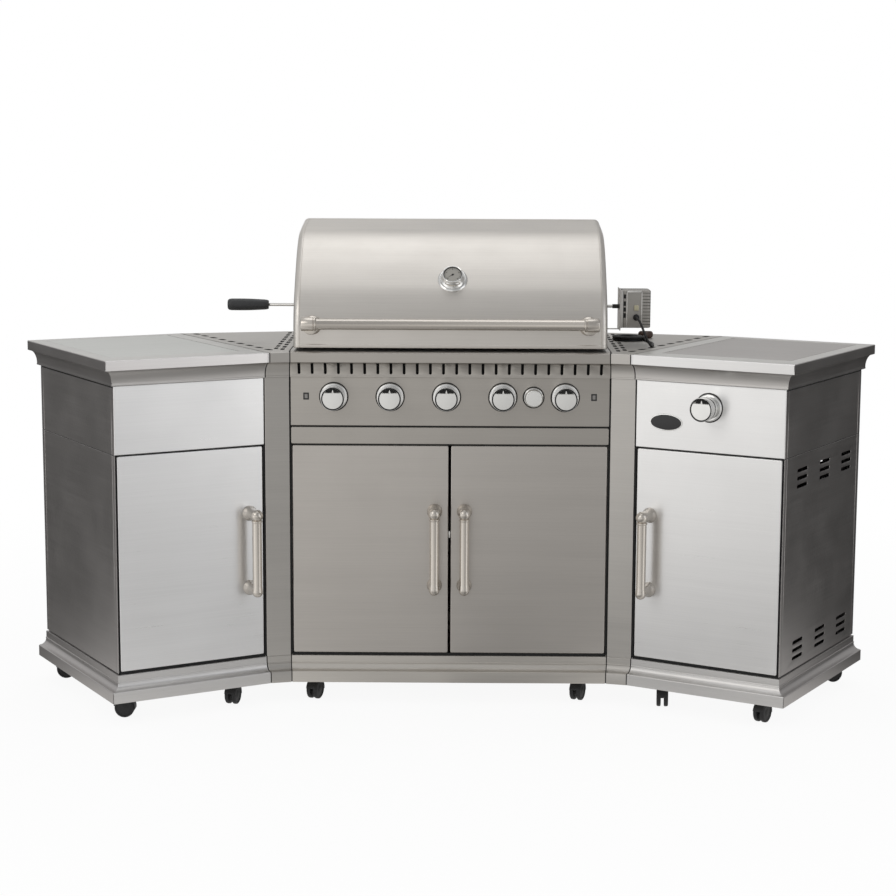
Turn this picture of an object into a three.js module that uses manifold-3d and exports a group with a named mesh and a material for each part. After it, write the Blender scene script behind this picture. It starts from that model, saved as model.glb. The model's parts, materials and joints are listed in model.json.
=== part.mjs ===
// Outdoor kitchen island: a gas grill cabinet between two side cabinets that
// turn forward, joined by wedge shaped corner units. Millimetres, +Z up, +X to
// the right of someone who stands in front, +Y to the rear.
import * as THREE from 'three';
import { mergeVertices } from 'three/addons/utils/BufferGeometryUtils.js';
import Module from 'manifold-3d';

const wasm = await Module();
wasm.setup();

// Fits and sheet
const FIT = 0.3;
const OVERRUN = 6;
const SHEET = 2.5;
const UNIT_SEAM = 2.6;
const DOOR_SIDE_GAP = 3;
const DOOR_END_GAP = 4;

// Heights shared by every unit
const WORKTOP_HEIGHT = 910;
const FASCIA_HEIGHT = 25;
const COVE_HEIGHT = 36;
const LIP_HEIGHT = 4;
const CASTER_HEAD = 8.3;
const PLINTH_HEIGHT = 69.2;
const PLINTH_BAND = 28.5;
const PLINTH_SWEEP = 17;

// How far the mouldings stand out
const WORKTOP_OVERHANG = 31;
const FASCIA_RETURN = 3;
const LIP_OVERHANG = 7;
const REAR_OVERHANG = 11;
const PLINTH_OVERHANG = 24.4;
const PLINTH_BEAD = 3;
const PANEL_PROUD = 1;

// Plan of the units
const CABINET_DEPTH = 540;
const CENTRE_WIDTH = 812;
const SIDE_WIDTH = 400.5;
const WEDGE_FRONT = 65;
const WEDGE_TURN = 15;
const STILE_WIDTH = 3.4;
const STILE_DEPTH = 18;
const RAIL_HEIGHT = 43;
const RAIL_GAP = 4;
const POST_DEPTH = 26;
const FLANGE = 13;

// Doors and their handles
const DOOR_THICKNESS = 20;
const DOOR_SKIN = 1.6;
const DOOR_PIVOT_INSET = 6;
const DOOR_PIN_RADIUS = 2.5;
const PULL_HEIGHT = 236;
const PULL_DROP = 138.5;
const PULL_TUBE_RADIUS = 10.5;
const PULL_ELBOW_RADIUS = 16;
const PULL_STANDOFF = 46;
const PULL_INSET = 38;
const SIDE_PULL_INSET = 44;

// Control panel, knobs and button
const PANEL_HEIGHT = 123.5;
const PANEL_DEPTH = 22;
const PANEL_SLOTS = 24;
const PANEL_SLOT_WIDTH = 7;
const PANEL_SLOT_HEIGHT = 25;
const PANEL_SLOT_RISE = 4;
const PANEL_SLOT_SPAN = 762;
const KNOB_RISE = 74.5;
const SIDE_KNOB_DROP = 9;
const KNOB_PITCH = 142.5;
const FIRST_KNOB_X = -294;
const REAR_KNOB_X = 291;
const BUTTON_X = 211;
const BEZEL_RADIUS = 37.5;
const BEZEL_HEIGHT = 8;
const BEZEL_BORE = 17;
const KNOB_RADIUS = 29;
const KNOB_LENGTH = 46;
const KNOB_SHAFT_RADIUS = 4;
const BUTTON_BEZEL_RADIUS = 28;
const BUTTON_RADIUS = 22.5;
const BUTTON_LENGTH = 24;
const BUTTON_TRAVEL = 5;

// Hood
const HOOD_SIDE_GAP = 9.5;
const HOOD_RISE = 12;
const HOOD_HEIGHT = 306;
const HOOD_DEPTH = 428;
const HOOD_FRONT = 2;
const HOOD_SKIN = 2.5;
const HOOD_CHEEK = 14;
const HOOD_CHEEK_PROUD = 1.5;
const HINGE_INSET = 12;
const HINGE_RISE = 14;
const HINGE_PIN_RADIUS = 5;
const NOTCH_GAP = 1;
const HOOD_BAR_RADIUS = 13.5;
const HOOD_BAR_INSET = 24.5;
const HOOD_BAR_RISE = 62;
const HOOD_BAR_STANDOFF = 62;
const HOOD_COLLAR_RADIUS = 17;
const HOOD_COLLAR_LENGTH = 38;
const HOOD_POST_RADIUS = 19;
const DIAL_RADIUS = 26;
const DIAL_BASE_RADIUS = 38;
const DIAL_LENGTH = 26;
const DIAL_X = 5;
const DIAL_PLACE_SHARE = 0.8;

// Firebox, burners, grates
const WELL_FRONT_GAP = 73;
const WELL_REAR_GAP = 30;
const WELL_SIDE_GAP = 13.5;
const WELL_DEPTH = 165;
const EAR_WIDTH = 56;
const MANIFOLD_SIZE = 22;
const MANIFOLD_GAP = 25;
const BURNER_RADIUS = 14;
const GRATE_RISE = 20;
const GRATE_THICKNESS = 12;
const GRATE_BAR = 8;
const GRATE_PITCH = 22.5;
const RACK_RISE = 165;
const RACK_WIRE = 6;
const REAR_BURNER_WIDTH = 400;
const REAR_BURNER_HEIGHT = 66;
const TRAY_HALF_WIDTH = 190;
const TRAY_HEIGHT = 26;
const TRAY_SETBACK = 45;
const RUNNER_LIP = 14;

// Rotisserie
const SPIT_RISE = 99;
const SPIT_SETBACK = 200;
const SPIT_RADIUS = 4;
const SPIT_REACH = 81.5;
const SPIT_END_GAP = 4;
const GRIP_LENGTH = 107;
const GRIP_RADIUS = 15.5;
const FORK_X = 170;
const FORK_REACH = 62;
const FORK_TINE_SPREAD = 28;
const BRACKET_SIDE_GAP = 43.5;
const BRACKET_WIDTH = 82;
const BRACKET_HEAD = 47;
const BRACKET_ARM_RISE = 41;
const MOTOR_LENGTH = 78;
const MOTOR_HEIGHT = 98;
const MOTOR_CHAMFER = 14;

// Rotisserie lead, put away in a coil on the corner unit beside the hood
const LEAD_DIAMETER = 6;
const GLAND_LENGTH = 22;
const GLAND_INSET = 43;
const GLAND_DROP = 26;
const COIL_INSET = 34;
const COIL_SETBACK = 102;
const COIL_MEAN_RADIUS = 33;
const COIL_PITCH = 6.6;
const COIL_TURNS_PER_LAYER = 3;
const COIL_LAYERS = 2;
const COIL_STEPS = 18;
const PLUG_LENGTH = 34;
const PLUG_WIDTH = 40;
const PLUG_HEIGHT = 24;

// Side worktops, lids and what is under them
const LID_INNER_INSET = 48;
const LID_OUTER_INSET = 10;
const LID_FRONT_INSET = 45;
const LID_REAR_INSET = 22;
const LID_HEIGHT = 8;
const LID_SKIN = 2;
const LEDGE_WIDTH = 14;
const BASIN_DEPTH = 150;
const BURNER_PAN_DEPTH = 52;
const RING_RADIUS = 58;

// Casters
const WHEEL_DIAMETER = 50;
const WHEEL_WIDTH = 11;
const CASTER_TRAIL = 17;
const CASTER_PLATE = 52;
const CASTER_INSET = 52;
const CASTER_SIDES = 10;
const CASTER_DEGREES = {
  centre: { front_left: 68, front_right: 68, rear_left: 200, rear_right: 65 },
  left: { front_left: 0, front_right: 75, rear_left: 0, rear_right: 35 },
  right: { front_left: 85, front_right: 55, rear_left: 230, rear_right: 200 },
};

// Ventilation
const VENT_LENGTH = 72;
const VENT_HEIGHT = 9;
const VENT_PITCH = 20;
const VENT_COLUMN_PITCH = 158;
const UPPER_VENT_DROP = 61.5;
const LOWER_VENT_RISE = 48.5;
const WEDGE_SLOT_LENGTH = 36;
const WEDGE_SLOT_WIDTH = 10;
const WEDGE_SLOT_PITCH = 48;
const WEDGE_SLOT_INSET = 24;
const HOOD_SLOT_INSET = 18;
const HOOD_SLOT_ROW = 16;
const HOOD_SLOT_PITCH = 60;
const HOOD_SLOT_WIDTH = 8;

// Worked out sizes that several pieces share
const CORNICE_BOTTOM = WORKTOP_HEIGHT - FASCIA_HEIGHT - COVE_HEIGHT - LIP_HEIGHT;
const PANEL_BOTTOM = CORNICE_BOTTOM - PANEL_HEIGHT;
const RAIL_TOP = PANEL_BOTTOM - RAIL_GAP;
const SPLIT_HEIGHT = RAIL_TOP - RAIL_HEIGHT;
const PLINTH_BOTTOM = WHEEL_DIAMETER + CASTER_HEAD;
const PLINTH_TOP = PLINTH_BOTTOM + PLINTH_HEIGHT;
const KNOB_HEIGHT = PANEL_BOTTOM + KNOB_RISE;
const SIDE_KNOB_HEIGHT = KNOB_HEIGHT - SIDE_KNOB_DROP;
const PULL_BOTTOM = SPLIT_HEIGHT - PULL_DROP - PULL_HEIGHT;
const UPPER_VENT_HEIGHT = SPLIT_HEIGHT - UPPER_VENT_DROP;
const LOWER_VENT_HEIGHT = PLINTH_TOP + LOWER_VENT_RISE;
const HALF_SEAM = UNIT_SEAM / 2;
const CENTRE_HALF = CENTRE_WIDTH / 2;
const SIDE_TURN = 2 * WEDGE_TURN;
const MITRE = Math.tan(THREE.MathUtils.degToRad(WEDGE_TURN / 2));
const DOOR_BOTTOM = PLINTH_TOP + DOOR_END_GAP;
const DOOR_TOP = SPLIT_HEIGHT - DOOR_END_GAP;
const DECK_BOTTOM = WORKTOP_HEIGHT - SHEET;
const PIVOT_X = CENTRE_HALF - HALF_SEAM - STILE_WIDTH - DOOR_SIDE_GAP - DOOR_PIVOT_INSET;
const HOOD_HALF = CENTRE_HALF - HOOD_SIDE_GAP;
const HOOD_BOTTOM = WORKTOP_HEIGHT + HOOD_RISE;
const HOOD_REAR = HOOD_FRONT + HOOD_DEPTH;
const HOOD_BAR_HALF_LENGTH = HOOD_HALF - HOOD_BAR_INSET;
const HINGE_Y = HOOD_REAR - HINGE_INSET;
const HINGE_Z = HOOD_BOTTOM + HINGE_RISE;
const WELL_FRONT = HOOD_FRONT + WELL_FRONT_GAP;
const WELL_REAR = HOOD_REAR - WELL_REAR_GAP;
const WELL_HALF_WIDTH = HOOD_HALF - WELL_SIDE_GAP;
const RACK_HEIGHT = WORKTOP_HEIGHT + RACK_RISE;
const MANIFOLD_Y = WELL_FRONT - MANIFOLD_GAP;
const TRAY_FRONT = WELL_FRONT + TRAY_SETBACK;
const SPIT_HEIGHT = WORKTOP_HEIGHT + SPIT_RISE;
const SPIT_Y = HOOD_REAR - SPIT_SETBACK;
const BRACKET_X = HOOD_HALF + BRACKET_SIDE_GAP;
const BRACKET_TOP = SPIT_HEIGHT + BRACKET_HEAD;
const BRACKET_ARM_HEIGHT = WORKTOP_HEIGHT + BRACKET_ARM_RISE;
const SPIT_LEFT = -(HOOD_HALF + SPIT_REACH);
const SPIT_RIGHT = BRACKET_X - SPIT_END_GAP;
const LEAD_RADIUS = LEAD_DIAMETER / 2;
const LEAD_REST = WORKTOP_HEIGHT + LEAD_RADIUS + FIT;
const GLAND_X = BRACKET_X + GLAND_INSET;
const GLAND_Z = SPIT_HEIGHT - GLAND_DROP;
const GLAND_TIP_Y = SPIT_Y - BRACKET_WIDTH / 2 + SHEET * 1.5 - GLAND_LENGTH - FIT;
const COIL_X = BRACKET_X + COIL_INSET;
const COIL_Y = SPIT_Y + COIL_SETBACK;
const COIL_OUTER = COIL_MEAN_RADIUS + COIL_PITCH * (COIL_TURNS_PER_LAYER / 2);

// The lead's route from the tip of the gland down to the corner unit and back
// beside the hood, as steps to the right, to the rear and up from that tip
const LEAD_STEPS = [
  [0, 0, 0], [0, -12, -1], [4, -34.45, -5], [11, -44.45, -21], [19, -48.45, -41],
  [27, -45.45, -58], [34, -35.45, -67.6], [39, -18.45, -69.7], [44, 9.55, -69.7],
  [46, 39.55, -69.7], [44, 69.55, -69.7], [39, 97.55, -69.7], [35, 121.55, -69.7],
];
const BASE_FLOOR = PLINTH_BOTTOM + SHEET;
const KNOB_GAP = FIT * 2;

// Shares of the sizes that they follow
const PANEL_RADIAL_SHARES = { pin: 0.62, rim: 0.82, step: 0.5, pointer: 0.12 };
const HOOD_PROFILE_SHARES = [
  [0, 0], [0, 0.173], [0.023, 0.304], [0.077, 0.435], [0.159, 0.572], [0.252, 0.706],
  [0.346, 0.817], [0.463, 0.905], [0.626, 0.951], [0.848, 0.987], [0.942, 1],
  [0.986, 0.974], [1, 0.908], [1, 0],
];
const GRIP_PROFILE_SHARES = [
  [0, 0], [0.72, 0], [0.9, 0.04], [1, 0.14], [0.98, 0.5], [0.86, 0.85], [0.8, 0.97],
  [0.7, 1], [0, 1],
];

// Shapes
const WHOLE_TURN = 2 * Math.PI;
const QUARTER_TURN = Math.PI / 2;
const WELD = 1e-4;
const GRID = 512;
const CLOSE = 0.03;
const FLAT = 0.004;
const PASSES = 12;

/** A closed three.js geometry as a solid that can be joined and cut. Its points
 *  lie on a fine grid, so that faces meant to be flush really are. */
function solidOf(geometry, matrix = null) {
  geometry.deleteAttribute('normal');
  geometry.deleteAttribute('uv');
  if (matrix) geometry.applyMatrix4(matrix);
  const places = geometry.attributes.position.array;
  for (let i = 0; i < places.length; i += 1) places[i] = Math.round(places[i] * GRID) / GRID;
  const merged = mergeVertices(geometry, WELD);
  const corners = merged.index.array;
  const kept = [];
  for (let i = 0; i < corners.length; i += 3) {
    const [a, b, c] = [corners[i], corners[i + 1], corners[i + 2]];
    if (a !== b && b !== c && c !== a) kept.push(a, b, c);
  }
  return new wasm.Manifold(new wasm.Mesh({
    numProp: 3,
    vertProperties: new Float32Array(merged.attributes.position.array),
    triVerts: new Uint32Array(kept),
  }));
}

/** For each point, the first point that lies closer to it than CLOSE. */
function nearestOwners(points) {
  const owners = new Uint32Array(points.length / 3);
  for (let i = 0; i < owners.length; i += 1) {
    owners[i] = i;
    for (let j = 0; j < i; j += 1) {
      const apart = Math.hypot(
        points[3 * i] - points[3 * j], points[3 * i + 1] - points[3 * j + 1],
        points[3 * i + 2] - points[3 * j + 2],
      );
      if (owners[j] === j && apart < CLOSE) {
        owners[i] = j;
        break;
      }
    }
  }
  return owners;
}

/** The face turned so that its longest side comes first, and its height over it. */
function overLongestSide(face, points) {
  const at = (i) => new THREE.Vector3().fromArray(points, 3 * i);
  const lengths = face.map((a, k) => at(a).distanceTo(at(face[(k + 1) % 3])));
  const k = lengths.indexOf(Math.max(...lengths));
  const [a, b, c] = [face[k], face[(k + 1) % 3], face[(k + 2) % 3]];
  const doubled = at(b).sub(at(a)).cross(at(c).sub(at(a))).length();
  return { face: [a, b, c], height: doubled / lengths[k] };
}

/** Faces without slivers: close points become one, and a face that is flat over
 *  its longest side swaps that side with the neighbour across it. */
function withoutSlivers(points, corners) {
  const owners = nearestOwners(points);
  const faces = [];
  for (let i = 0; i < corners.length; i += 3) {
    const [a, b, c] = [owners[corners[i]], owners[corners[i + 1]], owners[corners[i + 2]]];
    if (a !== b && b !== c && c !== a) faces.push([a, b, c]);
  }
  for (let pass = 0; pass < PASSES; pass += 1) {
    const across = new Map();
    faces.forEach((face, i) => {
      face.forEach((a, k) => across.set(`${a} ${face[(k + 1) % 3]}`, i));
    });
    const changed = new Set();
    faces.forEach((face, i) => {
      const { face: [a, b, c], height } = overLongestSide(face, points);
      const other = across.get(`${b} ${a}`);
      if (height > FLAT || changed.has(i) || changed.has(other)) return;
      const d = faces[other].find((corner) => corner !== a && corner !== b);
      if (across.has(`${c} ${d}`) || across.has(`${d} ${c}`)) return;
      faces[i] = [a, d, c];
      faces[other] = [d, b, c];
      changed.add(i).add(other);
    });
    if (changed.size === 0) break;
  }
  return Uint32Array.from(faces.flat());
}

/** The solid's surface as a three.js geometry, turned over when it is mirrored. */
function geometryOf(solid, side = 1) {
  const mesh = solid.getMesh();
  const points = Float32Array.from(mesh.vertProperties);
  const corners = withoutSlivers(points, mesh.triVerts);
  if (side < 0) {
    for (let i = 0; i < points.length; i += 3) points[i] = -points[i];
    corners.reverse();
  }
  const geometry = new THREE.BufferGeometry();
  geometry.setAttribute('position', new THREE.BufferAttribute(points, 3));
  geometry.setIndex(new THREE.BufferAttribute(corners, 1));
  geometry.computeVertexNormals();
  return geometry;
}

const join = (first, ...others) => others.reduce((sum, solid) => sum.add(solid), first);
const cut = (first, ...others) => others.reduce((rest, solid) => rest.subtract(solid), first);

/** A box between two corners, moved by a matrix if there is one. */
function block(x0, x1, y0, y1, z0, z1, matrix = null) {
  const box = new THREE.BoxGeometry(x1 - x0, y1 - y0, z1 - z0);
  box.translate((x0 + x1) / 2, (y0 + y1) / 2, (z0 + z1) / 2);
  return solidOf(box, matrix);
}

const AXES = {
  x: new THREE.Matrix4().set(0, 0, 1, 0, 1, 0, 0, 0, 0, 1, 0, 0, 0, 0, 0, 1),
  y: new THREE.Matrix4().set(0, 1, 0, 0, 0, 0, 1, 0, 1, 0, 0, 0, 0, 0, 0, 1),
  z: new THREE.Matrix4(),
};

/** An outline drawn square to an axis and drawn out along it. Outlines are in
 *  (y, z) for x, in (z, x) for y and in (x, y) for z. */
function prism(axis, outline, from, to) {
  const shape = new THREE.Shape(outline.map(([a, b]) => new THREE.Vector2(a, b)));
  const geometry = new THREE.ExtrudeGeometry(shape, { depth: to - from, bevelEnabled: false });
  geometry.translate(0, 0, from);
  geometry.applyMatrix4(AXES[axis]);
  return solidOf(geometry);
}

/** A round bar along an axis; at gives the two other coordinates in axis order. */
function bar(axis, at, from, to, radius, sides = 12, phase = 0) {
  const geometry = new THREE.CylinderGeometry(radius, radius, to - from, sides);
  geometry.rotateX(QUARTER_TURN);
  geometry.rotateZ(phase);
  geometry.translate(at[0], at[1], (from + to) / 2);
  geometry.applyMatrix4(AXES[axis]);
  return solidOf(geometry);
}

/** A profile of (radius, height) points turned round the Z axis, moved by a
 *  matrix if there is one. */
function turned(profile, sides = 16, matrix = null) {
  const points = profile.map(([r, h]) => new THREE.Vector2(r, h));
  const geometry = new THREE.LatheGeometry(points, sides);
  geometry.rotateX(QUARTER_TURN);
  return solidOf(geometry, matrix);
}

/** Turns +Z to the front and moves the origin. */
function facingFront(x, y, z) {
  return new THREE.Matrix4().makeTranslation(x, y, z)
    .multiply(new THREE.Matrix4().makeRotationX(QUARTER_TURN));
}

/** A ball, for elbows and ends. */
function ball(x, y, z, radius, sides = 12) {
  const geometry = new THREE.SphereGeometry(radius, sides, sides / 2);
  geometry.rotateX(QUARTER_TURN);
  geometry.rotateZ(Math.PI / sides);
  geometry.translate(x, y, z);
  return solidOf(geometry);
}

/** A solid skinned over outlines of equal point count at rising heights. */
function loft(levels) {
  const count = levels[0].outline.length;
  const flat = levels[0].outline.map(([x, y]) => new THREE.Vector2(x, y));
  const turn = THREE.ShapeUtils.area(flat) > 0 ? 1 : -1;
  const ordered = levels.map(({ z, outline }) => ({
    z,
    outline: turn > 0 ? outline : [...outline].reverse(),
  }));
  const points = [];
  for (const { z, outline } of ordered) {
    for (const [x, y] of outline) points.push(x, y, z);
  }
  const faces = [];
  for (let level = 0; level + 1 < ordered.length; level += 1) {
    for (let i = 0; i < count; i += 1) {
      const a = level * count + i;
      const b = level * count + ((i + 1) % count);
      faces.push(a, b, b + count, a, b + count, a + count);
    }
  }
  const capOf = (outline) => THREE.ShapeUtils.triangulateShape(
    outline.map(([x, y]) => new THREE.Vector2(x, y)),
    [],
  );
  for (const [a, b, c] of capOf(ordered[0].outline)) faces.push(a, c, b);
  const top = (ordered.length - 1) * count;
  for (const [a, b, c] of capOf(ordered.at(-1).outline)) faces.push(top + a, top + b, top + c);
  const geometry = new THREE.BufferGeometry();
  geometry.setAttribute('position', new THREE.BufferAttribute(new Float32Array(points), 3));
  geometry.setIndex(faces);
  return solidOf(geometry);
}

// Finishes
const COLOURS = {
  brushed: { color: 0xb4aea6, metalness: 0.9, roughness: 0.38 },
  pale: { color: 0xc6c6cc, metalness: 0.85, roughness: 0.4 },
  dark: { color: 0x5a5a5c, metalness: 0.85, roughness: 0.45 },
  chrome: { color: 0xdedede, metalness: 1, roughness: 0.12 },
  nickel: { color: 0xc4bdb2, metalness: 0.95, roughness: 0.24 },
  iron: { color: 0x2c2b2a, metalness: 0.5, roughness: 0.7 },
  enamel: { color: 0x1f1f20, metalness: 0.3, roughness: 0.4 },
  plastic: { color: 0x18181a, metalness: 0, roughness: 0.55 },
  rubber: { color: 0x121212, metalness: 0, roughness: 0.7 },
  brown: { color: 0x4a3226, metalness: 0, roughness: 0.5 },
};

const island = new THREE.Group();

/** Names a solid, dresses it and hangs it in its group. */
function piece(name, solid, finish, parent, side = 1) {
  const material = new THREE.MeshStandardMaterial(COLOURS[finish]);
  const mesh = new THREE.Mesh(geometryOf(solid, side), material);
  mesh.name = name;
  parent.add(mesh);
  return mesh;
}

// Mouldings: each unit has an outline that grows with the overhang
const centreOutline = ({ front, rear, inset }) => {
  const half = CENTRE_HALF - HALF_SEAM - inset;
  const start = Math.max(-front, 0);
  const nose = half - Math.max(front, 0) * MITRE;
  return [
    [-half, start], [-nose, -front], [nose, -front], [half, start],
    [half, CABINET_DEPTH + rear], [-half, CABINET_DEPTH + rear],
  ];
};

const sideOutline = ({ front, rear, inset, side }) => {
  const inner = HALF_SEAM + inset;
  const start = Math.max(-front, 0);
  return [
    [inner, start], [inner + Math.max(front, 0) * MITRE, -front],
    [SIDE_WIDTH + side, -front], [SIDE_WIDTH + side, CABINET_DEPTH + rear],
    [inner, CABINET_DEPTH + rear],
  ];
};

const direction = (degrees) => {
  const angle = THREE.MathUtils.degToRad(degrees);
  return new THREE.Vector2(Math.sin(angle), Math.cos(angle));
};
const WEDGE_START = new THREE.Vector2(CENTRE_HALF, 0);
const WEDGE_LINE = new THREE.Vector2(direction(WEDGE_TURN).y, -direction(WEDGE_TURN).x);
const WEDGE_END = WEDGE_START.clone().addScaledVector(WEDGE_LINE, WEDGE_FRONT);

/** The corner unit's outline: its front strip, and sides that follow its two
 *  neighbours to the rear. Mitred where the mouldings meet. */
const wedgeOutline = ({ front, rear, inset }) => {
  const toRear = [direction(0), direction(SIDE_TURN)];
  const inward = [WEDGE_LINE.clone(), WEDGE_LINE.clone().negate()];
  const middle = direction(WEDGE_TURN);
  const reach = CABINET_DEPTH + rear;
  const slant = Math.cos(THREE.MathUtils.degToRad(WEDGE_TURN));
  const [near, far] = [WEDGE_START, WEDGE_END].map((corner, i) => {
    const base = corner.clone().addScaledVector(inward[i], (HALF_SEAM + inset) / slant);
    const start = base.clone().addScaledVector(toRear[i], Math.max(-front, 0) / slant);
    const mitre = toRear[i].clone().add(middle).normalize();
    const half = Math.cos(THREE.MathUtils.degToRad(WEDGE_TURN / 2));
    return {
      start,
      nose: start.clone().addScaledVector(mitre, -Math.max(front, 0) / half),
      back: base.clone().addScaledVector(toRear[i], reach),
    };
  });
  return [near.start, near.nose, far.nose, far.start, far.back, near.back]
    .map(({ x, y }) => [x, y]);
};

/** Heights and overhangs of the cornice, from its lip up to the worktop. */
function corniceLevels(thickness = 0) {
  const coveOut = WORKTOP_OVERHANG - FASCIA_RETURN;
  const coveBottom = CORNICE_BOTTOM + LIP_HEIGHT;
  const levels = [[CORNICE_BOTTOM, LIP_OVERHANG], [coveBottom, LIP_OVERHANG]];
  const steps = 4;
  for (let i = 1; i <= steps; i += 1) {
    const angle = QUARTER_TURN * (i / steps);
    const out = coveOut - (coveOut - LIP_OVERHANG) * Math.cos(angle);
    levels.push([coveBottom + (COVE_HEIGHT - FIT) * Math.sin(angle), out]);
  }
  levels.push([coveBottom + COVE_HEIGHT, WORKTOP_OVERHANG], [WORKTOP_HEIGHT, WORKTOP_OVERHANG]);
  return levels.map(([z, out]) => [z, out - thickness]);
}

/** Heights and overhangs of the plinth, from the floor side up. */
function plinthLevels(thickness = 0) {
  const bandTop = PLINTH_BOTTOM + PLINTH_BAND;
  const levels = [[PLINTH_BOTTOM, PLINTH_OVERHANG], [bandTop, PLINTH_OVERHANG]];
  const steps = 4;
  for (let i = 1; i <= steps; i += 1) {
    const angle = QUARTER_TURN * (i / steps);
    const out = PLINTH_BEAD + (PLINTH_OVERHANG - PLINTH_BEAD) * (1 - Math.sin(angle));
    levels.push([bandTop + PLINTH_SWEEP * (1 - Math.cos(angle)), out]);
  }
  levels.push([PLINTH_TOP, PLINTH_BEAD]);
  return levels.map(([z, out]) => [z, out - thickness]);
}

/** A hollow moulding: the outline follows the levels outside and a sheet's
 *  thickness inside. */
function shell(outlineOf, levels, innerLevels, { rear, sideOut, inset }) {
  const outer = loft(levels.map(([z, out]) => ({
    z, outline: outlineOf({ front: out, side: sideOut ? out : 0, rear, inset: 0 }),
  })));
  const inner = loft(innerLevels.map(([z, out]) => ({
    z,
    outline: outlineOf({
      front: out, side: sideOut ? out : -inset, rear: rear - inset, inset,
    }),
  })));
  return cut(outer, inner);
}

/** Levels with both ends moved, so that a cutter passes the faces it opens. */
function clipped(levels, bottom, top) {
  const inside = levels.filter(([z]) => z > bottom && z < top);
  const outAt = (z) => levels.reduce((best, level) => (
    Math.abs(level[0] - z) < Math.abs(best[0] - z) ? level : best
  ))[1];
  return [[bottom, outAt(bottom)], ...inside, [top, outAt(top)]];
}

/** The tray that carries a cabinet: plinth, floor and the flange it stands on. */
function plinthBase(outlineOf, sideOut) {
  const flangeBottom = PLINTH_TOP - SHEET;
  const tray = shell(
    outlineOf, plinthLevels(),
    clipped(plinthLevels(SHEET), BASE_FLOOR, flangeBottom),
    { rear: 0, sideOut, inset: SHEET },
  );
  const mouth = prism('z', outlineOf({
    front: -FLANGE, side: -FLANGE, rear: -FLANGE, inset: FLANGE,
  }), flangeBottom - OVERRUN, PLINTH_TOP + OVERRUN);
  return cut(tray, mouth);
}

/** A slot of the worktop, cut straight down; it lies along Y until it's turned. */
function deckSlot(x, y, length, width, degrees = 0) {
  const matrix = new THREE.Matrix4().makeTranslation(x, y, 0)
    .multiply(new THREE.Matrix4().makeRotationZ(THREE.MathUtils.degToRad(degrees)));
  return block(
    -width / 2, width / 2, -length / 2, length / 2, DECK_BOTTOM - OVERRUN,
    WORKTOP_HEIGHT + OVERRUN, matrix,
  );
}

// Handles, doors, knobs
/** An upright bar handle on two posts. It stands before the plane y = 0. */
function pullHandle(x) {
  const [bottom, top] = [PULL_BOTTOM, PULL_BOTTOM + PULL_HEIGHT];
  const ends = [bottom + PULL_ELBOW_RADIUS, top - PULL_ELBOW_RADIUS];
  const rose = PULL_ELBOW_RADIUS + SHEET;
  const posts = ends.map((z) => join(
    bar('y', [z, x], -PULL_STANDOFF, -FIT, PULL_TUBE_RADIUS + SHEET / 2, 10),
    bar('y', [z, x], -FIT - SHEET * 2, -FIT, rose, 10),
    ball(x, -PULL_STANDOFF, z, PULL_ELBOW_RADIUS, 10),
  ));
  return join(bar('z', [x, -PULL_STANDOFF], ends[0], ends[1], PULL_TUBE_RADIUS, 10), ...posts);
}

/** A folded steel door: a pan that is open at the back, with pivot pins. The
 *  pins stand at pivotX, DOOR_PIVOT_INSET behind the front. */
function doorPan(x0, x1, pivotX) {
  const pan = cut(
    block(x0, x1, 0, DOOR_THICKNESS, DOOR_BOTTOM, DOOR_TOP),
    block(
      x0 + DOOR_SKIN, x1 - DOOR_SKIN, DOOR_SKIN, DOOR_THICKNESS - DOOR_SKIN,
      DOOR_BOTTOM + DOOR_SKIN, DOOR_TOP - DOOR_SKIN,
    ),
    block(
      x0 + DOOR_THICKNESS, x1 - DOOR_THICKNESS, DOOR_THICKNESS - OVERRUN,
      DOOR_THICKNESS + OVERRUN, DOOR_BOTTOM + DOOR_THICKNESS, DOOR_TOP - DOOR_THICKNESS,
    ),
  );
  const reach = DOOR_END_GAP + SHEET;
  const at = [pivotX, DOOR_PIVOT_INSET];
  return join(
    pan,
    bar('z', at, DOOR_BOTTOM - reach, DOOR_BOTTOM + DOOR_SKIN / 2, DOOR_PIN_RADIUS, 10),
    bar('z', at, DOOR_TOP - DOOR_SKIN / 2, DOOR_TOP + reach, DOOR_PIN_RADIUS, 10),
  );
}

/** Holes for a door's two pins. */
function pivotHoles(x) {
  const at = [x, DOOR_PIVOT_INSET];
  const radius = DOOR_PIN_RADIUS + FIT;
  return [
    bar('z', at, PLINTH_TOP - SHEET - OVERRUN, PLINTH_TOP + DOOR_END_GAP, radius, 10),
    bar('z', at, DOOR_TOP, SPLIT_HEIGHT + SHEET + OVERRUN, radius, 10),
  ];
}

/** A raised disc round a knob, facing the front from the plane at y. */
function bezel(x, y, z, radius) {
  return turned([
    [0, 0], [radius, 0], [radius, BEZEL_HEIGHT * 0.35], [radius * 0.9, BEZEL_HEIGHT],
    [0, BEZEL_HEIGHT],
  ], 16, facingFront(x, y, z));
}

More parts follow.
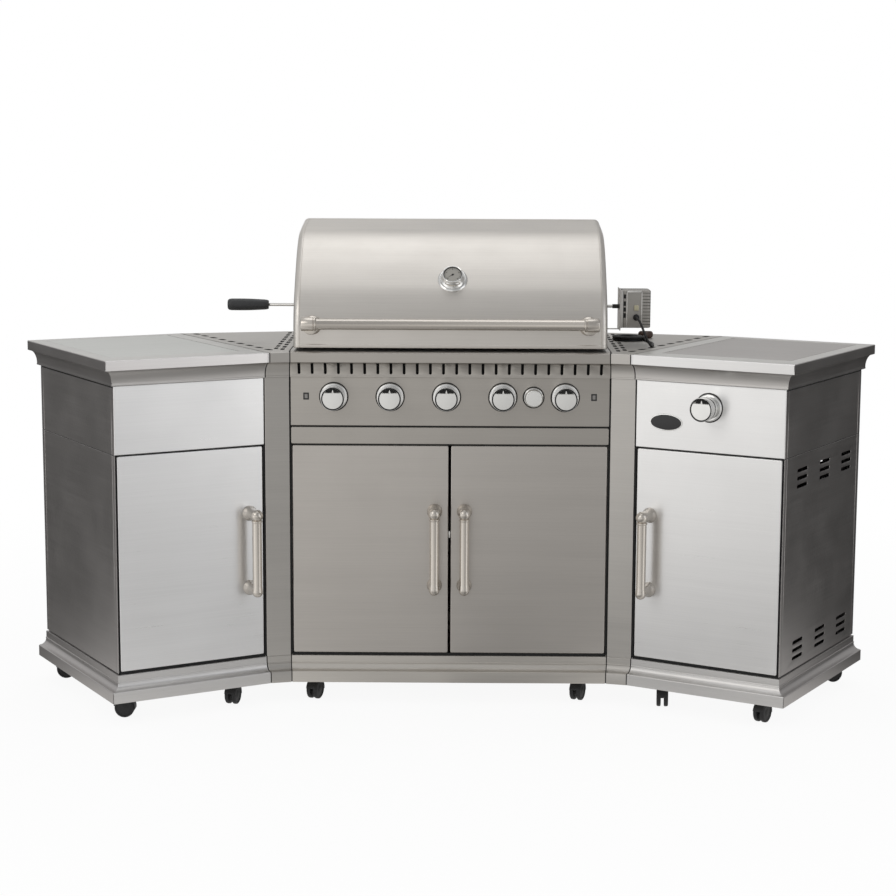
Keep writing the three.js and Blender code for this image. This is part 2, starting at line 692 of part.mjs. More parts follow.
/** A gas knob in its own frame: it faces -Y, and y = 0 is the panel's face.
 *  The upper part of the front steps back round a pointer. */
function knob(shaftLength) {
  const back = BEZEL_HEIGHT + KNOB_GAP;
  const front = back + KNOB_LENGTH;
  const { pin, rim, step, pointer } = PANEL_RADIAL_SHARES;
  const body = turned([
    [0, back], [KNOB_RADIUS * rim, back], [KNOB_RADIUS * 0.93, back + KNOB_LENGTH * 0.12],
    [KNOB_RADIUS, front - KNOB_LENGTH * 0.15], [KNOB_RADIUS * 0.92, front], [0, front],
  ], 16, facingFront(0, 0, 0));
  const depth = KNOB_LENGTH * 0.2;
  const recess = bar('y', [0, 0], -front - OVERRUN, -front + depth, KNOB_RADIUS * rim, 16)
    .intersect(block(
      -KNOB_RADIUS, KNOB_RADIUS, -front - OVERRUN, -front + depth,
      KNOB_RADIUS * step, KNOB_RADIUS,
    ));
  const mark = ball(0, -front + depth, KNOB_RADIUS * pin, KNOB_RADIUS * pointer, 6);
  const shaft = bar('y', [0, 0], -back - OVERRUN, shaftLength, KNOB_SHAFT_RADIUS, 12);
  return join(cut(body, recess), mark, shaft);
}

/** The push button beside the knobs, in the same frame as a knob. */
function pushButton(shaftLength) {
  const back = BUTTON_TRAVEL + FIT * 2;
  const front = BEZEL_HEIGHT + BUTTON_LENGTH;
  const cap = turned([
    [0, BEZEL_HEIGHT + back], [BUTTON_RADIUS * 0.96, BEZEL_HEIGHT + back],
    [BUTTON_RADIUS, front - BUTTON_LENGTH * 0.2], [BUTTON_RADIUS * 0.94, front - BUTTON_LENGTH * 0.04],
    [BUTTON_RADIUS * 0.84, front], [0, front],
  ], 16, facingFront(0, 0, 0));
  const stem = bar('y', [0, 0], -front + OVERRUN, shaftLength, KNOB_SHAFT_RADIUS, 12);
  return join(cap, stem);
}

// Centre cabinet
function centreUnit(parent) {
  const half = CENTRE_HALF - HALF_SEAM;
  const wall = half - STILE_WIDTH;
  const carcassBottom = PLINTH_TOP + FIT;
  const deckLine = DECK_BOTTOM - FIT;
  const panelBack = PANEL_DEPTH + FIT;
  const trayGap = FIT * 5;
  const runnerTop = WORKTOP_HEIGHT - WELL_DEPTH - SHEET;
  const trayTop = runnerTop - trayGap;
  const trayBottom = trayTop - TRAY_HEIGHT;
  const pivots = [-PIVOT_X, PIVOT_X].flatMap((x) => pivotHoles(x));
  piece('centre_base', cut(plinthBase(centreOutline, false), ...pivots), 'brushed', parent);

  const rearVents = [];
  const ventRows = 5;
  for (let row = 0; row < ventRows; row += 1) {
    for (const column of [-1, 1]) {
      const z = LOWER_VENT_HEIGHT + VENT_PITCH * 2 * row;
      const x = column * VENT_COLUMN_PITCH;
      rearVents.push(block(
        x - VENT_LENGTH / 2, x + VENT_LENGTH / 2, CABINET_DEPTH - SHEET - OVERRUN,
        CABINET_DEPTH + OVERRUN, z - VENT_HEIGHT / 2, z + VENT_HEIGHT / 2,
      ));
    }
  }
  const walls = [-1, 1].map((s) => {
    const [a, b] = [wall * s, half * s].sort((p, q) => p - q);
    return join(
      block(a, b, 0, CABINET_DEPTH, carcassBottom, RAIL_TOP),
      block(a, b, panelBack, CABINET_DEPTH, SPLIT_HEIGHT, deckLine),
    );
  });
  const rail = cut(
    block(-half, half, 0, STILE_DEPTH, SPLIT_HEIGHT, RAIL_TOP),
    block(
      -wall, wall, SHEET, STILE_DEPTH + OVERRUN, SPLIT_HEIGHT + SHEET, RAIL_TOP - SHEET,
    ),
  );
  const rearPanel = cut(
    block(-half, half, CABINET_DEPTH - SHEET, CABINET_DEPTH, carcassBottom, deckLine),
    block(
      -TRAY_HALF_WIDTH - SHEET, TRAY_HALF_WIDTH + SHEET, CABINET_DEPTH - SHEET - OVERRUN,
      CABINET_DEPTH + OVERRUN, trayBottom - OVERRUN, trayTop + OVERRUN,
    ),
    ...rearVents,
  );
  piece(
    'centre_carcass', cut(join(rail, ...walls, rearPanel), ...pivots), 'brushed', parent,
  );

  const meeting = DOOR_SIDE_GAP + FIT;
  const outer = half - STILE_WIDTH - DOOR_SIDE_GAP;
  piece('centre_left_door', doorPan(-outer, -meeting, -PIVOT_X), 'brushed', parent);
  piece('centre_left_handle', pullHandle(-PULL_INSET), 'nickel', parent);
  piece('centre_right_door', doorPan(meeting, outer, PIVOT_X), 'brushed', parent);
  piece('centre_right_handle', pullHandle(PULL_INSET), 'nickel', parent);

  controlPanel(parent);
  firebox(parent, { panelBack, runnerTop, trayBottom });

  const lipHeight = TRAY_HEIGHT - FIT;
  const trayRear = CABINET_DEPTH + REAR_OVERHANG - FIT;
  const tray = cut(
    block(
      -TRAY_HALF_WIDTH, TRAY_HALF_WIDTH, TRAY_FRONT, trayRear, trayBottom,
      trayBottom + lipHeight,
    ),
    block(
      -TRAY_HALF_WIDTH + SHEET, TRAY_HALF_WIDTH - SHEET, TRAY_FRONT + SHEET,
      trayRear - SHEET, trayBottom + SHEET, trayTop + OVERRUN,
    ),
  );
  piece('grease_tray', tray, 'brushed', parent);
}

function controlPanel(parent) {
  const levels = [[PANEL_BOTTOM, PANEL_PROUD], ...corniceLevels()];
  levels.splice(1, 1, [CORNICE_BOTTOM, PANEL_PROUD]);
  const inner = levels.map(([z, out]) => [z, out - SHEET]);
  const rear = PANEL_DEPTH - CABINET_DEPTH;
  const outerShell = loft(levels.map(([z, out]) => ({
    z, outline: centreOutline({ front: out, rear, inset: 0 }),
  })));
  const hollow = loft(clipped(inner, PANEL_BOTTOM + SHEET, DECK_BOTTOM).map(([z, out]) => ({
    z, outline: centreOutline({ front: out, rear: rear + OVERRUN, inset: SHEET }),
  })));
  const slots = [];
  const slotTop = CORNICE_BOTTOM + LIP_HEIGHT + PANEL_SLOT_RISE + PANEL_SLOT_HEIGHT;
  for (let i = 0; i < PANEL_SLOTS; i += 1) {
    const x = (i / (PANEL_SLOTS - 1) - 0.5) * PANEL_SLOT_SPAN;
    slots.push(block(
      x - PANEL_SLOT_WIDTH / 2, x + PANEL_SLOT_WIDTH / 2, -WORKTOP_OVERHANG - OVERRUN,
      PANEL_DEPTH / 2, slotTop - PANEL_SLOT_HEIGHT, slotTop,
    ));
  }
  const knobs = [0, 1, 2, 3].map((i) => FIRST_KNOB_X + i * KNOB_PITCH);
  knobs.push(REAR_KNOB_X);
  const faceY = -PANEL_PROUD;
  const seat = faceY + FIT;
  const rings = knobs.map((x) => bezel(x, seat, KNOB_HEIGHT, BEZEL_RADIUS));
  rings.push(bezel(BUTTON_X, seat, KNOB_HEIGHT, BUTTON_BEZEL_RADIUS));
  const holes = [...knobs, BUTTON_X].map((x) => (
    bar('y', [KNOB_HEIGHT, x], -BEZEL_HEIGHT - OVERRUN, SHEET + OVERRUN, BEZEL_BORE, 16)
  ));
  const panel = cut(join(cut(outerShell, hollow), ...rings), ...holes, ...slots);
  piece('control_panel', panel, 'brushed', parent);

  const shaftEnd = MANIFOLD_Y - MANIFOLD_SIZE / 2 - FIT - faceY;
  knobs.forEach((x, i) => {
    const turn = piece(`burner_knob_${i + 1}`, knob(shaftEnd), 'chrome', parent);
    turn.position.set(x, faceY, KNOB_HEIGHT);
  });
  const button = piece('igniter_button', pushButton(shaftEnd + SHEET), 'chrome', parent);
  button.position.set(BUTTON_X, faceY, KNOB_HEIGHT);
}

function firebox(parent, { panelBack, runnerTop, trayBottom }) {
  const deckHalf = CENTRE_HALF - HALF_SEAM;
  const deckRear = CABINET_DEPTH + REAR_OVERHANG;
  const wellFloor = runnerTop;
  const [x0, x1] = [-WELL_HALF_WIDTH, WELL_HALF_WIDTH];
  const well = block(x0, x1, WELL_FRONT, WELL_REAR, wellFloor, WORKTOP_HEIGHT);
  const deck = block(-deckHalf, deckHalf, panelBack, deckRear, DECK_BOTTOM, WORKTOP_HEIGHT);
  const hollow = block(
    x0 + SHEET, x1 - SHEET, WELL_FRONT + SHEET, WELL_REAR - SHEET, wellFloor + SHEET,
    WORKTOP_HEIGHT + OVERRUN,
  );
  const drain = block(
    -TRAY_HALF_WIDTH / 2, TRAY_HALF_WIDTH / 2, (WELL_FRONT + WELL_REAR) / 2 - FLANGE,
    (WELL_FRONT + WELL_REAR) / 2 + FLANGE, wellFloor - OVERRUN, wellFloor + SHEET + OVERRUN,
  );
  const grateBottom = WORKTOP_HEIGHT - GRATE_RISE - FIT;
  const ledges = [[WELL_FRONT, WELL_FRONT + FLANGE], [WELL_REAR - FLANGE, WELL_REAR]]
    .map(([a, b]) => block(x0, x1, a, b, grateBottom - SHEET, grateBottom));
  const earBottom = WORKTOP_HEIGHT - FLANGE;
  const ears = [-1, 1].flatMap((s) => {
    const [a, b] = [(WELL_HALF_WIDTH - SHEET) * s, WELL_HALF_WIDTH * s].sort((p, q) => p - q);
    const notch = join(
      bar('x', [SPIT_Y, SPIT_HEIGHT], a - OVERRUN, b + OVERRUN, SPIT_RADIUS + FIT, 16),
      block(
        a - OVERRUN, b + OVERRUN, SPIT_Y - SPIT_RADIUS - FIT, SPIT_Y + SPIT_RADIUS + FIT,
        SPIT_HEIGHT, SPIT_HEIGHT + GRIP_RADIUS * 2,
      ),
    );
    const spitEar = cut(block(
      a, b, SPIT_Y - EAR_WIDTH / 2, SPIT_Y + EAR_WIDTH / 2, earBottom,
      SPIT_HEIGHT + GRIP_RADIUS,
    ), notch);
    const hingeEar = block(
      a, b, HINGE_Y - FLANGE, HINGE_Y + HINGE_PIN_RADIUS + SHEET, WORKTOP_HEIGHT - SHEET / 2,
      HINGE_Z + FLANGE,
    );
    const pinEnd = (HOOD_HALF + FIT) * s;
    const [c, d] = [(WELL_HALF_WIDTH - SHEET / 2) * s, pinEnd].sort((p, q) => p - q);
    return [spitEar, hingeEar, bar('x', [HINGE_Y, HINGE_Z], c, d, HINGE_PIN_RADIUS, 16)];
  });
  const rearRiser = block(
    -REAR_BURNER_WIDTH / 2 - FLANGE, REAR_BURNER_WIDTH / 2 + FLANGE, WELL_REAR - SHEET,
    WELL_REAR, earBottom, SPIT_HEIGHT + GRIP_RADIUS,
  );
  const rackPegs = [-1, 1].map((s) => {
    const [a, b] = [(WELL_HALF_WIDTH - SHEET) * s, WELL_HALF_WIDTH * s].sort((p, q) => p - q);
    return block(
      a, b, WELL_REAR - EAR_WIDTH * 1.6, WELL_REAR - EAR_WIDTH * 0.6, earBottom,
      RACK_HEIGHT - FIT,
    );
  });
  const knobs = [0, 1, 2, 3].map((i) => FIRST_KNOB_X + i * KNOB_PITCH);
  const burnerHoles = knobs.map((x) => (
    bar('y', [KNOB_HEIGHT, x], WELL_FRONT - OVERRUN, WELL_FRONT + OVERRUN, BURNER_RADIUS + FIT)
  ));
  const runners = [-1, 1].map((s) => {
    const inner = TRAY_HALF_WIDTH + FIT * 2;
    const [a, b] = [inner * s, (inner + SHEET) * s].sort((p, q) => p - q);
    const [c, d] = [(inner + SHEET) * s, (inner - RUNNER_LIP) * s].sort((p, q) => p - q);
    const bottom = trayBottom - FIT;
    return join(
      block(a, b, WELL_FRONT + SHEET, WELL_REAR, bottom - SHEET, wellFloor + SHEET),
      block(c, d, WELL_FRONT + SHEET, WELL_REAR, bottom - SHEET, bottom),
    );
  });
  const box = cut(join(cut(join(well, deck), hollow), ...ledges), drain, ...burnerHoles);
  piece('firebox', join(box, ...ears, rearRiser, ...rackPegs, ...runners), 'brushed', parent);

  const manifoldHalf = (REAR_KNOB_X - FIRST_KNOB_X) / 2 + MANIFOLD_SIZE * 1.5;
  const manifoldX = (REAR_KNOB_X + FIRST_KNOB_X) / 2;
  const pipe = block(
    manifoldX - manifoldHalf, manifoldX + manifoldHalf, MANIFOLD_Y - MANIFOLD_SIZE / 2,
    MANIFOLD_Y + MANIFOLD_SIZE / 2, KNOB_HEIGHT - MANIFOLD_SIZE / 2,
    KNOB_HEIGHT + MANIFOLD_SIZE / 2,
  );
  const tubes = knobs.map((x) => join(
    bar('y', [KNOB_HEIGHT, x], MANIFOLD_Y, WELL_REAR - FLANGE * 2, BURNER_RADIUS),
    block(
      x - BURNER_RADIUS * 1.4, x + BURNER_RADIUS * 1.4, WELL_FRONT + FLANGE,
      WELL_REAR - FLANGE * 2, KNOB_HEIGHT, KNOB_HEIGHT + BURNER_RADIUS * 0.8,
    ),
  ));
  const igniterHole = bar(
    'y', [KNOB_HEIGHT, BUTTON_X], MANIFOLD_Y - MANIFOLD_SIZE, MANIFOLD_Y,
    KNOB_SHAFT_RADIUS + FIT * 2,
  );
  piece('burner_rail', cut(join(pipe, ...tubes), igniterHole), 'iron', parent);

  const rearBurner = cut(
    block(
      -REAR_BURNER_WIDTH / 2, REAR_BURNER_WIDTH / 2, WELL_REAR - SHEET - FLANGE * 2,
      WELL_REAR - SHEET - FIT, SPIT_HEIGHT - REAR_BURNER_HEIGHT,
      SPIT_HEIGHT,
    ),
    block(
      -REAR_BURNER_WIDTH / 2 + SHEET * 2, REAR_BURNER_WIDTH / 2 - SHEET * 2,
      WELL_REAR - SHEET - FLANGE * 2 - OVERRUN, WELL_REAR - SHEET - FLANGE,
      SPIT_HEIGHT - REAR_BURNER_HEIGHT + SHEET * 2, SPIT_HEIGHT - SHEET * 2,
    ),
  );
  piece('rear_burner', rearBurner, 'iron', parent);
  cookingGrate(parent);
  warmingRack(parent);
}

function cookingGrate(parent) {
  const gap = FIT * 4;
  const half = WELL_HALF_WIDTH - SHEET - gap;
  const [front, rear] = [WELL_FRONT + SHEET + gap, WELL_REAR - SHEET - gap];
  const bottom = WORKTOP_HEIGHT - GRATE_RISE;
  const top = bottom + GRATE_THICKNESS;
  const count = Math.floor((2 * half - GRATE_BAR) / GRATE_PITCH);
  const bars = [];
  for (let i = 0; i <= count; i += 1) {
    const x = (i - count / 2) * GRATE_PITCH;
    const gapLeft = x + GRATE_BAR / 2;
    const gapRight = x + GRATE_PITCH - GRATE_BAR / 2;
    if (i < count) {
      bars.push(block(
        gapLeft, gapRight, front + GRATE_BAR, rear - GRATE_BAR, bottom - OVERRUN, top + OVERRUN,
      ));
    }
  }
  const plate = block(-half, half, front, rear, bottom, top);
  piece('cooking_grate', cut(plate, ...bars), 'iron', parent);
}

function warmingRack(parent) {
  const half = WELL_HALF_WIDTH - FIT;
  const rear = WELL_REAR - EAR_WIDTH * 0.5;
  const front = rear - EAR_WIDTH * 2.2;
  const radius = RACK_WIRE / 2;
  const z = RACK_HEIGHT + radius;
  const gaps = [];
  const count = Math.floor((2 * half - RACK_WIRE) / (GRATE_PITCH * 1.6));
  const pitch = (2 * half - RACK_WIRE) / count;
  for (let i = 0; i < count; i += 1) {
    const left = -half + RACK_WIRE + i * pitch;
    gaps.push(block(
      left, left + pitch - RACK_WIRE, front + radius, rear - radius, z - radius - OVERRUN,
      z + radius + OVERRUN,
    ));
  }
  const rack = block(-half, half, front - radius, rear + radius, z - radius, z + radius);
  piece('warming_rack', cut(rack, ...gaps), 'chrome', parent);
}

// Hood
function hoodUnit(parent) {
  const place = ([y, z], out, height, drop) => [
    HOOD_FRONT - out + y * (HOOD_DEPTH + 2 * out), HOOD_BOTTOM - drop + z * (height + out + drop),
  ];
  const outer = HOOD_PROFILE_SHARES.map((point) => place(point, 0, HOOD_HEIGHT, 0));
  const proud = HOOD_PROFILE_SHARES.map((p) => place(p, HOOD_CHEEK_PROUD, HOOD_HEIGHT, 0));
  const inner = HOOD_PROFILE_SHARES.map((p) => place(p, -HOOD_SKIN, HOOD_HEIGHT, OVERRUN));
  const half = HOOD_HALF;
  const cheeks = [-1, 1].map((s) => {
    const [a, b] = [(half - HOOD_CHEEK) * s, half * s].sort((p, q) => p - q);
    return prism('x', proud, a, b);
  });
  const skin = prism('x', outer, -half + SHEET, half - SHEET);
  const hollow = prism('x', inner, -half + HOOD_SKIN, half - HOOD_SKIN);
  const slotRadius = Math.hypot(SPIT_Y - HINGE_Y, SPIT_HEIGHT - HINGE_Z);
  const slotStart = Math.atan2(SPIT_HEIGHT - HINGE_Z, SPIT_Y - HINGE_Y);
  const slotEnd = Math.PI + Math.asin((HINGE_RISE + OVERRUN) / slotRadius);
  const slotHalf = SPIT_RADIUS + SHEET;
  const steps = 8;
  const arc = (radius, i) => {
    const angle = slotStart + (slotEnd - slotStart) * (i / steps);
    return [HINGE_Y + radius * Math.cos(angle), HINGE_Z + radius * Math.sin(angle)];
  };
  const slotOutline = [];
  for (let i = 0; i <= steps; i += 1) slotOutline.push(arc(slotRadius + slotHalf, i));
  for (let i = steps; i >= 0; i -= 1) slotOutline.push(arc(slotRadius - slotHalf, i));
  const openings = [-1, 1].flatMap((s) => {
    const [a, b] = [(half - HOOD_CHEEK) * s - OVERRUN, (half + OVERRUN) * s]
      .sort((p, q) => p - q);
    const [c, d] = [(WELL_HALF_WIDTH - SHEET - NOTCH_GAP) * s, (WELL_HALF_WIDTH + NOTCH_GAP) * s]
      .sort((p, q) => p - q);
    return [
      block(
        c, d, HOOD_REAR - HOOD_SKIN - OVERRUN, HOOD_REAR + OVERRUN, HOOD_BOTTOM - OVERRUN,
        HINGE_Z + Math.hypot(FLANGE, HINGE_Z - DECK_BOTTOM),
      ),
      prism('x', slotOutline, a, b + FIT),
      bar('x', [SPIT_Y, SPIT_HEIGHT], a, b + FIT, slotHalf, 16),
      bar('x', [HINGE_Y, HINGE_Z], a, b + FIT, HINGE_PIN_RADIUS + FIT, 16),
    ];
  });
  const solid = cut(join(skin, ...cheeks), hollow, ...openings);
  piece('hood', solid, 'brushed', parent);

  const barY = HOOD_FRONT - HOOD_BAR_STANDOFF;
  const barZ = HOOD_BOTTOM + HOOD_BAR_RISE;
  const ends = [-1, 1].map((s) => {
    const [a, b] = [HOOD_BAR_HALF_LENGTH * s, (HOOD_BAR_HALF_LENGTH - HOOD_COLLAR_LENGTH) * s]
      .sort((p, q) => p - q);
    const middle = (a + b) / 2;
    const face = HOOD_FRONT - FIT;
    return join(
      bar('x', [barY, barZ], a, b, HOOD_COLLAR_RADIUS, 16),
      bar('y', [barZ, middle], barY, face, HOOD_POST_RADIUS, 12),
    );
  });
  const clear = [...outer.slice(0, 4), [HOOD_REAR, HOOD_BOTTOM]].map(([y, z]) => [y - FIT, z]);
  const barHalf = HOOD_BAR_HALF_LENGTH - SHEET;
  const grip = join(
    bar('x', [barY, barZ], -barHalf, barHalf, HOOD_BAR_RADIUS, 16), ...ends,
  );
  piece('hood_handle', cut(grip, prism('x', clear, -half, half)), 'nickel', parent);

  const [lower, upper] = [outer[3], outer[4]];
  const middle = lower.map((v, i) => v + (upper[i] - v) * DIAL_PLACE_SHARE);
  const slope = Math.atan2(upper[1] - lower[1], upper[0] - lower[0]);
  const dial = turned([
    [0, FIT], [DIAL_BASE_RADIUS, FIT], [DIAL_BASE_RADIUS * 0.92, DIAL_LENGTH * 0.22],
    [DIAL_RADIUS * 0.82, DIAL_LENGTH * 0.62], [DIAL_RADIUS, DIAL_LENGTH * 0.7],
    [DIAL_RADIUS, DIAL_LENGTH], [DIAL_RADIUS * 0.88, DIAL_LENGTH],
    [DIAL_RADIUS * 0.86, DIAL_LENGTH - SHEET], [0, DIAL_LENGTH - SHEET],
  ]);
  const thermometer = piece('thermometer', dial, 'chrome', parent);
  thermometer.position.set(DIAL_X, middle[0], middle[1]);
  thermometer.rotation.x = slope;
}

// Rotisserie
function spitFork(facing) {
  const collar = bar('x', [0, 0], -GRIP_RADIUS, GRIP_RADIUS, GRIP_RADIUS * 0.8, 16);
  const width = SPIT_RADIUS * 1.5;
  const bridge = block(
    -width / 2, width / 2, -FORK_TINE_SPREAD, FORK_TINE_SPREAD, -width, width,
  );
  const tines = [-1, 1].map((s) => {
    const [a, b] = [0, FORK_REACH * facing].sort((p, q) => p - q);
    return block(
      a, b, s * FORK_TINE_SPREAD - width / 2, s * FORK_TINE_SPREAD + width / 2,
      -width / 2, width / 2,
    );
  });
  const bore = bar('x', [0, 0], -GRIP_RADIUS * 2, GRIP_RADIUS * 2, SPIT_RADIUS + FIT, 16);
  return cut(join(collar, bridge, ...tines), bore);
}

function rotisserie(parent) {
  const spit = new THREE.Group();
  spit.position.set(0, SPIT_Y, SPIT_HEIGHT);
  parent.add(spit);
  const rod = bar('x', [0, 0], SPIT_LEFT, SPIT_RIGHT, SPIT_RADIUS, 16);
  piece('spit_rod', rod, 'chrome', spit);
  const profile = GRIP_PROFILE_SHARES.map(([r, h]) => [r * GRIP_RADIUS, h * GRIP_LENGTH]);
  const grip = piece('spit_grip', turned(profile, 16), 'plastic', spit);
  grip.position.x = SPIT_LEFT - FIT - GRIP_LENGTH;
  grip.rotation.y = QUARTER_TURN;
  for (const [name, s] of [['spit_fork_left', -1], ['spit_fork_right', 1]]) {
    piece(name, spitFork(-s), 'chrome', spit).position.x = s * FORK_X;
  }

  const plateRight = BRACKET_X + SHEET;
  const half = BRACKET_WIDTH / 2;
  const armY = HINGE_Y - Math.sqrt(
    Math.hypot(SPIT_Y - HINGE_Y, SPIT_HEIGHT - HINGE_Z) ** 2
    - (BRACKET_ARM_HEIGHT - HINGE_Z) ** 2,
  );
  const armHalf = SPIT_RADIUS + FIT;
  const shaftHole = bar('x', [SPIT_Y, SPIT_HEIGHT], BRACKET_X - OVERRUN,
    plateRight + OVERRUN, GRIP_RADIUS * 0.8, 16);
  const slots = [-1, 1].flatMap((s) => [1, 2].map((row) => block(
    BRACKET_X - OVERRUN, plateRight + OVERRUN, SPIT_Y + s * half * 0.55 - SPIT_RADIUS,
    SPIT_Y + s * half * 0.55 + SPIT_RADIUS, SPIT_HEIGHT + FLANGE * row,
    SPIT_HEIGHT + FLANGE * row + SPIT_RADIUS * 1.5,
  )));
  const plate = block(
    BRACKET_X, plateRight, SPIT_Y - half, SPIT_Y + half, BRACKET_ARM_HEIGHT - SHEET,
    BRACKET_TOP,
  );
  const arm = block(
    WELL_HALF_WIDTH + FIT, plateRight, armY - armHalf, armY + armHalf,
    BRACKET_ARM_HEIGHT - SHEET / 2, BRACKET_ARM_HEIGHT + SHEET / 2,
  );
  const bracket = cut(join(plate, arm), shaftHole, ...slots);
  piece('motor_bracket', bracket, 'brushed', parent);

  const motorLeft = plateRight + FIT;
  const motorRight = motorLeft + MOTOR_LENGTH;
  const [front, rear] = [SPIT_Y - half + SHEET, SPIT_Y + half - SHEET];
  const motorTop = BRACKET_TOP - SHEET;
  const motorBottom = motorTop - MOTOR_HEIGHT;
  const outline = [
    [motorLeft, front], [motorRight - MOTOR_CHAMFER, front],
    [motorRight, front + MOTOR_CHAMFER * 2], [motorRight, rear - MOTOR_CHAMFER],
    [motorRight - MOTOR_CHAMFER, rear], [motorLeft, rear],
  ];
  const housing = prism('z', outline, motorBottom, motorTop);
  const socket = cut(
    bar('x', [SPIT_Y, SPIT_HEIGHT], SPIT_RIGHT - FLANGE, motorLeft + SHEET,
      SPIT_RADIUS * 2, 16),
    bar('x', [SPIT_Y, SPIT_HEIGHT], SPIT_RIGHT - FLANGE - OVERRUN, SPIT_RIGHT + FIT,
      SPIT_RADIUS + FIT, 16),
  );
  const gland = turned([
    [0, 0], [LEAD_DIAMETER * 0.95, 0], [LEAD_DIAMETER * 0.95, SHEET],
    [LEAD_DIAMETER * 0.75, SHEET * 2], [LEAD_DIAMETER * 0.6, GLAND_LENGTH],
    [0, GLAND_LENGTH],
  ], 12, facingFront(GLAND_X, front + SHEET / 2, GLAND_Z));
  const ribs = [-1, 0, 1].map((i) => block(
    motorRight - SHEET, motorRight + SHEET / 2, SPIT_Y - half * 0.3, SPIT_Y + half * 0.5,
    SPIT_HEIGHT + FLANGE * (1.2 * i) - SHEET / 2, SPIT_HEIGHT + FLANGE * (1.2 * i) + SHEET,
  ));
  const motor = join(housing, socket, gland, ...ribs);
  piece('rotisserie_motor', motor, 'pale', parent);
}

// The lead: a free stretch from the gland down to the corner unit, one coil
// that winds in, climbs and winds out again, and the plug
/** The centre line of the coil: in along the deck, up a layer, and out again. */
function coilPoints() {
  const turns = COIL_TURNS_PER_LAYER * COIL_LAYERS;
  const climbFrom = COIL_TURNS_PER_LAYER - 0.25;
  const climbTo = COIL_TURNS_PER_LAYER + 0.25;
  const points = [];
  const total = Math.round(turns * COIL_STEPS);
  for (let i = 0; i <= total; i += 1) {
    const done = i / COIL_STEPS;
    const inward = Math.min(done, COIL_TURNS_PER_LAYER);
    const outward = Math.max(done - COIL_TURNS_PER_LAYER, 0);
    const lift = Math.min(Math.max((done - climbFrom) / (climbTo - climbFrom), 0), 1);
    const radius = COIL_OUTER - COIL_PITCH * inward + COIL_PITCH * outward;
    const angle = WHOLE_TURN * done;
    points.push(new THREE.Vector3(
      COIL_X + radius * Math.cos(angle),
      COIL_Y + radius * Math.sin(angle),
      LEAD_REST + COIL_PITCH * 0.98 * (1 - Math.cos(Math.PI * lift)) / 2,
    ));
  }
  const first = points[0].clone();
  const start = [first.clone().setY(first.y - LEAD_DIAMETER), first];
  const last = points.at(-1);
  const before = points.at(-2);
  const away = last.clone().sub(before).setZ(0).normalize();
  const end = last.clone().addScaledVector(away, COIL_MEAN_RADIUS);
  return { points: [start[0], ...points, end], away };
}

/** A tube drawn out along a line through the points, with flat ends. */
function tube(points, radius, sides, steps) {
  const extrudePath = new THREE.CatmullRomCurve3(points, false, 'centripetal');
  const shape = new THREE.Shape(Array.from({ length: sides }, (_, k) => {
    const angle = WHOLE_TURN * (k / sides);
    return new THREE.Vector2(radius * Math.cos(angle), radius * Math.sin(angle));
  }));
  return solidOf(new THREE.ExtrudeGeometry(shape, { steps, extrudePath, bevelEnabled: false }));
}

/** Least clear distance between turns that aren't next to each other on the cord. */
function leastGap(points, diameter, skip) {
  let least = Infinity;
  points.forEach((point, i) => {
    for (let j = i + skip; j < points.length; j += 1) {
      least = Math.min(least, point.distanceTo(points[j]) - diameter);
    }
  });
  return least;
}

const lengthOf = (points) => points.slice(1).reduce(
  (sum, point, i) => sum + point.distanceTo(points[i]), 0,
);

function motorLead(parent) {
  const { points, away } = coilPoints();
  const join0 = points[0].clone().setY(points[0].y - FIT);
  const route = LEAD_STEPS.map(([x, y, z]) => (
    new THREE.Vector3(GLAND_X + x, GLAND_TIP_Y + y, GLAND_Z + z)
  ));
  const straight = join0.clone().setY(join0.y - LEAD_DIAMETER);
  const leadPoints = [...route, straight, join0];
  piece('motor_lead', tube(leadPoints, LEAD_RADIUS, 8, 24), 'rubber', parent);
  const coilSteps = points.length - 1;
  piece('lead_coil', tube(points, LEAD_RADIUS, 6, coilSteps), 'rubber', parent);
  const gap = leastGap(points, LEAD_DIAMETER, 14);
  console.log(`coil gap ${gap.toFixed(2)} mm, lead ${lengthOf(leadPoints).toFixed(0)} mm, `
    + `coil ${lengthOf(points).toFixed(0)} mm`);

  const tip = points.at(-1);
  const bottom = WORKTOP_HEIGHT + FIT;
  const centre = tip.z;
  const body = join(
    loft([
      { z: FIT, outline: rounded(LEAD_DIAMETER * 1.1, LEAD_DIAMETER * 1.1) },
      { z: PLUG_LENGTH * 0.3, outline: rounded(LEAD_DIAMETER * 1.3, LEAD_DIAMETER * 1.3) },
      { z: PLUG_LENGTH * 0.45, outline: rounded(PLUG_WIDTH, PLUG_HEIGHT * 0.8) },
      { z: PLUG_LENGTH * 0.9, outline: rounded(PLUG_WIDTH, PLUG_HEIGHT * 0.8) },
      { z: PLUG_LENGTH, outline: rounded(PLUG_WIDTH * 0.9, PLUG_HEIGHT * 0.7) },
    ]),
    ...[-1, 1].map((s) => block(
      s * PLUG_WIDTH * 0.25 - SHEET / 2, s * PLUG_WIDTH * 0.25 + SHEET / 2,
      -LEAD_RADIUS, LEAD_RADIUS, PLUG_LENGTH - SHEET, PLUG_LENGTH + FLANGE,
    )),
  );
  const plug = piece('lead_plug', body, 'brown', parent);
  const lift = Math.max(centre, bottom + PLUG_HEIGHT * 0.4);
  plug.up.set(0, 0, 1);
  plug.position.set(tip.x, tip.y, lift);
  plug.lookAt(tip.x + away.x, tip.y + away.y, lift);
}

/** A rectangle with cut corners, centred on the origin. */
function rounded(width, height) {
  const [a, b] = [width / 2, height / 2];
  const c = Math.min(a, b) * 0.4;
  return [
    [-a + c, -b], [a - c, -b], [a, -b + c], [a, b - c], [a - c, b], [-a + c, b],
    [-a, b - c], [-a, -b + c],
  ];
}

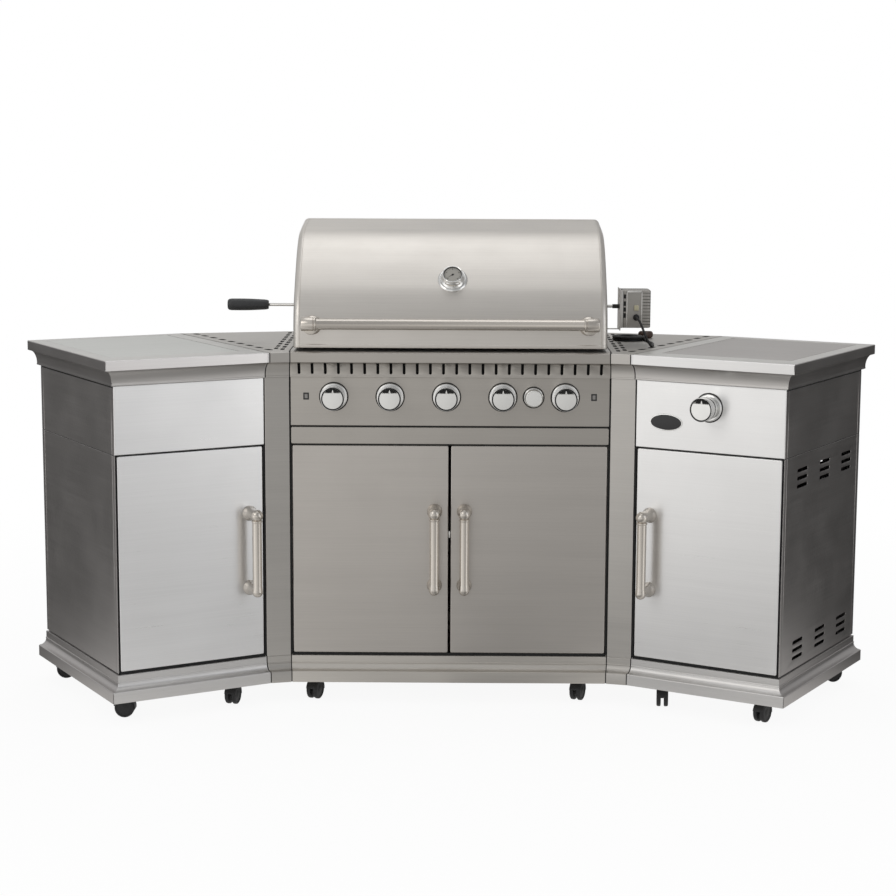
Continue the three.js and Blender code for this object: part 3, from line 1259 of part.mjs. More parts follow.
/** The frame of a side cabinet: x runs outward and y to the rear. */
function sideFrame(side) {
  const turn = -side * THREE.MathUtils.degToRad(SIDE_TURN);
  return new THREE.Matrix4().makeTranslation(side * WEDGE_END.x, WEDGE_END.y, 0)
    .multiply(new THREE.Matrix4().makeRotationZ(turn));
}

// Corner units
function cornerUnit(parent, name, side) {
  const cornice = shell(
    wedgeOutline, corniceLevels(),
    clipped(corniceLevels(SHEET), CORNICE_BOTTOM - OVERRUN, DECK_BOTTOM),
    { rear: REAR_OVERHANG, sideOut: false, inset: SHEET },
  );
  const postRear = POST_DEPTH - CABINET_DEPTH;
  const outer = wedgeOutline({ front: PANEL_PROUD, rear: postRear, inset: FIT });
  const inner = wedgeOutline({
    front: PANEL_PROUD - SHEET, rear: postRear + OVERRUN, inset: SHEET + FIT,
  });
  const post = cut(
    prism('z', outer, PLINTH_TOP - OVERRUN, CORNICE_BOTTOM + LIP_HEIGHT),
    prism('z', inner, PLINTH_BOTTOM, WORKTOP_HEIGHT),
  );
  const skirt = cut(
    loft(plinthLevels().map(([z, out]) => ({
      z, outline: wedgeOutline({ front: out, rear: postRear, inset: 0 }),
    }))),
    loft(clipped(plinthLevels(SHEET), PLINTH_BOTTOM - OVERRUN, PLINTH_TOP + OVERRUN)
      .map(([z, out]) => ({
        z, outline: wedgeOutline({ front: out, rear: postRear + OVERRUN, inset: SHEET }),
      }))),
  );
  const slots = [];
  const outerLine = direction(SIDE_TURN);
  const across = new THREE.Vector2(-outerLine.y, outerLine.x);
  const slotEnd = CABINET_DEPTH - WEDGE_SLOT_LENGTH;
  for (let i = 0; i < 12; i += 1) {
    const along = WEDGE_SLOT_LENGTH * 1.25 + i * WEDGE_SLOT_PITCH;
    const at = WEDGE_END.clone().addScaledVector(outerLine, along)
      .addScaledVector(across, WEDGE_SLOT_INSET);
    if (along < slotEnd) {
      slots.push(deckSlot(at.x, at.y, WEDGE_SLOT_LENGTH, WEDGE_SLOT_WIDTH, -SIDE_TURN));
    }
  }
  for (const row of [0, 1]) {
    for (let i = 0; i < 9; i += 1) {
      const y = WEDGE_SLOT_LENGTH * 1.4 + (i + row * 0.35) * HOOD_SLOT_PITCH;
      const x = CENTRE_HALF + HOOD_SLOT_INSET + row * HOOD_SLOT_ROW;
      if (y < slotEnd) slots.push(deckSlot(x, y, WEDGE_SLOT_LENGTH, HOOD_SLOT_WIDTH));
    }
  }
  const lugReach = UNIT_SEAM - FIT;
  const lugs = [EAR_WIDTH * 1.5, CABINET_DEPTH - EAR_WIDTH * 1.5].flatMap((y) => {
    const [bottom, top] = [CORNICE_BOTTOM + FLANGE, CORNICE_BOTTOM + FLANGE * 3];
    const seam = CENTRE_HALF + HALF_SEAM;
    return [
      block(seam - lugReach, seam + SHEET / 2, y - FLANGE, y + FLANGE, bottom, top),
      block(
        -HALF_SEAM - SHEET / 2, lugReach - HALF_SEAM, y - FLANGE, y + FLANGE, bottom, top,
        sideFrame(1),
      ),
    ];
  });
  piece(name, join(cut(join(cornice, post, skirt), ...slots), ...lugs), 'brushed', parent, side);
}

// Side cabinets, drawn for the right hand: x runs outward, y to the rear
function sideUnit(parent, hand, side) {
  const group = new THREE.Group();
  group.position.set(side * WEDGE_END.x, WEDGE_END.y, 0);
  group.rotation.z = -side * THREE.MathUtils.degToRad(SIDE_TURN);
  parent.add(group);
  const add = (part, solid, finish) => piece(`${hand}_${part}`, solid, finish, group, side);

  const inner = HALF_SEAM;
  const doorInner = inner + STILE_WIDTH + DOOR_SIDE_GAP;
  const doorOuter = SIDE_WIDTH - STILE_WIDTH - DOOR_SIDE_GAP;
  const pivotX = doorOuter - DOOR_PIVOT_INSET;
  add('base', cut(plinthBase(sideOutline, true), ...pivotHoles(pivotX)), 'brushed');
  add('carcass', sideCarcass(inner, pivotX, side), 'pale');
  add('door', doorPan(doorInner, doorOuter, pivotX), 'pale');
  add('handle', pullHandle(SIDE_PULL_INSET), 'nickel');

  const lid = {
    x0: LID_INNER_INSET, x1: SIDE_WIDTH - LID_OUTER_INSET,
    y0: LID_FRONT_INSET, y1: CABINET_DEPTH - LID_REAR_INSET,
  };
  add('worktop', sideWorktop(lid), 'brushed');
  const cover = cut(
    block(lid.x0, lid.x1, lid.y0, lid.y1, WORKTOP_HEIGHT - LID_HEIGHT, WORKTOP_HEIGHT),
    block(
      lid.x0 + LID_SKIN, lid.x1 - LID_SKIN, lid.y0 + LID_SKIN, lid.y1 - LID_SKIN,
      WORKTOP_HEIGHT - LID_HEIGHT - OVERRUN, WORKTOP_HEIGHT - LID_SKIN,
    ),
  );
  add('lid', cover, 'pale');
  if (side < 0) add('basin', basin(lid), 'brushed');
  else {
    add('burner', sideBurner(lid), 'enamel').name = 'side_burner';
    const turn = piece('side_knob', knob(LID_FRONT_INSET - FIT), 'chrome', group);
    turn.position.set(SIDE_WIDTH / 2, 0, SIDE_KNOB_HEIGHT);
  }
}

const VENT_COLUMNS = [-1, 0, 1];

function sideCarcass(inner, pivotX, side) {
  const bottom = PLINTH_TOP + FIT;
  const top = CORNICE_BOTTOM - FIT;
  const shadow = top - LIP_HEIGHT;
  const outerInside = SIDE_WIDTH - STILE_WIDTH;
  const outerWall = join(
    block(outerInside, SIDE_WIDTH, 0, CABINET_DEPTH, bottom, shadow),
    block(outerInside, SIDE_WIDTH, 0, STILE_DEPTH, bottom, top),
    block(outerInside, SIDE_WIDTH, CABINET_DEPTH - STILE_DEPTH, CABINET_DEPTH, bottom, top),
  );
  const innerWall = block(inner, inner + STILE_WIDTH, 0, CABINET_DEPTH, bottom, top);
  const rear = block(inner, SIDE_WIDTH, CABINET_DEPTH - SHEET, CABINET_DEPTH, bottom, top);
  const front = block(inner, SIDE_WIDTH, 0, SHEET, SPLIT_HEIGHT, top);
  const shelf = block(inner, SIDE_WIDTH, 0, STILE_DEPTH, SPLIT_HEIGHT, SPLIT_HEIGHT + SHEET);
  const seam = block(
    SIDE_WIDTH - SHEET / 2, SIDE_WIDTH + OVERRUN, STILE_DEPTH, CABINET_DEPTH - STILE_DEPTH,
    SPLIT_HEIGHT - SHEET, SPLIT_HEIGHT,
  );
  const middle = CABINET_DEPTH / 2;
  const vents = side < 0 ? [] : [UPPER_VENT_HEIGHT, LOWER_VENT_HEIGHT].flatMap((height) => (
    VENT_COLUMNS.flatMap((column) => VENT_COLUMNS.map((row) => {
      const y = middle + FLANGE + column * VENT_COLUMN_PITCH;
      const z = height + row * VENT_PITCH;
      return block(
        outerInside - OVERRUN, SIDE_WIDTH + OVERRUN, y - VENT_LENGTH / 2,
        y + VENT_LENGTH / 2, z - VENT_HEIGHT / 2, z + VENT_HEIGHT / 2,
      );
    }))
  ));
  const rearVents = VENT_COLUMNS.flatMap((row) => [-1, 1].map((column) => {
    const x = SIDE_WIDTH / 2 + column * VENT_LENGTH;
    const z = UPPER_VENT_HEIGHT + row * VENT_PITCH;
    return block(
      x - VENT_LENGTH / 2.5, x + VENT_LENGTH / 2.5, CABINET_DEPTH - SHEET - OVERRUN,
      CABINET_DEPTH + OVERRUN, z - VENT_HEIGHT / 2, z + VENT_HEIGHT / 2,
    );
  }));
  const frame = join(outerWall, innerWall, rear, front, shelf);
  const cuts = [seam, ...vents, ...rearVents, ...pivotHoles(pivotX)];
  if (side < 0) return cut(frame, ...cuts);
  const knobZ = SIDE_KNOB_HEIGHT;
  const knobX = SIDE_WIDTH / 2;
  const ring = bezel(knobX, FIT, knobZ, BEZEL_RADIUS);
  const hole = bar('y', [knobZ, knobX], -BEZEL_HEIGHT - OVERRUN, SHEET + OVERRUN, BEZEL_BORE, 16);
  return cut(join(frame, ring), ...cuts, hole);
}

function sideWorktop(lid) {
  const body = shell(
    sideOutline, corniceLevels(),
    clipped(corniceLevels(SHEET), CORNICE_BOTTOM - OVERRUN, DECK_BOTTOM),
    { rear: REAR_OVERHANG, sideOut: true, inset: SHEET },
  );
  const gap = FIT * 3;
  const hole = block(
    lid.x0 - gap, lid.x1 + gap, lid.y0 - gap, lid.y1 + gap, DECK_BOTTOM - OVERRUN,
    WORKTOP_HEIGHT + OVERRUN,
  );
  const ledgeTop = WORKTOP_HEIGHT - LID_HEIGHT - SHEET - FIT * 2;
  const ledge = cut(
    block(
      lid.x0 - gap - SHEET, lid.x1 + gap + SHEET, lid.y0 - gap - SHEET, lid.y1 + gap + SHEET,
      ledgeTop - SHEET, DECK_BOTTOM + SHEET / 2,
    ),
    block(
      lid.x0 - gap, lid.x1 + gap, lid.y0 - gap, lid.y1 + gap, ledgeTop,
      WORKTOP_HEIGHT + OVERRUN,
    ),
    block(
      lid.x0 + LEDGE_WIDTH, lid.x1 - LEDGE_WIDTH, lid.y0 + LEDGE_WIDTH, lid.y1 - LEDGE_WIDTH,
      ledgeTop - SHEET - OVERRUN, WORKTOP_HEIGHT,
    ),
  );
  const nose = SIDE_WIDTH + WORKTOP_OVERHANG;
  const fasciaBottom = WORKTOP_HEIGHT - FASCIA_HEIGHT;
  const scoop = bar(
    'x', [CABINET_DEPTH * 0.44, fasciaBottom - FASCIA_HEIGHT * 0.9], nose - LIP_OVERHANG * 2,
    nose + OVERRUN, FASCIA_HEIGHT * 1.3, 24,
  );
  return cut(join(cut(body, hole), ledge), scoop);
}

function basin(lid) {
  const flangeTop = WORKTOP_HEIGHT - LID_HEIGHT - FIT;
  const rim = block(
    lid.x0 + FIT, lid.x1 - FIT, lid.y0 + FIT, lid.y1 - FIT, flangeTop - SHEET, flangeTop,
  );
  const inset = LEDGE_WIDTH + FIT * 2;
  const floor = flangeTop - BASIN_DEPTH;
  const [a, b, c, d] = [lid.x0 + inset, lid.x1 - inset, lid.y0 + inset, lid.y1 - inset];
  const tub = block(a, b, c, d, floor, flangeTop);
  const hollow = block(
    a + SHEET, b - SHEET, c + SHEET, d - SHEET, floor + SHEET, flangeTop + OVERRUN,
  );
  const drainX = (a + b) / 2;
  const drainY = (c + d) / 2;
  const drain = bar(
    'z', [drainX, drainY], floor - FLANGE * 2, floor + SHEET / 2, FLANGE * 1.5, 18,
  );
  const bore = bar('z', [drainX, drainY], floor - FLANGE * 3, floor + OVERRUN, FLANGE, 18);
  return cut(join(rim, tub, drain), hollow, bore);
}

function sideBurner(lid) {
  const flangeTop = WORKTOP_HEIGHT - LID_HEIGHT - FIT;
  const inset = LEDGE_WIDTH + FIT * 2;
  const floor = flangeTop - BURNER_PAN_DEPTH;
  const [a, b, c, d] = [lid.x0 + inset, lid.x1 - inset, lid.y0 + inset, lid.y1 - inset];
  const rim = block(
    lid.x0 + FIT, lid.x1 - FIT, lid.y0 + FIT, lid.y1 - FIT, flangeTop - SHEET, flangeTop,
  );
  const pan = cut(
    join(rim, block(a, b, c, d, floor, flangeTop)),
    block(a + SHEET, b - SHEET, c + SHEET, d - SHEET, floor + SHEET, flangeTop + OVERRUN),
  );
  const [x, y] = [(a + b) / 2, (c + d) / 2];
  const head = join(
    bar('z', [x, y], floor, floor + BURNER_PAN_DEPTH * 0.45, RING_RADIUS * 0.5, 12),
    bar('z', [x, y], floor + BURNER_PAN_DEPTH * 0.3, floor + BURNER_PAN_DEPTH * 0.6,
      RING_RADIUS, 20),
  );
  const gridTop = flangeTop - FIT * 2;
  const bars = [-1, 1].flatMap((s) => [
    block(
      x + s * RING_RADIUS * 0.8 - GRATE_BAR / 2, x + s * RING_RADIUS * 0.8 + GRATE_BAR / 2,
      c + SHEET / 2, d - SHEET / 2, gridTop - GRATE_BAR, gridTop,
    ),
    block(
      a + SHEET / 2, b - SHEET / 2, y + s * RING_RADIUS * 0.8 - GRATE_BAR / 2,
      y + s * RING_RADIUS * 0.8 + GRATE_BAR / 2, gridTop - GRATE_BAR + FIT, gridTop - FIT,
    ),
  ]);
  const valveX = SIDE_WIDTH / 2;
  const valve = block(
    valveX - FLANGE, valveX + FLANGE, LID_FRONT_INSET, c + FLANGE,
    SIDE_KNOB_HEIGHT - FLANGE, floor + SHEET / 2,
  );
  return join(pan, head, valve, ...bars);
}

// Casters
/** A twin wheel caster that trails on -X behind its swivel. The wheels have a
 *  flat under the axle, where they stand on the floor. */
function caster() {
  const sides = CASTER_SIDES;
  const radius = WHEEL_DIAMETER / 2;
  const plateTop = PLINTH_BOTTOM - FIT;
  const core = WHEEL_WIDTH * 0.7;
  const round = radius / Math.cos(Math.PI / sides);
  const wheels = [-1, 1].map((s) => {
    const [a, b] = [s * (core / 2), s * (core / 2 + WHEEL_WIDTH)].sort((p, q) => p - q);
    const phase = QUARTER_TURN + Math.PI / sides;
    return bar('y', [radius, -CASTER_TRAIL], a, b, round, sides, phase);
  });
  const axle = bar('y', [radius, -CASTER_TRAIL], -core, core, radius * 0.5, 8);
  const hood = block(
    -CASTER_TRAIL - SHEET / 2, WHEEL_WIDTH * 0.8, -core / 2 - FIT, core / 2 + FIT,
    radius * 1.06, plateTop - SHEET / 2,
  );
  const stem = bar('z', [0, 0], radius * 1.1, plateTop - SHEET / 2, WHEEL_WIDTH * 0.8, 8);
  const plate = block(
    -CASTER_PLATE / 2, CASTER_PLATE / 2, -CASTER_PLATE / 2, CASTER_PLATE / 2,
    plateTop - SHEET, plateTop,
  );
  return join(...wheels, axle, hood, stem, plate);
}

function casters(parent) {
  const places = [];
  const front = CASTER_INSET;
  const rear = CABINET_DEPTH - CASTER_INSET;
  const centreX = CENTRE_HALF - CASTER_INSET - FLANGE;
  for (const [name, turn] of Object.entries(CASTER_DEGREES.centre)) {
    const y = name.startsWith('front') ? front : rear;
    const x = name.endsWith('left') ? -centreX : centreX;
    places.push({ name: `centre_${name}`, x, y, turn });
  }
  for (const [hand, side] of [['left', -1], ['right', 1]]) {
    const toRear = direction(SIDE_TURN);
    for (const [name, turn] of Object.entries(CASTER_DEGREES[hand])) {
      const y = name.startsWith('front') ? front : rear;
      const outer = name.endsWith(hand);
      const x = outer ? SIDE_WIDTH - CASTER_INSET : CASTER_INSET + FLANGE;
      places.push({
        name: `${hand}_${name}`,
        x: side * (WEDGE_END.x + x * toRear.y + y * toRear.x),
        y: WEDGE_END.y - x * toRear.x + y * toRear.y,
        turn,
      });
    }
  }
  for (const { name, x, y, turn } of places) {
    const wheel = piece(`${name}_caster`, caster(), 'plastic', parent);
    wheel.position.set(x, y, 0);
    wheel.rotation.z = THREE.MathUtils.degToRad(turn);
  }
}

const placed = new THREE.Group();
island.add(placed);
centreUnit(placed);
hoodUnit(placed);
rotisserie(placed);
motorLead(placed);
cornerUnit(placed, 'left_corner', -1);
cornerUnit(placed, 'right_corner', 1);
sideUnit(placed, 'left', -1);
sideUnit(placed, 'right', 1);
casters(placed);

// The origin is on the floor, under the middle of the whole island
const frontReach = (() => {
  const corner = new THREE.Vector2(SIDE_WIDTH + WORKTOP_OVERHANG, -WORKTOP_OVERHANG);
  const toRear = direction(SIDE_TURN);
  return WEDGE_END.y - corner.x * toRear.x + corner.y * toRear.y;
})();
const rearReach = CABINET_DEPTH + REAR_OVERHANG;
placed.position.y = -(frontReach + rearReach) / 2;

export default island;
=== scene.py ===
"""Looks of the outdoor kitchen island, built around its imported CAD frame.

A gas grill cabinet stands between two side cabinets that turn forward, joined by wedge
shaped corner units. Metres, +Z up, +X to the right of someone who stands in front.
"""

from __future__ import annotations

import json
import logging
import sys
from dataclasses import dataclass, field
from enum import Enum
from functools import cache, reduce
from math import asin, atan2, cos, hypot, pi, radians, sin, tan
from typing import Callable, Iterable, Sequence

import bmesh
import bpy
import numpy as np
from mathutils import Matrix, Vector
from mathutils.geometry import delaunay_2d_cdt


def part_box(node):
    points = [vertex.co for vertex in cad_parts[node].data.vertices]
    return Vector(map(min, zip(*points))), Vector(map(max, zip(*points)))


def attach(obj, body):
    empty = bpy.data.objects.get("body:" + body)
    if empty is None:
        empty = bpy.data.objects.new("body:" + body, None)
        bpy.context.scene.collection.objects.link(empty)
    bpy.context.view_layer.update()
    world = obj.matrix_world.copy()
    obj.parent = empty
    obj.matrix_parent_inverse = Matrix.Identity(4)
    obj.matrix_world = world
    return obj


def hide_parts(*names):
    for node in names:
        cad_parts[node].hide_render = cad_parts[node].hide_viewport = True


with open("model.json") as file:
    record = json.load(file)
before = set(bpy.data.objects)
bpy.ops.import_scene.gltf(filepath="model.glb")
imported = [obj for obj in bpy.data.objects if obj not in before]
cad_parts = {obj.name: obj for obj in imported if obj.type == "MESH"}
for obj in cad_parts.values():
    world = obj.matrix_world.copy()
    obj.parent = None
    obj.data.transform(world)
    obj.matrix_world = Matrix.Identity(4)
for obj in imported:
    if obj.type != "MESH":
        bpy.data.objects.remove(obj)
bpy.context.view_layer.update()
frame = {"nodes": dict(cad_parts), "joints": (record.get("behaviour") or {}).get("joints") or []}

LOG = logging.getLogger("island")
Array = np.ndarray
Point = tuple[float, float, float]
Socket = bpy.types.NodeSocket
Levels = list[tuple[float, float]]
TURN = 2 * pi
FRONT = (0, -1, 0)
REAR = (0, 1, 0)
UP = (0, 0, 1)
WELD = 2e-6


# Surfaces
class Hand(Enum):
    """Which side of the island a piece belongs to."""

    LEFT = -1
    RIGHT = 1

    @property
    def word(self) -> str:
        """The side as a word for names."""
        return self.name.lower()


@dataclass(frozen=True)
class Placing:
    """A place and the directions of its own three axes, in the row frame."""

    origin: Point = (0.0, 0.0, 0.0)
    x: Point = (1.0, 0.0, 0.0)
    y: Point = (0.0, 1.0, 0.0)
    z: Point = (0.0, 0.0, 1.0)

    def carry(self, points: Array) -> Array:
        """Points given on the three axes, taken to the row frame."""
        return np.asarray(points, float) @ np.array([self.x, self.y, self.z]) + self.origin


def facing_front(x: float, y: float, z: float) -> Placing:
    """A placing whose third axis points to the front."""
    return Placing((x, y, z), (1, 0, 0), UP, FRONT)


def facing_rear(x: float, y: float, z: float) -> Placing:
    """A placing whose third axis points to the rear."""
    return Placing((x, y, z), (1, 0, 0), (0, 0, -1), REAR)


FORWARD = facing_front(0, 0, 0)


def lengthwise(y: float, z: float) -> Placing:
    """A placing whose third axis points along +X."""
    return Placing((0, y, z), REAR, UP, (1, 0, 0))


@dataclass
class Surface:
    """Points and the faces between them, before they become a mesh."""

    points: Array
    faces: list[Array]

    def __add__(self, other: Surface) -> Surface:
        """Both surfaces as one."""
        moved = [faces + len(self.points) for faces in other.faces]
        return Surface(np.vstack([self.points, other.points]), [*self.faces, *moved])

    def carried(self, placing: Placing) -> Surface:
        """The surface taken from a placing's axes to the row frame."""
        return Surface(placing.carry(self.points), self.faces)

    def mirrored(self, hand: Hand) -> Surface:
        """The surface as it is on the right, or its mirror image on the left."""
        return Surface(self.points * np.array([hand.value, 1.0, 1.0]), self.faces)


def joined(parts: Iterable[Surface]) -> Surface:
    """Several surfaces as one."""
    return reduce(lambda first, other: first + other, parts)


def grid_faces(rows: int, columns: int, wrap: bool = False) -> Array:
    """Corner numbers of the quads of a grid of points, row after row.

    Args:
        rows: Points from the first row to the last.
        columns: Points in a row.
        wrap: Whether the last column joins the first.

    Returns:
        One line of four numbers for each quad.
    """
    row, column = np.meshgrid(
        np.arange(rows - 1), np.arange(columns if wrap else columns - 1), indexing="ij"
    )
    beside = (column + 1) % columns
    near, far = row * columns, (row + 1) * columns
    quads = np.stack([near + column, near + beside, far + beside, far + column], axis=-1)
    return quads.reshape(-1, 4)


def lofted(loops: Array, cap_first: bool = False, cap_last: bool = False) -> Surface:
    """A skin over closed loops of equal count.

    Args:
        loops: Loops, their corners and three coordinates.
        cap_first: Whether the first loop is closed by a flat face.
        cap_last: Whether the last loop is closed by a flat face.

    Returns:
        The skin.
    """
    rows, columns, _ = loops.shape
    faces = [grid_faces(rows, columns, wrap=True)]
    if cap_first:
        faces.append(np.arange(columns)[::-1].reshape(1, -1))
    if cap_last:
        faces.append((np.arange(columns) + (rows - 1) * columns).reshape(1, -1))
    return Surface(loops.reshape(-1, 3), faces)


def open_skin(loops: Array) -> Surface:
    """A skin over open lines of equal count."""
    return Surface(loops.reshape(-1, 3), [grid_faces(*loops.shape[:2])])


def revolved(profile: Sequence, placing: Placing = Placing(), sides: int = 48) -> Surface:
    """A profile turned round a placing's third axis.

    Args:
        profile: Points (r, h), which at angle a lie at (r cos a, r sin a, h).
        placing: Where the axes are.
        sides: How many steps go round.

    Returns:
        The skin.
    """
    radius, height = np.asarray(profile, float).T
    angle = np.linspace(0, TURN, sides, endpoint=False)
    loops = np.stack(
        [
            radius[:, None] * np.cos(angle),
            radius[:, None] * np.sin(angle),
            np.broadcast_to(height[:, None], (len(height), sides)),
        ],
        axis=-1,
    )
    return lofted(loops).carried(placing)


def rod(start: Point, end: Point, radius: float, sides: int = 20) -> Surface:
    """A round bar with rounded ends.

    Args:
        start: Middle of one end.
        end: Middle of the other.
        radius: Its radius.
        sides: How many steps go round.

    Returns:
        The closed bar.
    """
    axis = np.subtract(end, start)
    length = float(np.linalg.norm(axis))
    axis = axis / length
    side = np.cross(axis, (0, 0, 1) if abs(axis[2]) < 0.9 else (1, 0, 0))
    side = side / np.linalg.norm(side)
    chamfer = min(radius * 0.25, length * 0.2)
    profile = [
        (0, 0), (radius - chamfer, 0), (radius, chamfer), (radius, length - chamfer),
        (radius - chamfer, length), (0, length),
    ]
    placing = Placing(tuple(start), tuple(side), tuple(np.cross(axis, side)), tuple(axis))
    return revolved(profile, placing, sides)


def arc(
    centre: Sequence, radius: float | Sequence, start: float, end: float, steps: int
) -> Array:
    """Points on a circle or an ellipse.

    Args:
        centre: Its centre.
        radius: Its radius, or both radii of an ellipse.
        start: The first point's angle in degrees.
        end: The last point's angle.
        steps: How many steps lie between.

    Returns:
        The points, both ends included.
    """
    angle = np.radians(np.linspace(start, end, steps + 1))
    return np.add(centre, np.multiply(radius, np.column_stack([np.cos(angle), np.sin(angle)])))


def rounded_rectangle(
    x0: float, x1: float, y0: float, y1: float, radius: float, steps: int = 4
) -> Array:
    """A rectangle's outline with an arc at each corner.

    Args:
        x0: Left side.
        x1: Right side.
        y0: Lower side.
        y1: Upper side.
        radius: Radius of the corners, at most half a side.
        steps: How many steps each corner has.

    Returns:
        The outline, counterclockwise.
    """
    r = min(radius, (x1 - x0) / 2, (y1 - y0) / 2)
    return np.vstack([
        arc((x1 - r, y0 + r), r, -90, 0, steps), arc((x1 - r, y1 - r), r, 0, 90, steps),
        arc((x0 + r, y1 - r), r, 90, 180, steps), arc((x0 + r, y0 + r), r, 180, 270, steps),
    ])


def slot_outline(
    centre: Sequence, length: float, width: float, angle: float = 0.0, steps: int = 5
) -> Array:
    """The outline of a slot with round ends.

    Args:
        centre: Its middle.
        length: Its length over all.
        width: Its width.
        angle: Angle of its length to the first axis, in degrees.
        steps: How many steps each end has.

    Returns:
        The outline.
    """
    half = (length - width) / 2
    ends = np.vstack([
        arc((half, 0), width / 2, -90, 90, steps), arc((-half, 0), width / 2, 90, 270, steps)
    ])
    c, s = cos(radians(angle)), sin(radians(angle))
    return ends @ np.array([[c, s], [-s, c]]) + centre


def smooth_line(points: Sequence, per_span: int) -> Array:
    """A line through all the points: a centripetal Catmull-Rom curve, in which each span
    blends the lines through its neighbours by the square root of their distances.

    Args:
        points: The points that it passes through.
        per_span: How many steps each span gets.

    Returns:
        The points of the line, the last one included.
    """
    p = np.asarray(points, float)
    p = np.vstack([2 * p[0] - p[1], p, 2 * p[-1] - p[-2]])
    knots = np.concatenate([[0], np.cumsum(np.linalg.norm(np.diff(p, axis=0), axis=1) ** 0.5)])
    k = [knots[i:len(knots) - 3 + i, None, None] for i in range(4)]
    q = [p[i:len(p) - 3 + i, None, :] for i in range(4)]
    share = np.linspace(0, 1, per_span, endpoint=False)[None, :, None]
    t = k[1] + (k[2] - k[1]) * share

    def between(a: Array, b: Array, ta: Array, tb: Array) -> Array:
        """The line from a to b at t."""
        return (tb - t) / (tb - ta) * a + (t - ta) / (tb - ta) * b

    first = between(q[0], q[1], k[0], k[1])
    middle = between(q[1], q[2], k[1], k[2])
    last = between(q[2], q[3], k[2], k[3])
    left, right = between(first, middle, k[0], k[2]), between(middle, last, k[1], k[3])
    return np.vstack([between(left, right, k[1], k[2]).reshape(-1, p.shape[1]), p[-2]])


def tube(line: Array, radius: float | Array, sides: int = 12) -> Surface:
    """A round tube along a line: at each point a circle stands square to the line, and
    its first direction is carried on from the circle before it without twist.

    Args:
        line: The points of its middle line.
        radius: Its radius, or one for each point.
        sides: How many steps go round.

    Returns:
        The closed tube.
    """
    line = np.asarray(line, float)
    ahead = np.gradient(line, axis=0)
    ahead /= np.linalg.norm(ahead, axis=1, keepdims=True)
    side = np.cross(ahead[0], (0, 0, 1) if abs(ahead[0][2]) < 0.9 else (1, 0, 0))
    sides_of = []
    for direction in ahead:
        side = side - direction * np.dot(side, direction)
        side = side / np.linalg.norm(side)
        sides_of.append(side)
    first = np.array(sides_of)
    second = np.cross(ahead, first)
    angle = np.linspace(0, TURN, sides, endpoint=False)
    reach = np.broadcast_to(np.asarray(radius, float), (len(line),))[:, None, None]
    loops = line[:, None] + reach * (
        np.cos(angle)[None, :, None] * first[:, None]
        + np.sin(angle)[None, :, None] * second[:, None]
    )
    return lofted(loops, True, True)


def inside(points: Array, loop: Array) -> Array:
    """Which points lie inside: a line to the right of one meets the loop an odd number
    of times.

    Args:
        points: Flat points.
        loop: The corners of a closed loop.

    Returns:
        True for each point inside.
    """
    x, y = points[:, 0][:, None], points[:, 1][:, None]
    a, b = loop, np.roll(loop, -1, axis=0)
    spans = (a[:, 1] > y) != (b[:, 1] > y)
    with np.errstate(divide="ignore", invalid="ignore"):
        cross = a[:, 0] + (y - a[:, 1]) * (b[:, 0] - a[:, 0]) / (b[:, 1] - a[:, 1])
    return (spans & (x < cross)).sum(axis=1) % 2 == 1


def cut_blank(
    outline: Array, holes: Sequence[Array] = (), creases: Sequence[Array] = ()
) -> tuple[Array, Array]:
    """Triangles of a flat sheet: all the triangles between its edges, hole edges and
    crease lines, without those whose middle is outside the outline or in a hole.

    Args:
        outline: The sheet's outer edge.
        holes: The edges of its holes.
        creases: Open lines along which it may bend later.

    Returns:
        The flat points and the triangles.
    """
    points: list[Vector] = []
    edges: list[tuple[int, int]] = []
    for loop, is_closed in [
        (outline, True), *((h, True) for h in holes), *((c, False) for c in creases)
    ]:
        base, count = len(points), len(loop)
        points += [Vector(p) for p in loop]
        steps = count if is_closed else count - 1
        edges += [(base + i, base + (i + 1) % count) for i in range(steps)]
    flat, _, triangles, *_ = delaunay_2d_cdt(points, edges, [], 0, WELD)
    flat, triangles = np.array([tuple(p) for p in flat]), np.array(triangles)
    middle = flat[triangles].mean(axis=1)
    keep = inside(middle, np.asarray(outline))
    for hole in holes:
        keep &= ~inside(middle, np.asarray(hole))
    return flat, triangles[keep]


def flat_sheet(
    outline: Array, holes: Sequence[Array], place: Callable[[Array], Array],
    creases: Sequence[Array] = (),
) -> Surface:
    """A cut sheet in its place.

    Args:
        outline: The sheet's outer edge.
        holes: The edges of its holes.
        place: Takes its flat points to their place.
        creases: Open lines along which it may bend.

    Returns:
        The sheet.
    """
    flat, triangles = cut_blank(outline, holes, creases)
    return Surface(place(flat), [triangles])


def level(height: float) -> Callable[[Array], Array]:
    """Takes flat points to a height."""
    return lambda flat: np.column_stack([flat, np.full(len(flat), height)])


def upright(y: float) -> Callable[[Array], Array]:
    """Takes flat (x, z) points to a plane that faces the front."""
    return lambda flat: np.column_stack([flat[:, 0], np.full(len(flat), y), flat[:, 1]])


def sideways(x: float) -> Callable[[Array], Array]:
    """Takes flat (y, z) points to a plane that faces the side."""
    return lambda flat: np.column_stack([np.full(len(flat), x), flat])


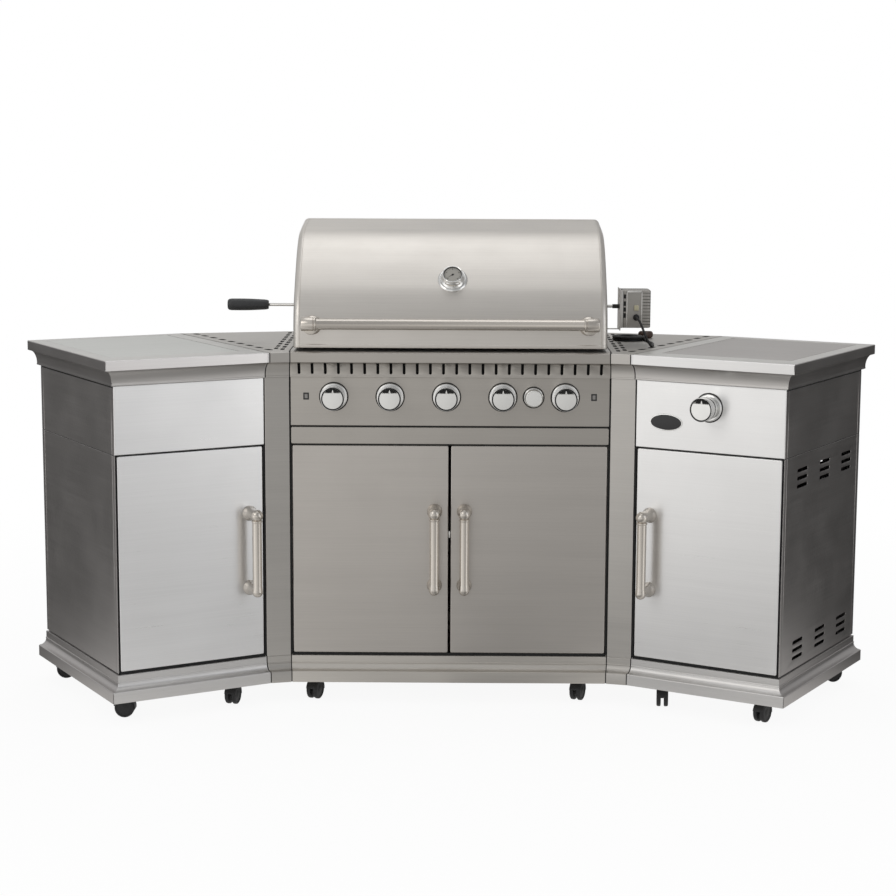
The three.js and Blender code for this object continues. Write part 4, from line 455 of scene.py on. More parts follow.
def pan(
    x0: float, x1: float, z0: float, z1: float, depth: float, edge: float, flange: float,
    y: float = 0.0, corner: float = 0.004,
) -> Surface:
    """A folded sheet steel pan that faces the front: its face, a quarter round along the
    four edges, its walls, and a flange that turns in behind.

    Args:
        x0: Left edge.
        x1: Right edge.
        z0: Bottom edge.
        z1: Top edge.
        depth: How far the walls reach to the rear.
        edge: Radius of the rounding along the face.
        flange: Width of the flange behind.
        y: Where the face is.
        corner: Radius of the four corners.

    Returns:
        The pan as an open sheet.
    """
    rise = np.radians([90, 67.5, 45, 22.5, 0])
    insets = [edge * (1 - cos(a)) for a in rise] + [0, edge / 2, flange]
    depths = [edge * (1 - sin(a)) for a in rise] + [depth - edge / 2, depth, depth]
    loops = []
    for inset, back in zip(insets, depths):
        loop = rounded_rectangle(
            x0 + inset, x1 - inset, z0 + inset, z1 - inset, max(corner - inset, 0.0004)
        )
        loops.append(upright(y + back)(loop))
    return lofted(np.array(loops), cap_first=True)


def soft_box(
    x: Sequence, y: Sequence, z: Sequence, radius: float, corner: float | None = None
) -> Surface:
    """A closed block with rounded edges, made of loops that stand on each other in z: the
    loops draw in by a quarter circle at both ends.

    Args:
        x: Its two ends in x.
        y: Its two ends in y.
        z: Its two ends in z.
        radius: Radius of the rounding along its top and bottom.
        corner: Radius of its upright edges.

    Returns:
        The block.
    """
    corner = radius if corner is None else corner
    rise = np.radians([0, 30, 60, 90])
    inset = [radius * (1 - sin(a)) for a in rise] + [radius * (1 - sin(a)) for a in rise[::-1]]
    height = [z[0] + radius * (1 - cos(a)) for a in rise]
    height += [z[1] - radius * (1 - cos(a)) for a in rise[::-1]]
    loops = [
        level(h)(rounded_rectangle(x[0] + i, x[1] - i, y[0] + i, y[1] - i, max(corner, i * 0.5)))
        for i, h in zip(inset, height)
    ]
    return lofted(np.array(loops), True, True)


def soft_boxes(*rows: Sequence) -> Surface:
    """Several blocks as one surface; soft_box says what each row holds."""
    return joined(soft_box(*row) for row in rows)


# Finishes
@dataclass
class Graph:
    """A node tree with short ways to add and link its nodes."""

    tree: bpy.types.NodeTree

    def give(self, target: Socket, value: object) -> None:
        """Links an output to an input, or sets the input's value."""
        if isinstance(value, Socket):
            self.tree.links.new(value, target)
        else:
            target.default_value = value

    def feed(self, node: bpy.types.Node, **inputs: object) -> None:
        """Gives a node's inputs their values or links.

        Args:
            node: The node.
            **inputs: Values or outputs for its inputs; a name has _ for a space, and i0,
                i1 and so on stand for an input's number.
        """
        for name, value in inputs.items():
            is_number = name[0] == "i" and name[1:].isdigit()
            self.give(node.inputs[int(name[1:]) if is_number else name.replace("_", " ")], value)

    def add(self, kind: str, settings: dict | None = None, **inputs: object) -> bpy.types.Node:
        """Adds a node.

        Args:
            kind: The node's type without its prefix.
            settings: Properties of the node itself.
            **inputs: What feed gives to its inputs.

        Returns:
            The node.
        """
        prefix = "" if kind.startswith("Node") else "ShaderNode"
        node = self.tree.nodes.new(prefix + kind)
        for name, value in (settings or {}).items():
            setattr(node, name, value)
        self.feed(node, **inputs)
        return node

    def math(self, operation: str, a: object, b: object = 0.0, c: object = 0.0) -> Socket:
        """A Math node's output."""
        return self.add("Math", {"operation": operation}, i0=a, i1=b, i2=c).outputs[0]

    def vector(self, operation: str, a: object, b: object = (0, 0, 0)) -> Socket:
        """A Vector Math node's vector output."""
        return self.add("VectorMath", {"operation": operation}, i0=a, i1=b).outputs[0]

    def where(self) -> Socket:
        """The Object coordinates."""
        return self.add("TexCoord").outputs["Object"]

    def scaled(self, vector: object, scale: Point, turn: float = 0.0) -> Socket:
        """A vector turned about +Z and scaled."""
        settings = {"vector_type": "POINT"}
        turned = self.add("Mapping", settings, Vector=vector, Rotation=(0.0, 0.0, turn))
        return self.add("Mapping", settings, Vector=turned.outputs[0], Scale=scale).outputs[0]

    def noise(
        self, vector: object, scale: float, detail: float = 2.0, rough: float = 0.5
    ) -> Socket:
        """The value of a noise texture."""
        return self.add("TexNoise", Vector=vector, Scale=scale, Detail=detail,
                        Roughness=rough).outputs["Fac"]

    def ranged(
        self, value: object, low: float, high: float, to_low: float = 0.0, to_high: float = 1.0
    ) -> Socket:
        """A value taken from one range to another and kept in it."""
        return self.add("MapRange", Value=value, From_Min=low, From_Max=high, To_Min=to_low,
                        To_Max=to_high).outputs[0]

    def ramp(self, value: object, stops: Sequence[tuple[float, float]]) -> Socket:
        """A grey value read from a line through stops of position and value."""
        node = self.add("ValToRGB", i0=value)
        elements = node.color_ramp.elements
        while len(elements) < len(stops):
            elements.new(1.0)
        for element, (place, grey) in zip(elements, stops):
            element.position = place
            element.color = (grey, grey, grey, 1.0)
        return node.outputs[0]

    def mixed(self, factor: object, a: object, b: object) -> Socket:
        """Two colours mixed."""
        node = self.add("Mix", {"data_type": "RGBA"})
        for place, value in (("Factor", factor), ("A", a), ("B", b)):
            self.give(next(i for i in node.inputs if i.name == place and i.enabled), value)
        return next(o for o in node.outputs if o.enabled)

    def by_ray(self, lit: Socket, mirrored: Socket, seen: Socket) -> Socket:
        """Three shaders in one: for light, for metal's reflections, and for the camera."""
        path = self.add("LightPath").outputs
        direct = self.math("MAXIMUM", path["Is Camera Ray"], path["Is Transmission Ray"])
        shader = lit
        for factor, other in ((path["Is Glossy Ray"], mirrored), (direct, seen)):
            shader = self.add("MixShader", i0=factor, i1=shader, i2=other).outputs[0]
        return shader


def cleared_graph(owner: bpy.types.ID) -> Graph:
    """The empty node tree of a material or a world."""
    owner.use_nodes = True
    owner.node_tree.nodes.clear()
    return Graph(owner.node_tree)


def shared_group(name: str, outputs: Sequence[str], **inputs: float) -> Graph:
    """A node group with a vector input, number inputs and number outputs.

    Args:
        name: The group's name.
        outputs: Names of its outputs.
        **inputs: Its inputs besides the vector, with the values that they start at.

    Returns:
        Its graph, still without nodes.
    """
    group = bpy.data.node_groups.new(name, "ShaderNodeTree")
    new, number = group.interface.new_socket, "NodeSocketFloat"
    new(name="Vector", in_out="INPUT", socket_type="NodeSocketVector")
    for label, value in inputs.items():
        new(name=label, in_out="INPUT", socket_type=number).default_value = value
    for label in outputs:
        new(name=label, in_out="OUTPUT", socket_type=number)
    return Graph(group)


@cache
def grain_group() -> bpy.types.NodeTree:
    """Brushed grain: fine noise drawn out along the first axis, over slower bands."""
    graph = shared_group("brushed_grain", ("Line", "Band"), Fineness=1.0)
    source = graph.add("NodeGroupInput").outputs
    along = graph.scaled(source["Vector"], (4.0, 420.0, 420.0))
    fine = graph.add("VectorMath", {"operation": "SCALE"}, i0=along,
                     Scale=source["Fineness"]).outputs[0]
    wide = graph.scaled(source["Vector"], (1.1, 30.0, 30.0))
    graph.add("NodeGroupOutput",
              Line=graph.ranged(graph.noise(fine, 1.0, 3.0, 0.65), 0.25, 0.75),
              Band=graph.ranged(graph.noise(wide, 1.0, 2.0), 0.3, 0.7))
    return graph.tree


@cache
def handling_group() -> bpy.types.NodeTree:
    """Traces of handling and weather: soft smears, small specks and dust that lies on
    what faces up."""
    graph = shared_group("handling_marks", ("Smear", "Speck", "Dust"))
    source = graph.add("NodeGroupInput").outputs["Vector"]
    normal = graph.add("NewGeometry").outputs["Normal"]
    up = graph.add("SeparateXYZ", Vector=normal).outputs[2]
    patches = graph.ranged(graph.noise(source, 60.0, 3.0), 0.4, 0.7, 0.2, 1.0)
    graph.add("NodeGroupOutput",
              Smear=graph.ranged(graph.noise(source, 7.0, 4.0, 0.55), 0.38, 0.72),
              Speck=graph.ranged(graph.noise(source, 900.0, 2.0), 0.66, 0.76),
              Dust=graph.math("MULTIPLY", graph.ranged(up, 0.5, 1.0), patches))
    return graph.tree


@dataclass(frozen=True)
class Finish:
    """A finish: its look and the record's material slot that it stands for."""

    name: str
    slot: str
    colour: Point

    def shade(self, graph: Graph, shader: bpy.types.Node) -> None:
        """Links the pattern of the finish to its shader."""

    def toned(self, share: float = 1.0, lift: float = 0.0) -> tuple[float, ...]:
        """The colour made lighter or darker, not above white, with its alpha."""
        return (*(min(c * share + lift, 1.0) for c in self.colour), 1.0)

    def group(
        self, graph: Graph, tree: bpy.types.NodeTree, turn: float = 0.0, **inputs: object
    ) -> dict[str, Socket]:
        """The outputs of a shared node group that works on Object coordinates.

        Args:
            graph: The material's graph.
            tree: The node group.
            turn: Angle that turns the coordinates about +Z.
            **inputs: Its other inputs.

        Returns:
            The outputs by name.
        """
        vector = graph.scaled(graph.where(), (1.0, 1.0, 1.0), turn)
        return graph.add("Group", {"node_tree": tree}, Vector=vector, **inputs).outputs

    @cache
    def material(self) -> bpy.types.Material:
        """The finish as a material, made once."""
        made = bpy.data.materials.new(self.name)
        made.use_nodes = True
        shader = made.node_tree.nodes["Principled BSDF"]
        shader.inputs["Base Color"].default_value = self.toned()
        self.shade(Graph(made.node_tree), shader)
        return made


@dataclass(frozen=True)
class BrushedSteel(Finish):
    """Brushed stainless steel. The grain runs along X, turned by an angle about +Z."""

    rough: float = 0.34
    turn: float = 0.0
    contrast: float = 0.06
    fineness: float = 1.0
    stretch: float = 0.55
    relief: float = 0.03

    def shade(self, graph: Graph, shader: bpy.types.Node) -> None:
        """Grain lines vary the colour, the roughness and the height; smears dull it."""
        grain = self.group(graph, grain_group(), self.turn, Fineness=self.fineness)
        marks = self.group(graph, handling_group())
        tone = graph.math("MULTIPLY_ADD", grain["Line"], 0.7,
                          graph.math("MULTIPLY", grain["Band"], 0.3))
        colour = graph.mixed(tone, self.toned(1 - self.contrast), self.toned(1 + self.contrast))
        rough = graph.math("MULTIPLY_ADD", grain["Line"], 0.07, self.rough - 0.035)
        rough = graph.math("MULTIPLY_ADD", marks["Smear"], 0.05, rough)
        rough = graph.math("MULTIPLY_ADD", marks["Dust"], 0.06, rough)
        bump = graph.add("Bump", Strength=self.relief, Distance=0.0004, Height=grain["Line"])
        normal = graph.add("NewGeometry").outputs["Normal"]
        beside = graph.vector("CROSS_PRODUCT", (cos(self.turn), -sin(self.turn), 0.0), normal)
        graph.feed(shader, Tangent=graph.vector("CROSS_PRODUCT", normal, beside), Metallic=1.0,
                   Anisotropic=self.stretch, Anisotropic_Rotation=0.25, Base_Color=colour,
                   Roughness=rough, Normal=bump.outputs[0])


@dataclass(frozen=True)
class PlatedMetal(Finish):
    """Smooth plated metal, from satin to polished."""

    rough: float = 0.12
    metallic: float = 1.0

    def shade(self, graph: Graph, shader: bpy.types.Node) -> None:
        """Smears and specks vary the roughness and tone a little."""
        marks = self.group(graph, handling_group())
        rough = graph.math("MULTIPLY_ADD", marks["Smear"], 0.08, self.rough)
        rough = graph.math("MULTIPLY_ADD", marks["Speck"], 0.1, rough)
        colour = graph.mixed(marks["Smear"], self.toned(), self.toned(0.93))
        graph.feed(shader, Metallic=self.metallic, Roughness=rough, Base_Color=colour)


@dataclass(frozen=True)
class CastSurface(Finish):
    """A rough coated or moulded surface: cast iron, enamel, plastic or rubber."""

    rough: float = 0.6
    grain: float = 500.0
    relief: float = 0.25
    dust: float = 0.2

    def shade(self, graph: Graph, shader: bpy.types.Node) -> None:
        """Fine grain gives height, and dust lightens what faces up."""
        marks = self.group(graph, handling_group())
        grain = graph.noise(graph.where(), self.grain, 3.0, 0.6)
        spread = graph.math("MULTIPLY_ADD", marks["Dust"], self.dust,
                            graph.math("MULTIPLY", grain, 0.25))
        rough = graph.math("MULTIPLY_ADD", marks["Smear"], 0.1, self.rough - 0.05)
        bump = graph.add("Bump", Strength=self.relief, Distance=0.0005, Height=grain)
        graph.feed(shader, Base_Color=graph.mixed(spread, self.toned(), self.toned(1.6, 0.02)),
                   Roughness=rough, Normal=bump.outputs[0])


def steel(place: str, colour: Point, **looks: float) -> BrushedSteel:
    """The brushed steel of a place."""
    return BrushedSteel(f"{place}_steel", "brushed_steel", colour, **looks)


SIDE_TURN = radians(30)
HOOD_STEEL = steel("hood", (0.71, 0.68, 0.64), rough=0.33)
PANEL_STEEL = steel("panel", (0.505, 0.48, 0.445), rough=0.36)
PLINTH_STEEL = steel("plinth", (0.68, 0.65, 0.605))
CENTRE_STEEL = steel("centre", (0.6, 0.57, 0.535), rough=0.36)
DECK_STEEL = steel("deck", (0.6, 0.585, 0.56))
LINING_STEEL = steel("lining", (0.34, 0.33, 0.32), rough=0.5, stretch=0.2)
NICKEL = BrushedSteel("satin_nickel", "satin_nickel", (0.64, 0.6, 0.55), rough=0.22,
                      stretch=0.2, contrast=0.04, fineness=1.5)
CHROME = PlatedMetal("chrome", "chrome", (0.82, 0.82, 0.81), rough=0.06)
SATIN_FACE = PlatedMetal("satin_face", "chrome", (0.9, 0.9, 0.88), rough=0.35)
BRIGHT_WIRE = PlatedMetal("bright_wire", "chrome", (0.7, 0.69, 0.67), rough=0.2)
DIAL_FACE = PlatedMetal("dial_face_paint", "chrome", (0.3, 0.29, 0.265), rough=0.45,
                        metallic=0.2)
MOTOR_CASE = PlatedMetal("motor_case_paint", "brushed_steel", (0.36, 0.345, 0.32), rough=0.4,
                         metallic=0.6)
IRON = CastSurface("cast_iron", "iron", (0.03, 0.029, 0.028), rough=0.62, relief=0.4)
ENAMEL = CastSurface("black_enamel", "enamel", (0.02, 0.02, 0.022), rough=0.28, relief=0.06)
BLACK_PLASTIC = CastSurface("black_plastic", "black_plastic", (0.008, 0.008, 0.009), rough=0.5,
                            dust=0.12)
GREY_GRIP = CastSurface("grip_plastic", "black_plastic", (0.022, 0.023, 0.025), rough=0.42)
RUBBER = CastSurface("lead_rubber", "cord", (0.008, 0.008, 0.009), rough=0.55, relief=0.12,
                     dust=0.05)
PLUG_PLASTIC = CastSurface("plug_plastic", "plug", (0.045, 0.022, 0.014), rough=0.4)
SWITCH = CastSurface("switch_plastic", "plug", (0.42, 0.39, 0.27), rough=0.35, relief=0.05)
# Matte black for painted shade: strips, rings and sheets in gaps, seams, grooves, slots and under
# lips stand in for shade. The same black also serves the dial's marks and needle and the knobs'
# recesses.
SHADE_AND_DETAIL_BLACK = CastSurface("shadow_black", "black_plastic", (0.006, 0.006, 0.006), rough=0.8, dust=0.0)
BADGE_BLACK = CastSurface("badge_black", "enamel", (0.009, 0.009, 0.01), rough=0.3, relief=0.03,
                          dust=0.05)


def side_finishes(hand: Hand) -> dict[str, BrushedSteel]:
    """The steel of a side cabinet, with its grain turned as the cabinet is. The left
    cabinet's front, fascia and lid are lighter than the right's, and the cove is darker than the
    fascia: painted light and shade on copies of one steel. A row holds
    the slot, the colour, the roughness and what else differs."""
    left, turn = hand is Hand.LEFT, SIDE_TURN * hand.value
    # painted light: the left cabinet's front, fascia and lid copies are lighter and the right's are
    # darker
    front = (0.88, 0.88, 0.88) if left else (0.82, 0.818, 0.815)
    band = (0.84, 0.82, 0.81) if left else (0.75, 0.745, 0.74)
    lid = (0.72, 0.725, 0.7) if left else (0.53, 0.51, 0.495)
    rows = {
        "front": ("pale", front, 0.3, {"contrast": 0.035, "stretch": 0.8}),
        "deck": ("brushed", (0.71, 0.7, 0.675), 0.36, {}),
        # painted shade: the cove under the fascia is darker than the rest of the cornice
        "cove": ("brushed", (0.51, 0.495, 0.48), 0.36, {}),
        "skirting": ("brushed", (0.67, 0.66, 0.65), 0.34, {}),
        "fascia": ("brushed", band, 0.38, {"contrast": 0.04}),
        "end": ("pale", (0.53, 0.51, 0.5), 0.34,
                {"turn": turn + pi / 2, "contrast": 0.08, "stretch": 0.3}),
        "lid": ("pale", lid, 0.4, {"contrast": 0.05}),
        "lining": ("pale", (0.34, 0.33, 0.32), 0.5, {"stretch": 0.2}),
    }
    return {
        place: BrushedSteel(f"{hand.word}_{place}_steel", f"{slot}_steel", colour, rough,
                            **{"turn": turn, **more})
        for place, (slot, colour, rough, more) in rows.items()
    }


# Pieces
def mesh_of(name: str, surface: Surface, facing: Point | None) -> bpy.types.Mesh:
    """A mesh of a surface, its close points merged and its faces turned outwards.

    Args:
        name: The mesh's name.
        surface: Its points and faces.
        facing: For an open sheet, roughly where its outside faces.

    Returns:
        The mesh.
    """
    mesh = bpy.data.meshes.new(name)
    faces = [face for group in surface.faces for face in group.tolist()]
    mesh.from_pydata(surface.points.tolist(), [], faces)
    shape = bmesh.new()
    shape.from_mesh(mesh)
    bmesh.ops.remove_doubles(shape, verts=shape.verts, dist=WELD)
    bmesh.ops.dissolve_degenerate(shape, edges=shape.edges, dist=WELD)
    bmesh.ops.recalc_face_normals(shape, faces=shape.faces)
    if facing is not None:
        total = sum((f.normal * f.calc_area() for f in shape.faces), Vector())
        if total.dot(Vector(facing)) < 0:
            bmesh.ops.reverse_faces(shape, faces=shape.faces)
    shape.to_mesh(mesh)
    shape.free()
    return mesh


def linked(name: str, data: bpy.types.ID) -> bpy.types.Object:
    """A new object of the scene."""
    made = bpy.data.objects.new(name, data)
    bpy.context.scene.collection.objects.link(made)
    return made


def finished(
    piece: bpy.types.Object, finish: Finish, body: str, stands_for: Sequence[str] = (),
    wall: float = 0.0, edge: float = 0.0, crease: float = 33.0,
) -> bpy.types.Object:
    """Smooths, thickens, rounds and dresses a piece, and hangs it on its body.

    Args:
        piece: The object.
        finish: Its finish.
        body: The CAD body that it moves with.
        stands_for: The CAD nodes that it replaces.
        wall: Thickness of an open sheet.
        edge: Radius of the rounding of its sharp edges.
        crease: Angle in degrees from which an edge stays sharp.

    Returns:
        The piece.
    """
    mesh = piece.data
    mesh.shade_smooth()
    mesh.set_sharp_from_angle(angle=radians(crease))
    if wall:
        solid = piece.modifiers.new("wall", "SOLIDIFY")
        solid.thickness, solid.offset = wall, -1.0
        solid.use_quality_normals = True
    if edge:
        bevel = piece.modifiers.new("edge", "BEVEL")
        bevel.width, bevel.segments, bevel.limit_method = edge, 2, "ANGLE"
        bevel.angle_limit = radians(crease)
    if wall or edge:
        piece.modifiers.new("normals", "WEIGHTED_NORMAL").keep_sharp = not edge
    mesh.materials.clear()
    mesh.materials.append(finish.material())
    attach(piece, body)
    if stands_for:
        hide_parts(*stands_for)
    LOG.info("%s on %s, %d faces", piece.name, body, len(mesh.polygons))
    return piece


def make_piece(
    name: str, surface: Surface, finish: Finish, body: str = "island",
    stands_for: Sequence[str] = (), facing: Point | None = None, **looks: float,
) -> bpy.types.Object:
    """A new piece from a surface.

    Args:
        name: The object's name.
        surface: Its points and faces.
        finish: Its finish.
        body: The CAD body that it moves with.
        stands_for: The CAD nodes that it replaces.
        facing: For an open sheet, roughly where its outside faces.
        **looks: What finished takes besides.

    Returns:
        The piece.
    """
    piece = linked(name, mesh_of(name, surface, facing))
    return finished(piece, finish, body, stands_for, **looks)


def dressed_node(node: str, finish: Finish, body: str = "island", edge: float = 0.0006) -> None:
    """A copy of a CAD node with merged points and rounded edges, in place of the node.

    Args:
        node: The node's name.
        finish: Its finish.
        body: The CAD body that it moves with.
        edge: Radius of the rounding of its edges.
    """
    source = frame["nodes"][node].data
    shape = bmesh.new()
    shape.from_mesh(source)
    bmesh.ops.remove_doubles(shape, verts=shape.verts, dist=WELD)
    bmesh.ops.dissolve_limit(
        shape, angle_limit=radians(0.5), verts=shape.verts, edges=shape.edges
    )
    mesh = bpy.data.meshes.new(f"{node}_dressed")
    shape.to_mesh(mesh)
    shape.free()
    finished(linked(mesh.name, mesh), finish, body, [node], edge=edge, crease=38)


# The plan
@dataclass(frozen=True)
class Plan:
    """The island's plan and the heights that its units share."""

    centre_half: float = 0.406
    side_width: float = 0.4005
    depth: float = 0.540
    wedge_front: float = 0.065
    wedge_turn: float = radians(15)
    half_seam: float = 0.0013
    rear_overhang: float = 0.011
    sheet: float = 0.0022
    top: float = 0.910
    cornice_bottom: float = 0.845
    fascia: float = 0.025
    overhang: float = 0.031
    lip: float = 0.007
    plinth_bottom: float = 0.0583
    plinth_top: float = 0.1275
    plinth_overhang: float = 0.0244
    bead: float = 0.003
    wrap: float = 0.19
    face_inset: float = 0.0018
    split: float = 0.6745
    door_bottom: float = 0.1315
    door_top: float = 0.6705
    stile: float = 0.0034
    rail_top: float = 0.7175
    panel_bottom: float = 0.7215
    shift: float = field(default_factory=lambda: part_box("centre_carcass")[0].y)

    @property
    def wedge_end(self) -> Array:
        """The outer end of the right corner unit's front line."""
        line = np.array([cos(self.wedge_turn), -sin(self.wedge_turn)])
        return np.array([self.centre_half, self.shift]) + self.wedge_front * line

    @property
    def gaps(self) -> Levels:
        """Where the gaps under and over a door, filled with painted shade strips, begin and end in
        height.
        """
        return [(self.plinth_top - 0.0036, self.door_bottom - 0.0006),
                (self.door_top + 0.0007, self.split + 0.0006)]

    def side(self) -> Placing:
        """The right side cabinet's own axes: outward, to the rear and up."""
        angle = 2 * self.wedge_turn
        x, y = self.wedge_end
        return Placing((x, y, 0.0), (cos(angle), -sin(angle), 0), (sin(angle), cos(angle), 0))

    def centre(self) -> Placing:
        """The centre cabinet's own axes."""
        return Placing((0.0, self.shift, 0.0))

    def centre_outline(self, out: float, rear: float) -> Array:
        """The centre cabinet's plan with its front drawn out, mitred at its seams.

        Args:
            out: How far its front is drawn out.
            rear: How far its rear is drawn out.

        Returns:
            The plan's corners.
        """
        half = self.centre_half - self.half_seam
        nose = half - out * tan(self.wedge_turn / 2)
        return np.array([
            (-half, 0), (-nose, -out), (nose, -out), (half, 0),
            (half, self.depth + rear), (-half, self.depth + rear),
        ]) + (0, self.shift)

    def side_outline(self, out: float, rear: float) -> Array:
        """The right side cabinet's plan. Its mouldings wrap a little round the bend to the
        corner unit.

        Args:
            out: How far its front and its end are drawn out.
            rear: How far its rear is drawn out.

        Returns:
            The plan's corners.
        """
        inner, reach = self.half_seam, self.side_width + out
        bend, past = inner + out * tan(self.wedge_turn / 2), max(0.0, out) * self.wrap
        own = np.array([
            (inner, 0), (bend - past * cos(self.wedge_turn), -out - past * sin(self.wedge_turn)),
            (bend, -out), (reach, -out), (reach, self.depth + rear), (inner, self.depth + rear),
        ])
        return self.side().carry(np.column_stack([own, np.zeros(len(own))]))[:, :2]

    def wedge_outline(self, out: float, rear: float, depth: float | None = None) -> Array:
        """The right corner unit's plan: a front line, mitred at both ends, and sides that
        follow its two neighbours to the rear.

        Args:
            out: How far its front is drawn out.
            rear: How far its rear is drawn out.
            depth: How far its sides go back, if not as far as the cabinets.

        Returns:
            The plan's corners.
        """
        turn, slant = self.wedge_turn, cos(self.wedge_turn)
        line = np.array([cos(turn), -sin(turn)])
        middle = np.array([sin(turn), cos(turn)])
        loop = []
        for corner, sign, angle in (
            (np.array([self.centre_half, self.shift]), 1, 0.0), (self.wedge_end, -1, 2 * turn)
        ):
            rearward = np.array([sin(angle), cos(angle)])
            base = corner + sign * line * self.half_seam / slant
            mitre = (rearward + middle) / np.linalg.norm(rearward + middle)
            nose = base - mitre * out / cos(turn / 2)
            if sign < 0:
                nose = nose - line * max(0.0, out) * self.wrap
            reach = (self.depth if depth is None else depth) + rear
            loop.append((base, nose, base + rearward * reach))
        (a, b, c), (d, e, f) = loop
        return np.array([a, b, e, d, f, c])

    def cornice(self) -> Levels:
        """Heights and overhangs of the cornice: a lip, a hollow quarter round that ends
        under the fascia, and the fascia with rounded edges."""
        out, low, lip = self.overhang, self.cornice_bottom + 0.004, self.lip
        under, turn, r = self.top - self.fascia, out - 0.003, 0.0022
        hollow = arc((turn, low + 0.0008), (lip - 0.0006 - turn, under - low - 0.0012), 0, 90, 14)
        round_over = arc((out - r, self.top - r), r, 0, 90, 4)
        return [
            (self.cornice_bottom, lip - 0.0006), (self.cornice_bottom + 0.0006, lip), (low, lip),
            *hollow[:, ::-1], (under, out - 0.0008), (under + 0.0008, out), *round_over[:, ::-1],
        ]

    def plinth(self) -> Levels:
        """Heights and overhangs of the plinth: a band, a hollow sweep, a small bead and
        an upright face that the cabinet stands on."""
        out, bead, head = self.plinth_overhang, self.bead, self.plinth_top
        top, sweep = self.plinth_bottom + 0.0285, 0.0165
        hollow = arc((top + 0.0006 + sweep, out - 0.002), (-sweep, bead + 0.003 - out), 0, 90, 13)
        round_bead = arc((bead + 0.0002, top + sweep + 0.0022), 0.0018, -90, 90, 6)
        return [
            (self.plinth_bottom, out - 0.001), (self.plinth_bottom + 0.001, out),
            (top - 0.0016, out), (top - 0.0005, out - 0.0005), (top, out - 0.0016),
            *hollow, *round_bead[:, ::-1], (head - 0.0045, bead),
            (head - 0.0038, bead - 0.0008), (head - 0.0036, -0.004), (head, -0.0042),
        ]


PLAN = Plan()
Outline = Callable[[float, float], Array]


def moulding(
    outline: Outline, levels: Levels, rear: float, corners: Sequence[int] = ()
) -> Surface:
    """A moulding round a unit: at each height, the unit's plan with that overhang.

    Args:
        outline: Gives the plan for an overhang and a reach behind.
        levels: Heights and overhangs.
        rear: How far it reaches past the unit's rear.
        corners: The plan's corners that it follows; all of them if none is named.

    Returns:
        The moulding's skin.
    """
    loops = np.array([level(z)(outline(out, rear)) for z, out in levels])
    return open_skin(loops[:, list(corners)]) if corners else lofted(loops)


def fascia(outline: Outline, corners: Sequence[int] = ()) -> Surface:
    """The upright band of a cornice."""
    levels = [place for place in PLAN.cornice() if place[0] > PLAN.top - PLAN.fascia - 1e-6]
    return moulding(outline, levels, PLAN.rear_overhang, corners)


def cove(outline: Outline, corners: Sequence[int] = ()) -> Surface:
    """The lip and the hollow of a cornice, under its upright band."""
    levels = [place for place in PLAN.cornice() if place[0] < PLAN.top - PLAN.fascia + 1e-6]
    return moulding(outline, levels, PLAN.rear_overhang, corners)


def skirting(outline: Outline, corners: Sequence[int] = ()) -> Surface:
    """The plinth's moulding."""
    return moulding(outline, PLAN.plinth(), 0.0, corners)


def worktop(outline: Outline, holes: Sequence[Array]) -> Surface:
    """The level sheet of a worktop."""
    height, out = PLAN.cornice()[-1]
    return flat_sheet(outline(out, PLAN.rear_overhang), holes, level(height))


def seam_shades() -> None:
    """Painted shade in the joints between the units: black strips stand in for the shade
    in the open seams. At each height a thin strip in plan, from a
    little behind the moulding along the mitre to the corner, and on to the rear."""
    thin, reach, slant = 0.00105, PLAN.depth - 0.003, cos(PLAN.wedge_turn / 2)
    levels = [(z, out - 0.0025) for z, out in PLAN.plinth()[:-2]]
    levels += [(PLAN.plinth_top, -0.0022), (PLAN.cornice_bottom - 0.001, -0.0022)]
    levels += [(z, out - 0.003) for z, out in PLAN.cornice()[:-3]]
    levels[0] = (PLAN.plinth_bottom + 0.001, levels[0][1])
    levels.append((PLAN.top - 0.0012, levels[-1][1]))
    corner = np.array([PLAN.centre_half, PLAN.shift])
    for place, turn, name in ((corner, 0.0, "grill"), (PLAN.wedge_end, 2 * PLAN.wedge_turn, "side")):
        half = (PLAN.wedge_turn + turn) / 2
        rearward = np.array([sin(turn), cos(turn)])
        mitre = np.array([sin(half), cos(half)])
        loops = []
        for z, out in levels:
            past = max(0.0, out) * PLAN.wrap if turn else 0.0
            shift = np.array([cos(PLAN.wedge_turn), -sin(PLAN.wedge_turn)]) * past
            line = [place - mitre * out / slant - shift, place + rearward * max(-out, 0.004),
                    place + rearward * reach]
            side = [np.array([v[1], -v[0]]) * thin for v in (mitre, rearward, rearward)]
            plan = [p + s for p, s in zip(line, side)] + [p - s for p, s in zip(line, side)][::-1]
            loops.append(level(z)(np.array(plan)))
        for hand in Hand:
            # painted shade: one black strip in each seam, on both sides
            make_piece(f"{hand.word}_{name}_gasket",
                       lofted(np.array(loops), True, True).mirrored(hand), SHADE_AND_DETAIL_BLACK)


def gap_shade_strips(x0: float, x1: float, gaps: Sequence[tuple[float, float]]) -> Surface:
    """Painted shade: dark strips in the level gaps between fronts, a little behind them, that stand
    in for the shade in the gaps.
    """
    return joined([soft_box((x0, x1), (0.003, 0.006), gap, 0.0003) for gap in gaps])


def plinth_plates(outline: Outline, mouth: Array) -> tuple[Surface, Surface]:
    """A plinth's floor and the flange round its mouth above."""
    (foot, low), (head, high) = PLAN.plinth()[0], PLAN.plinth()[-1]
    return (flat_sheet(outline(low, 0.0), [], level(foot)),
            flat_sheet(outline(high, 0.0), [mouth], level(head)))


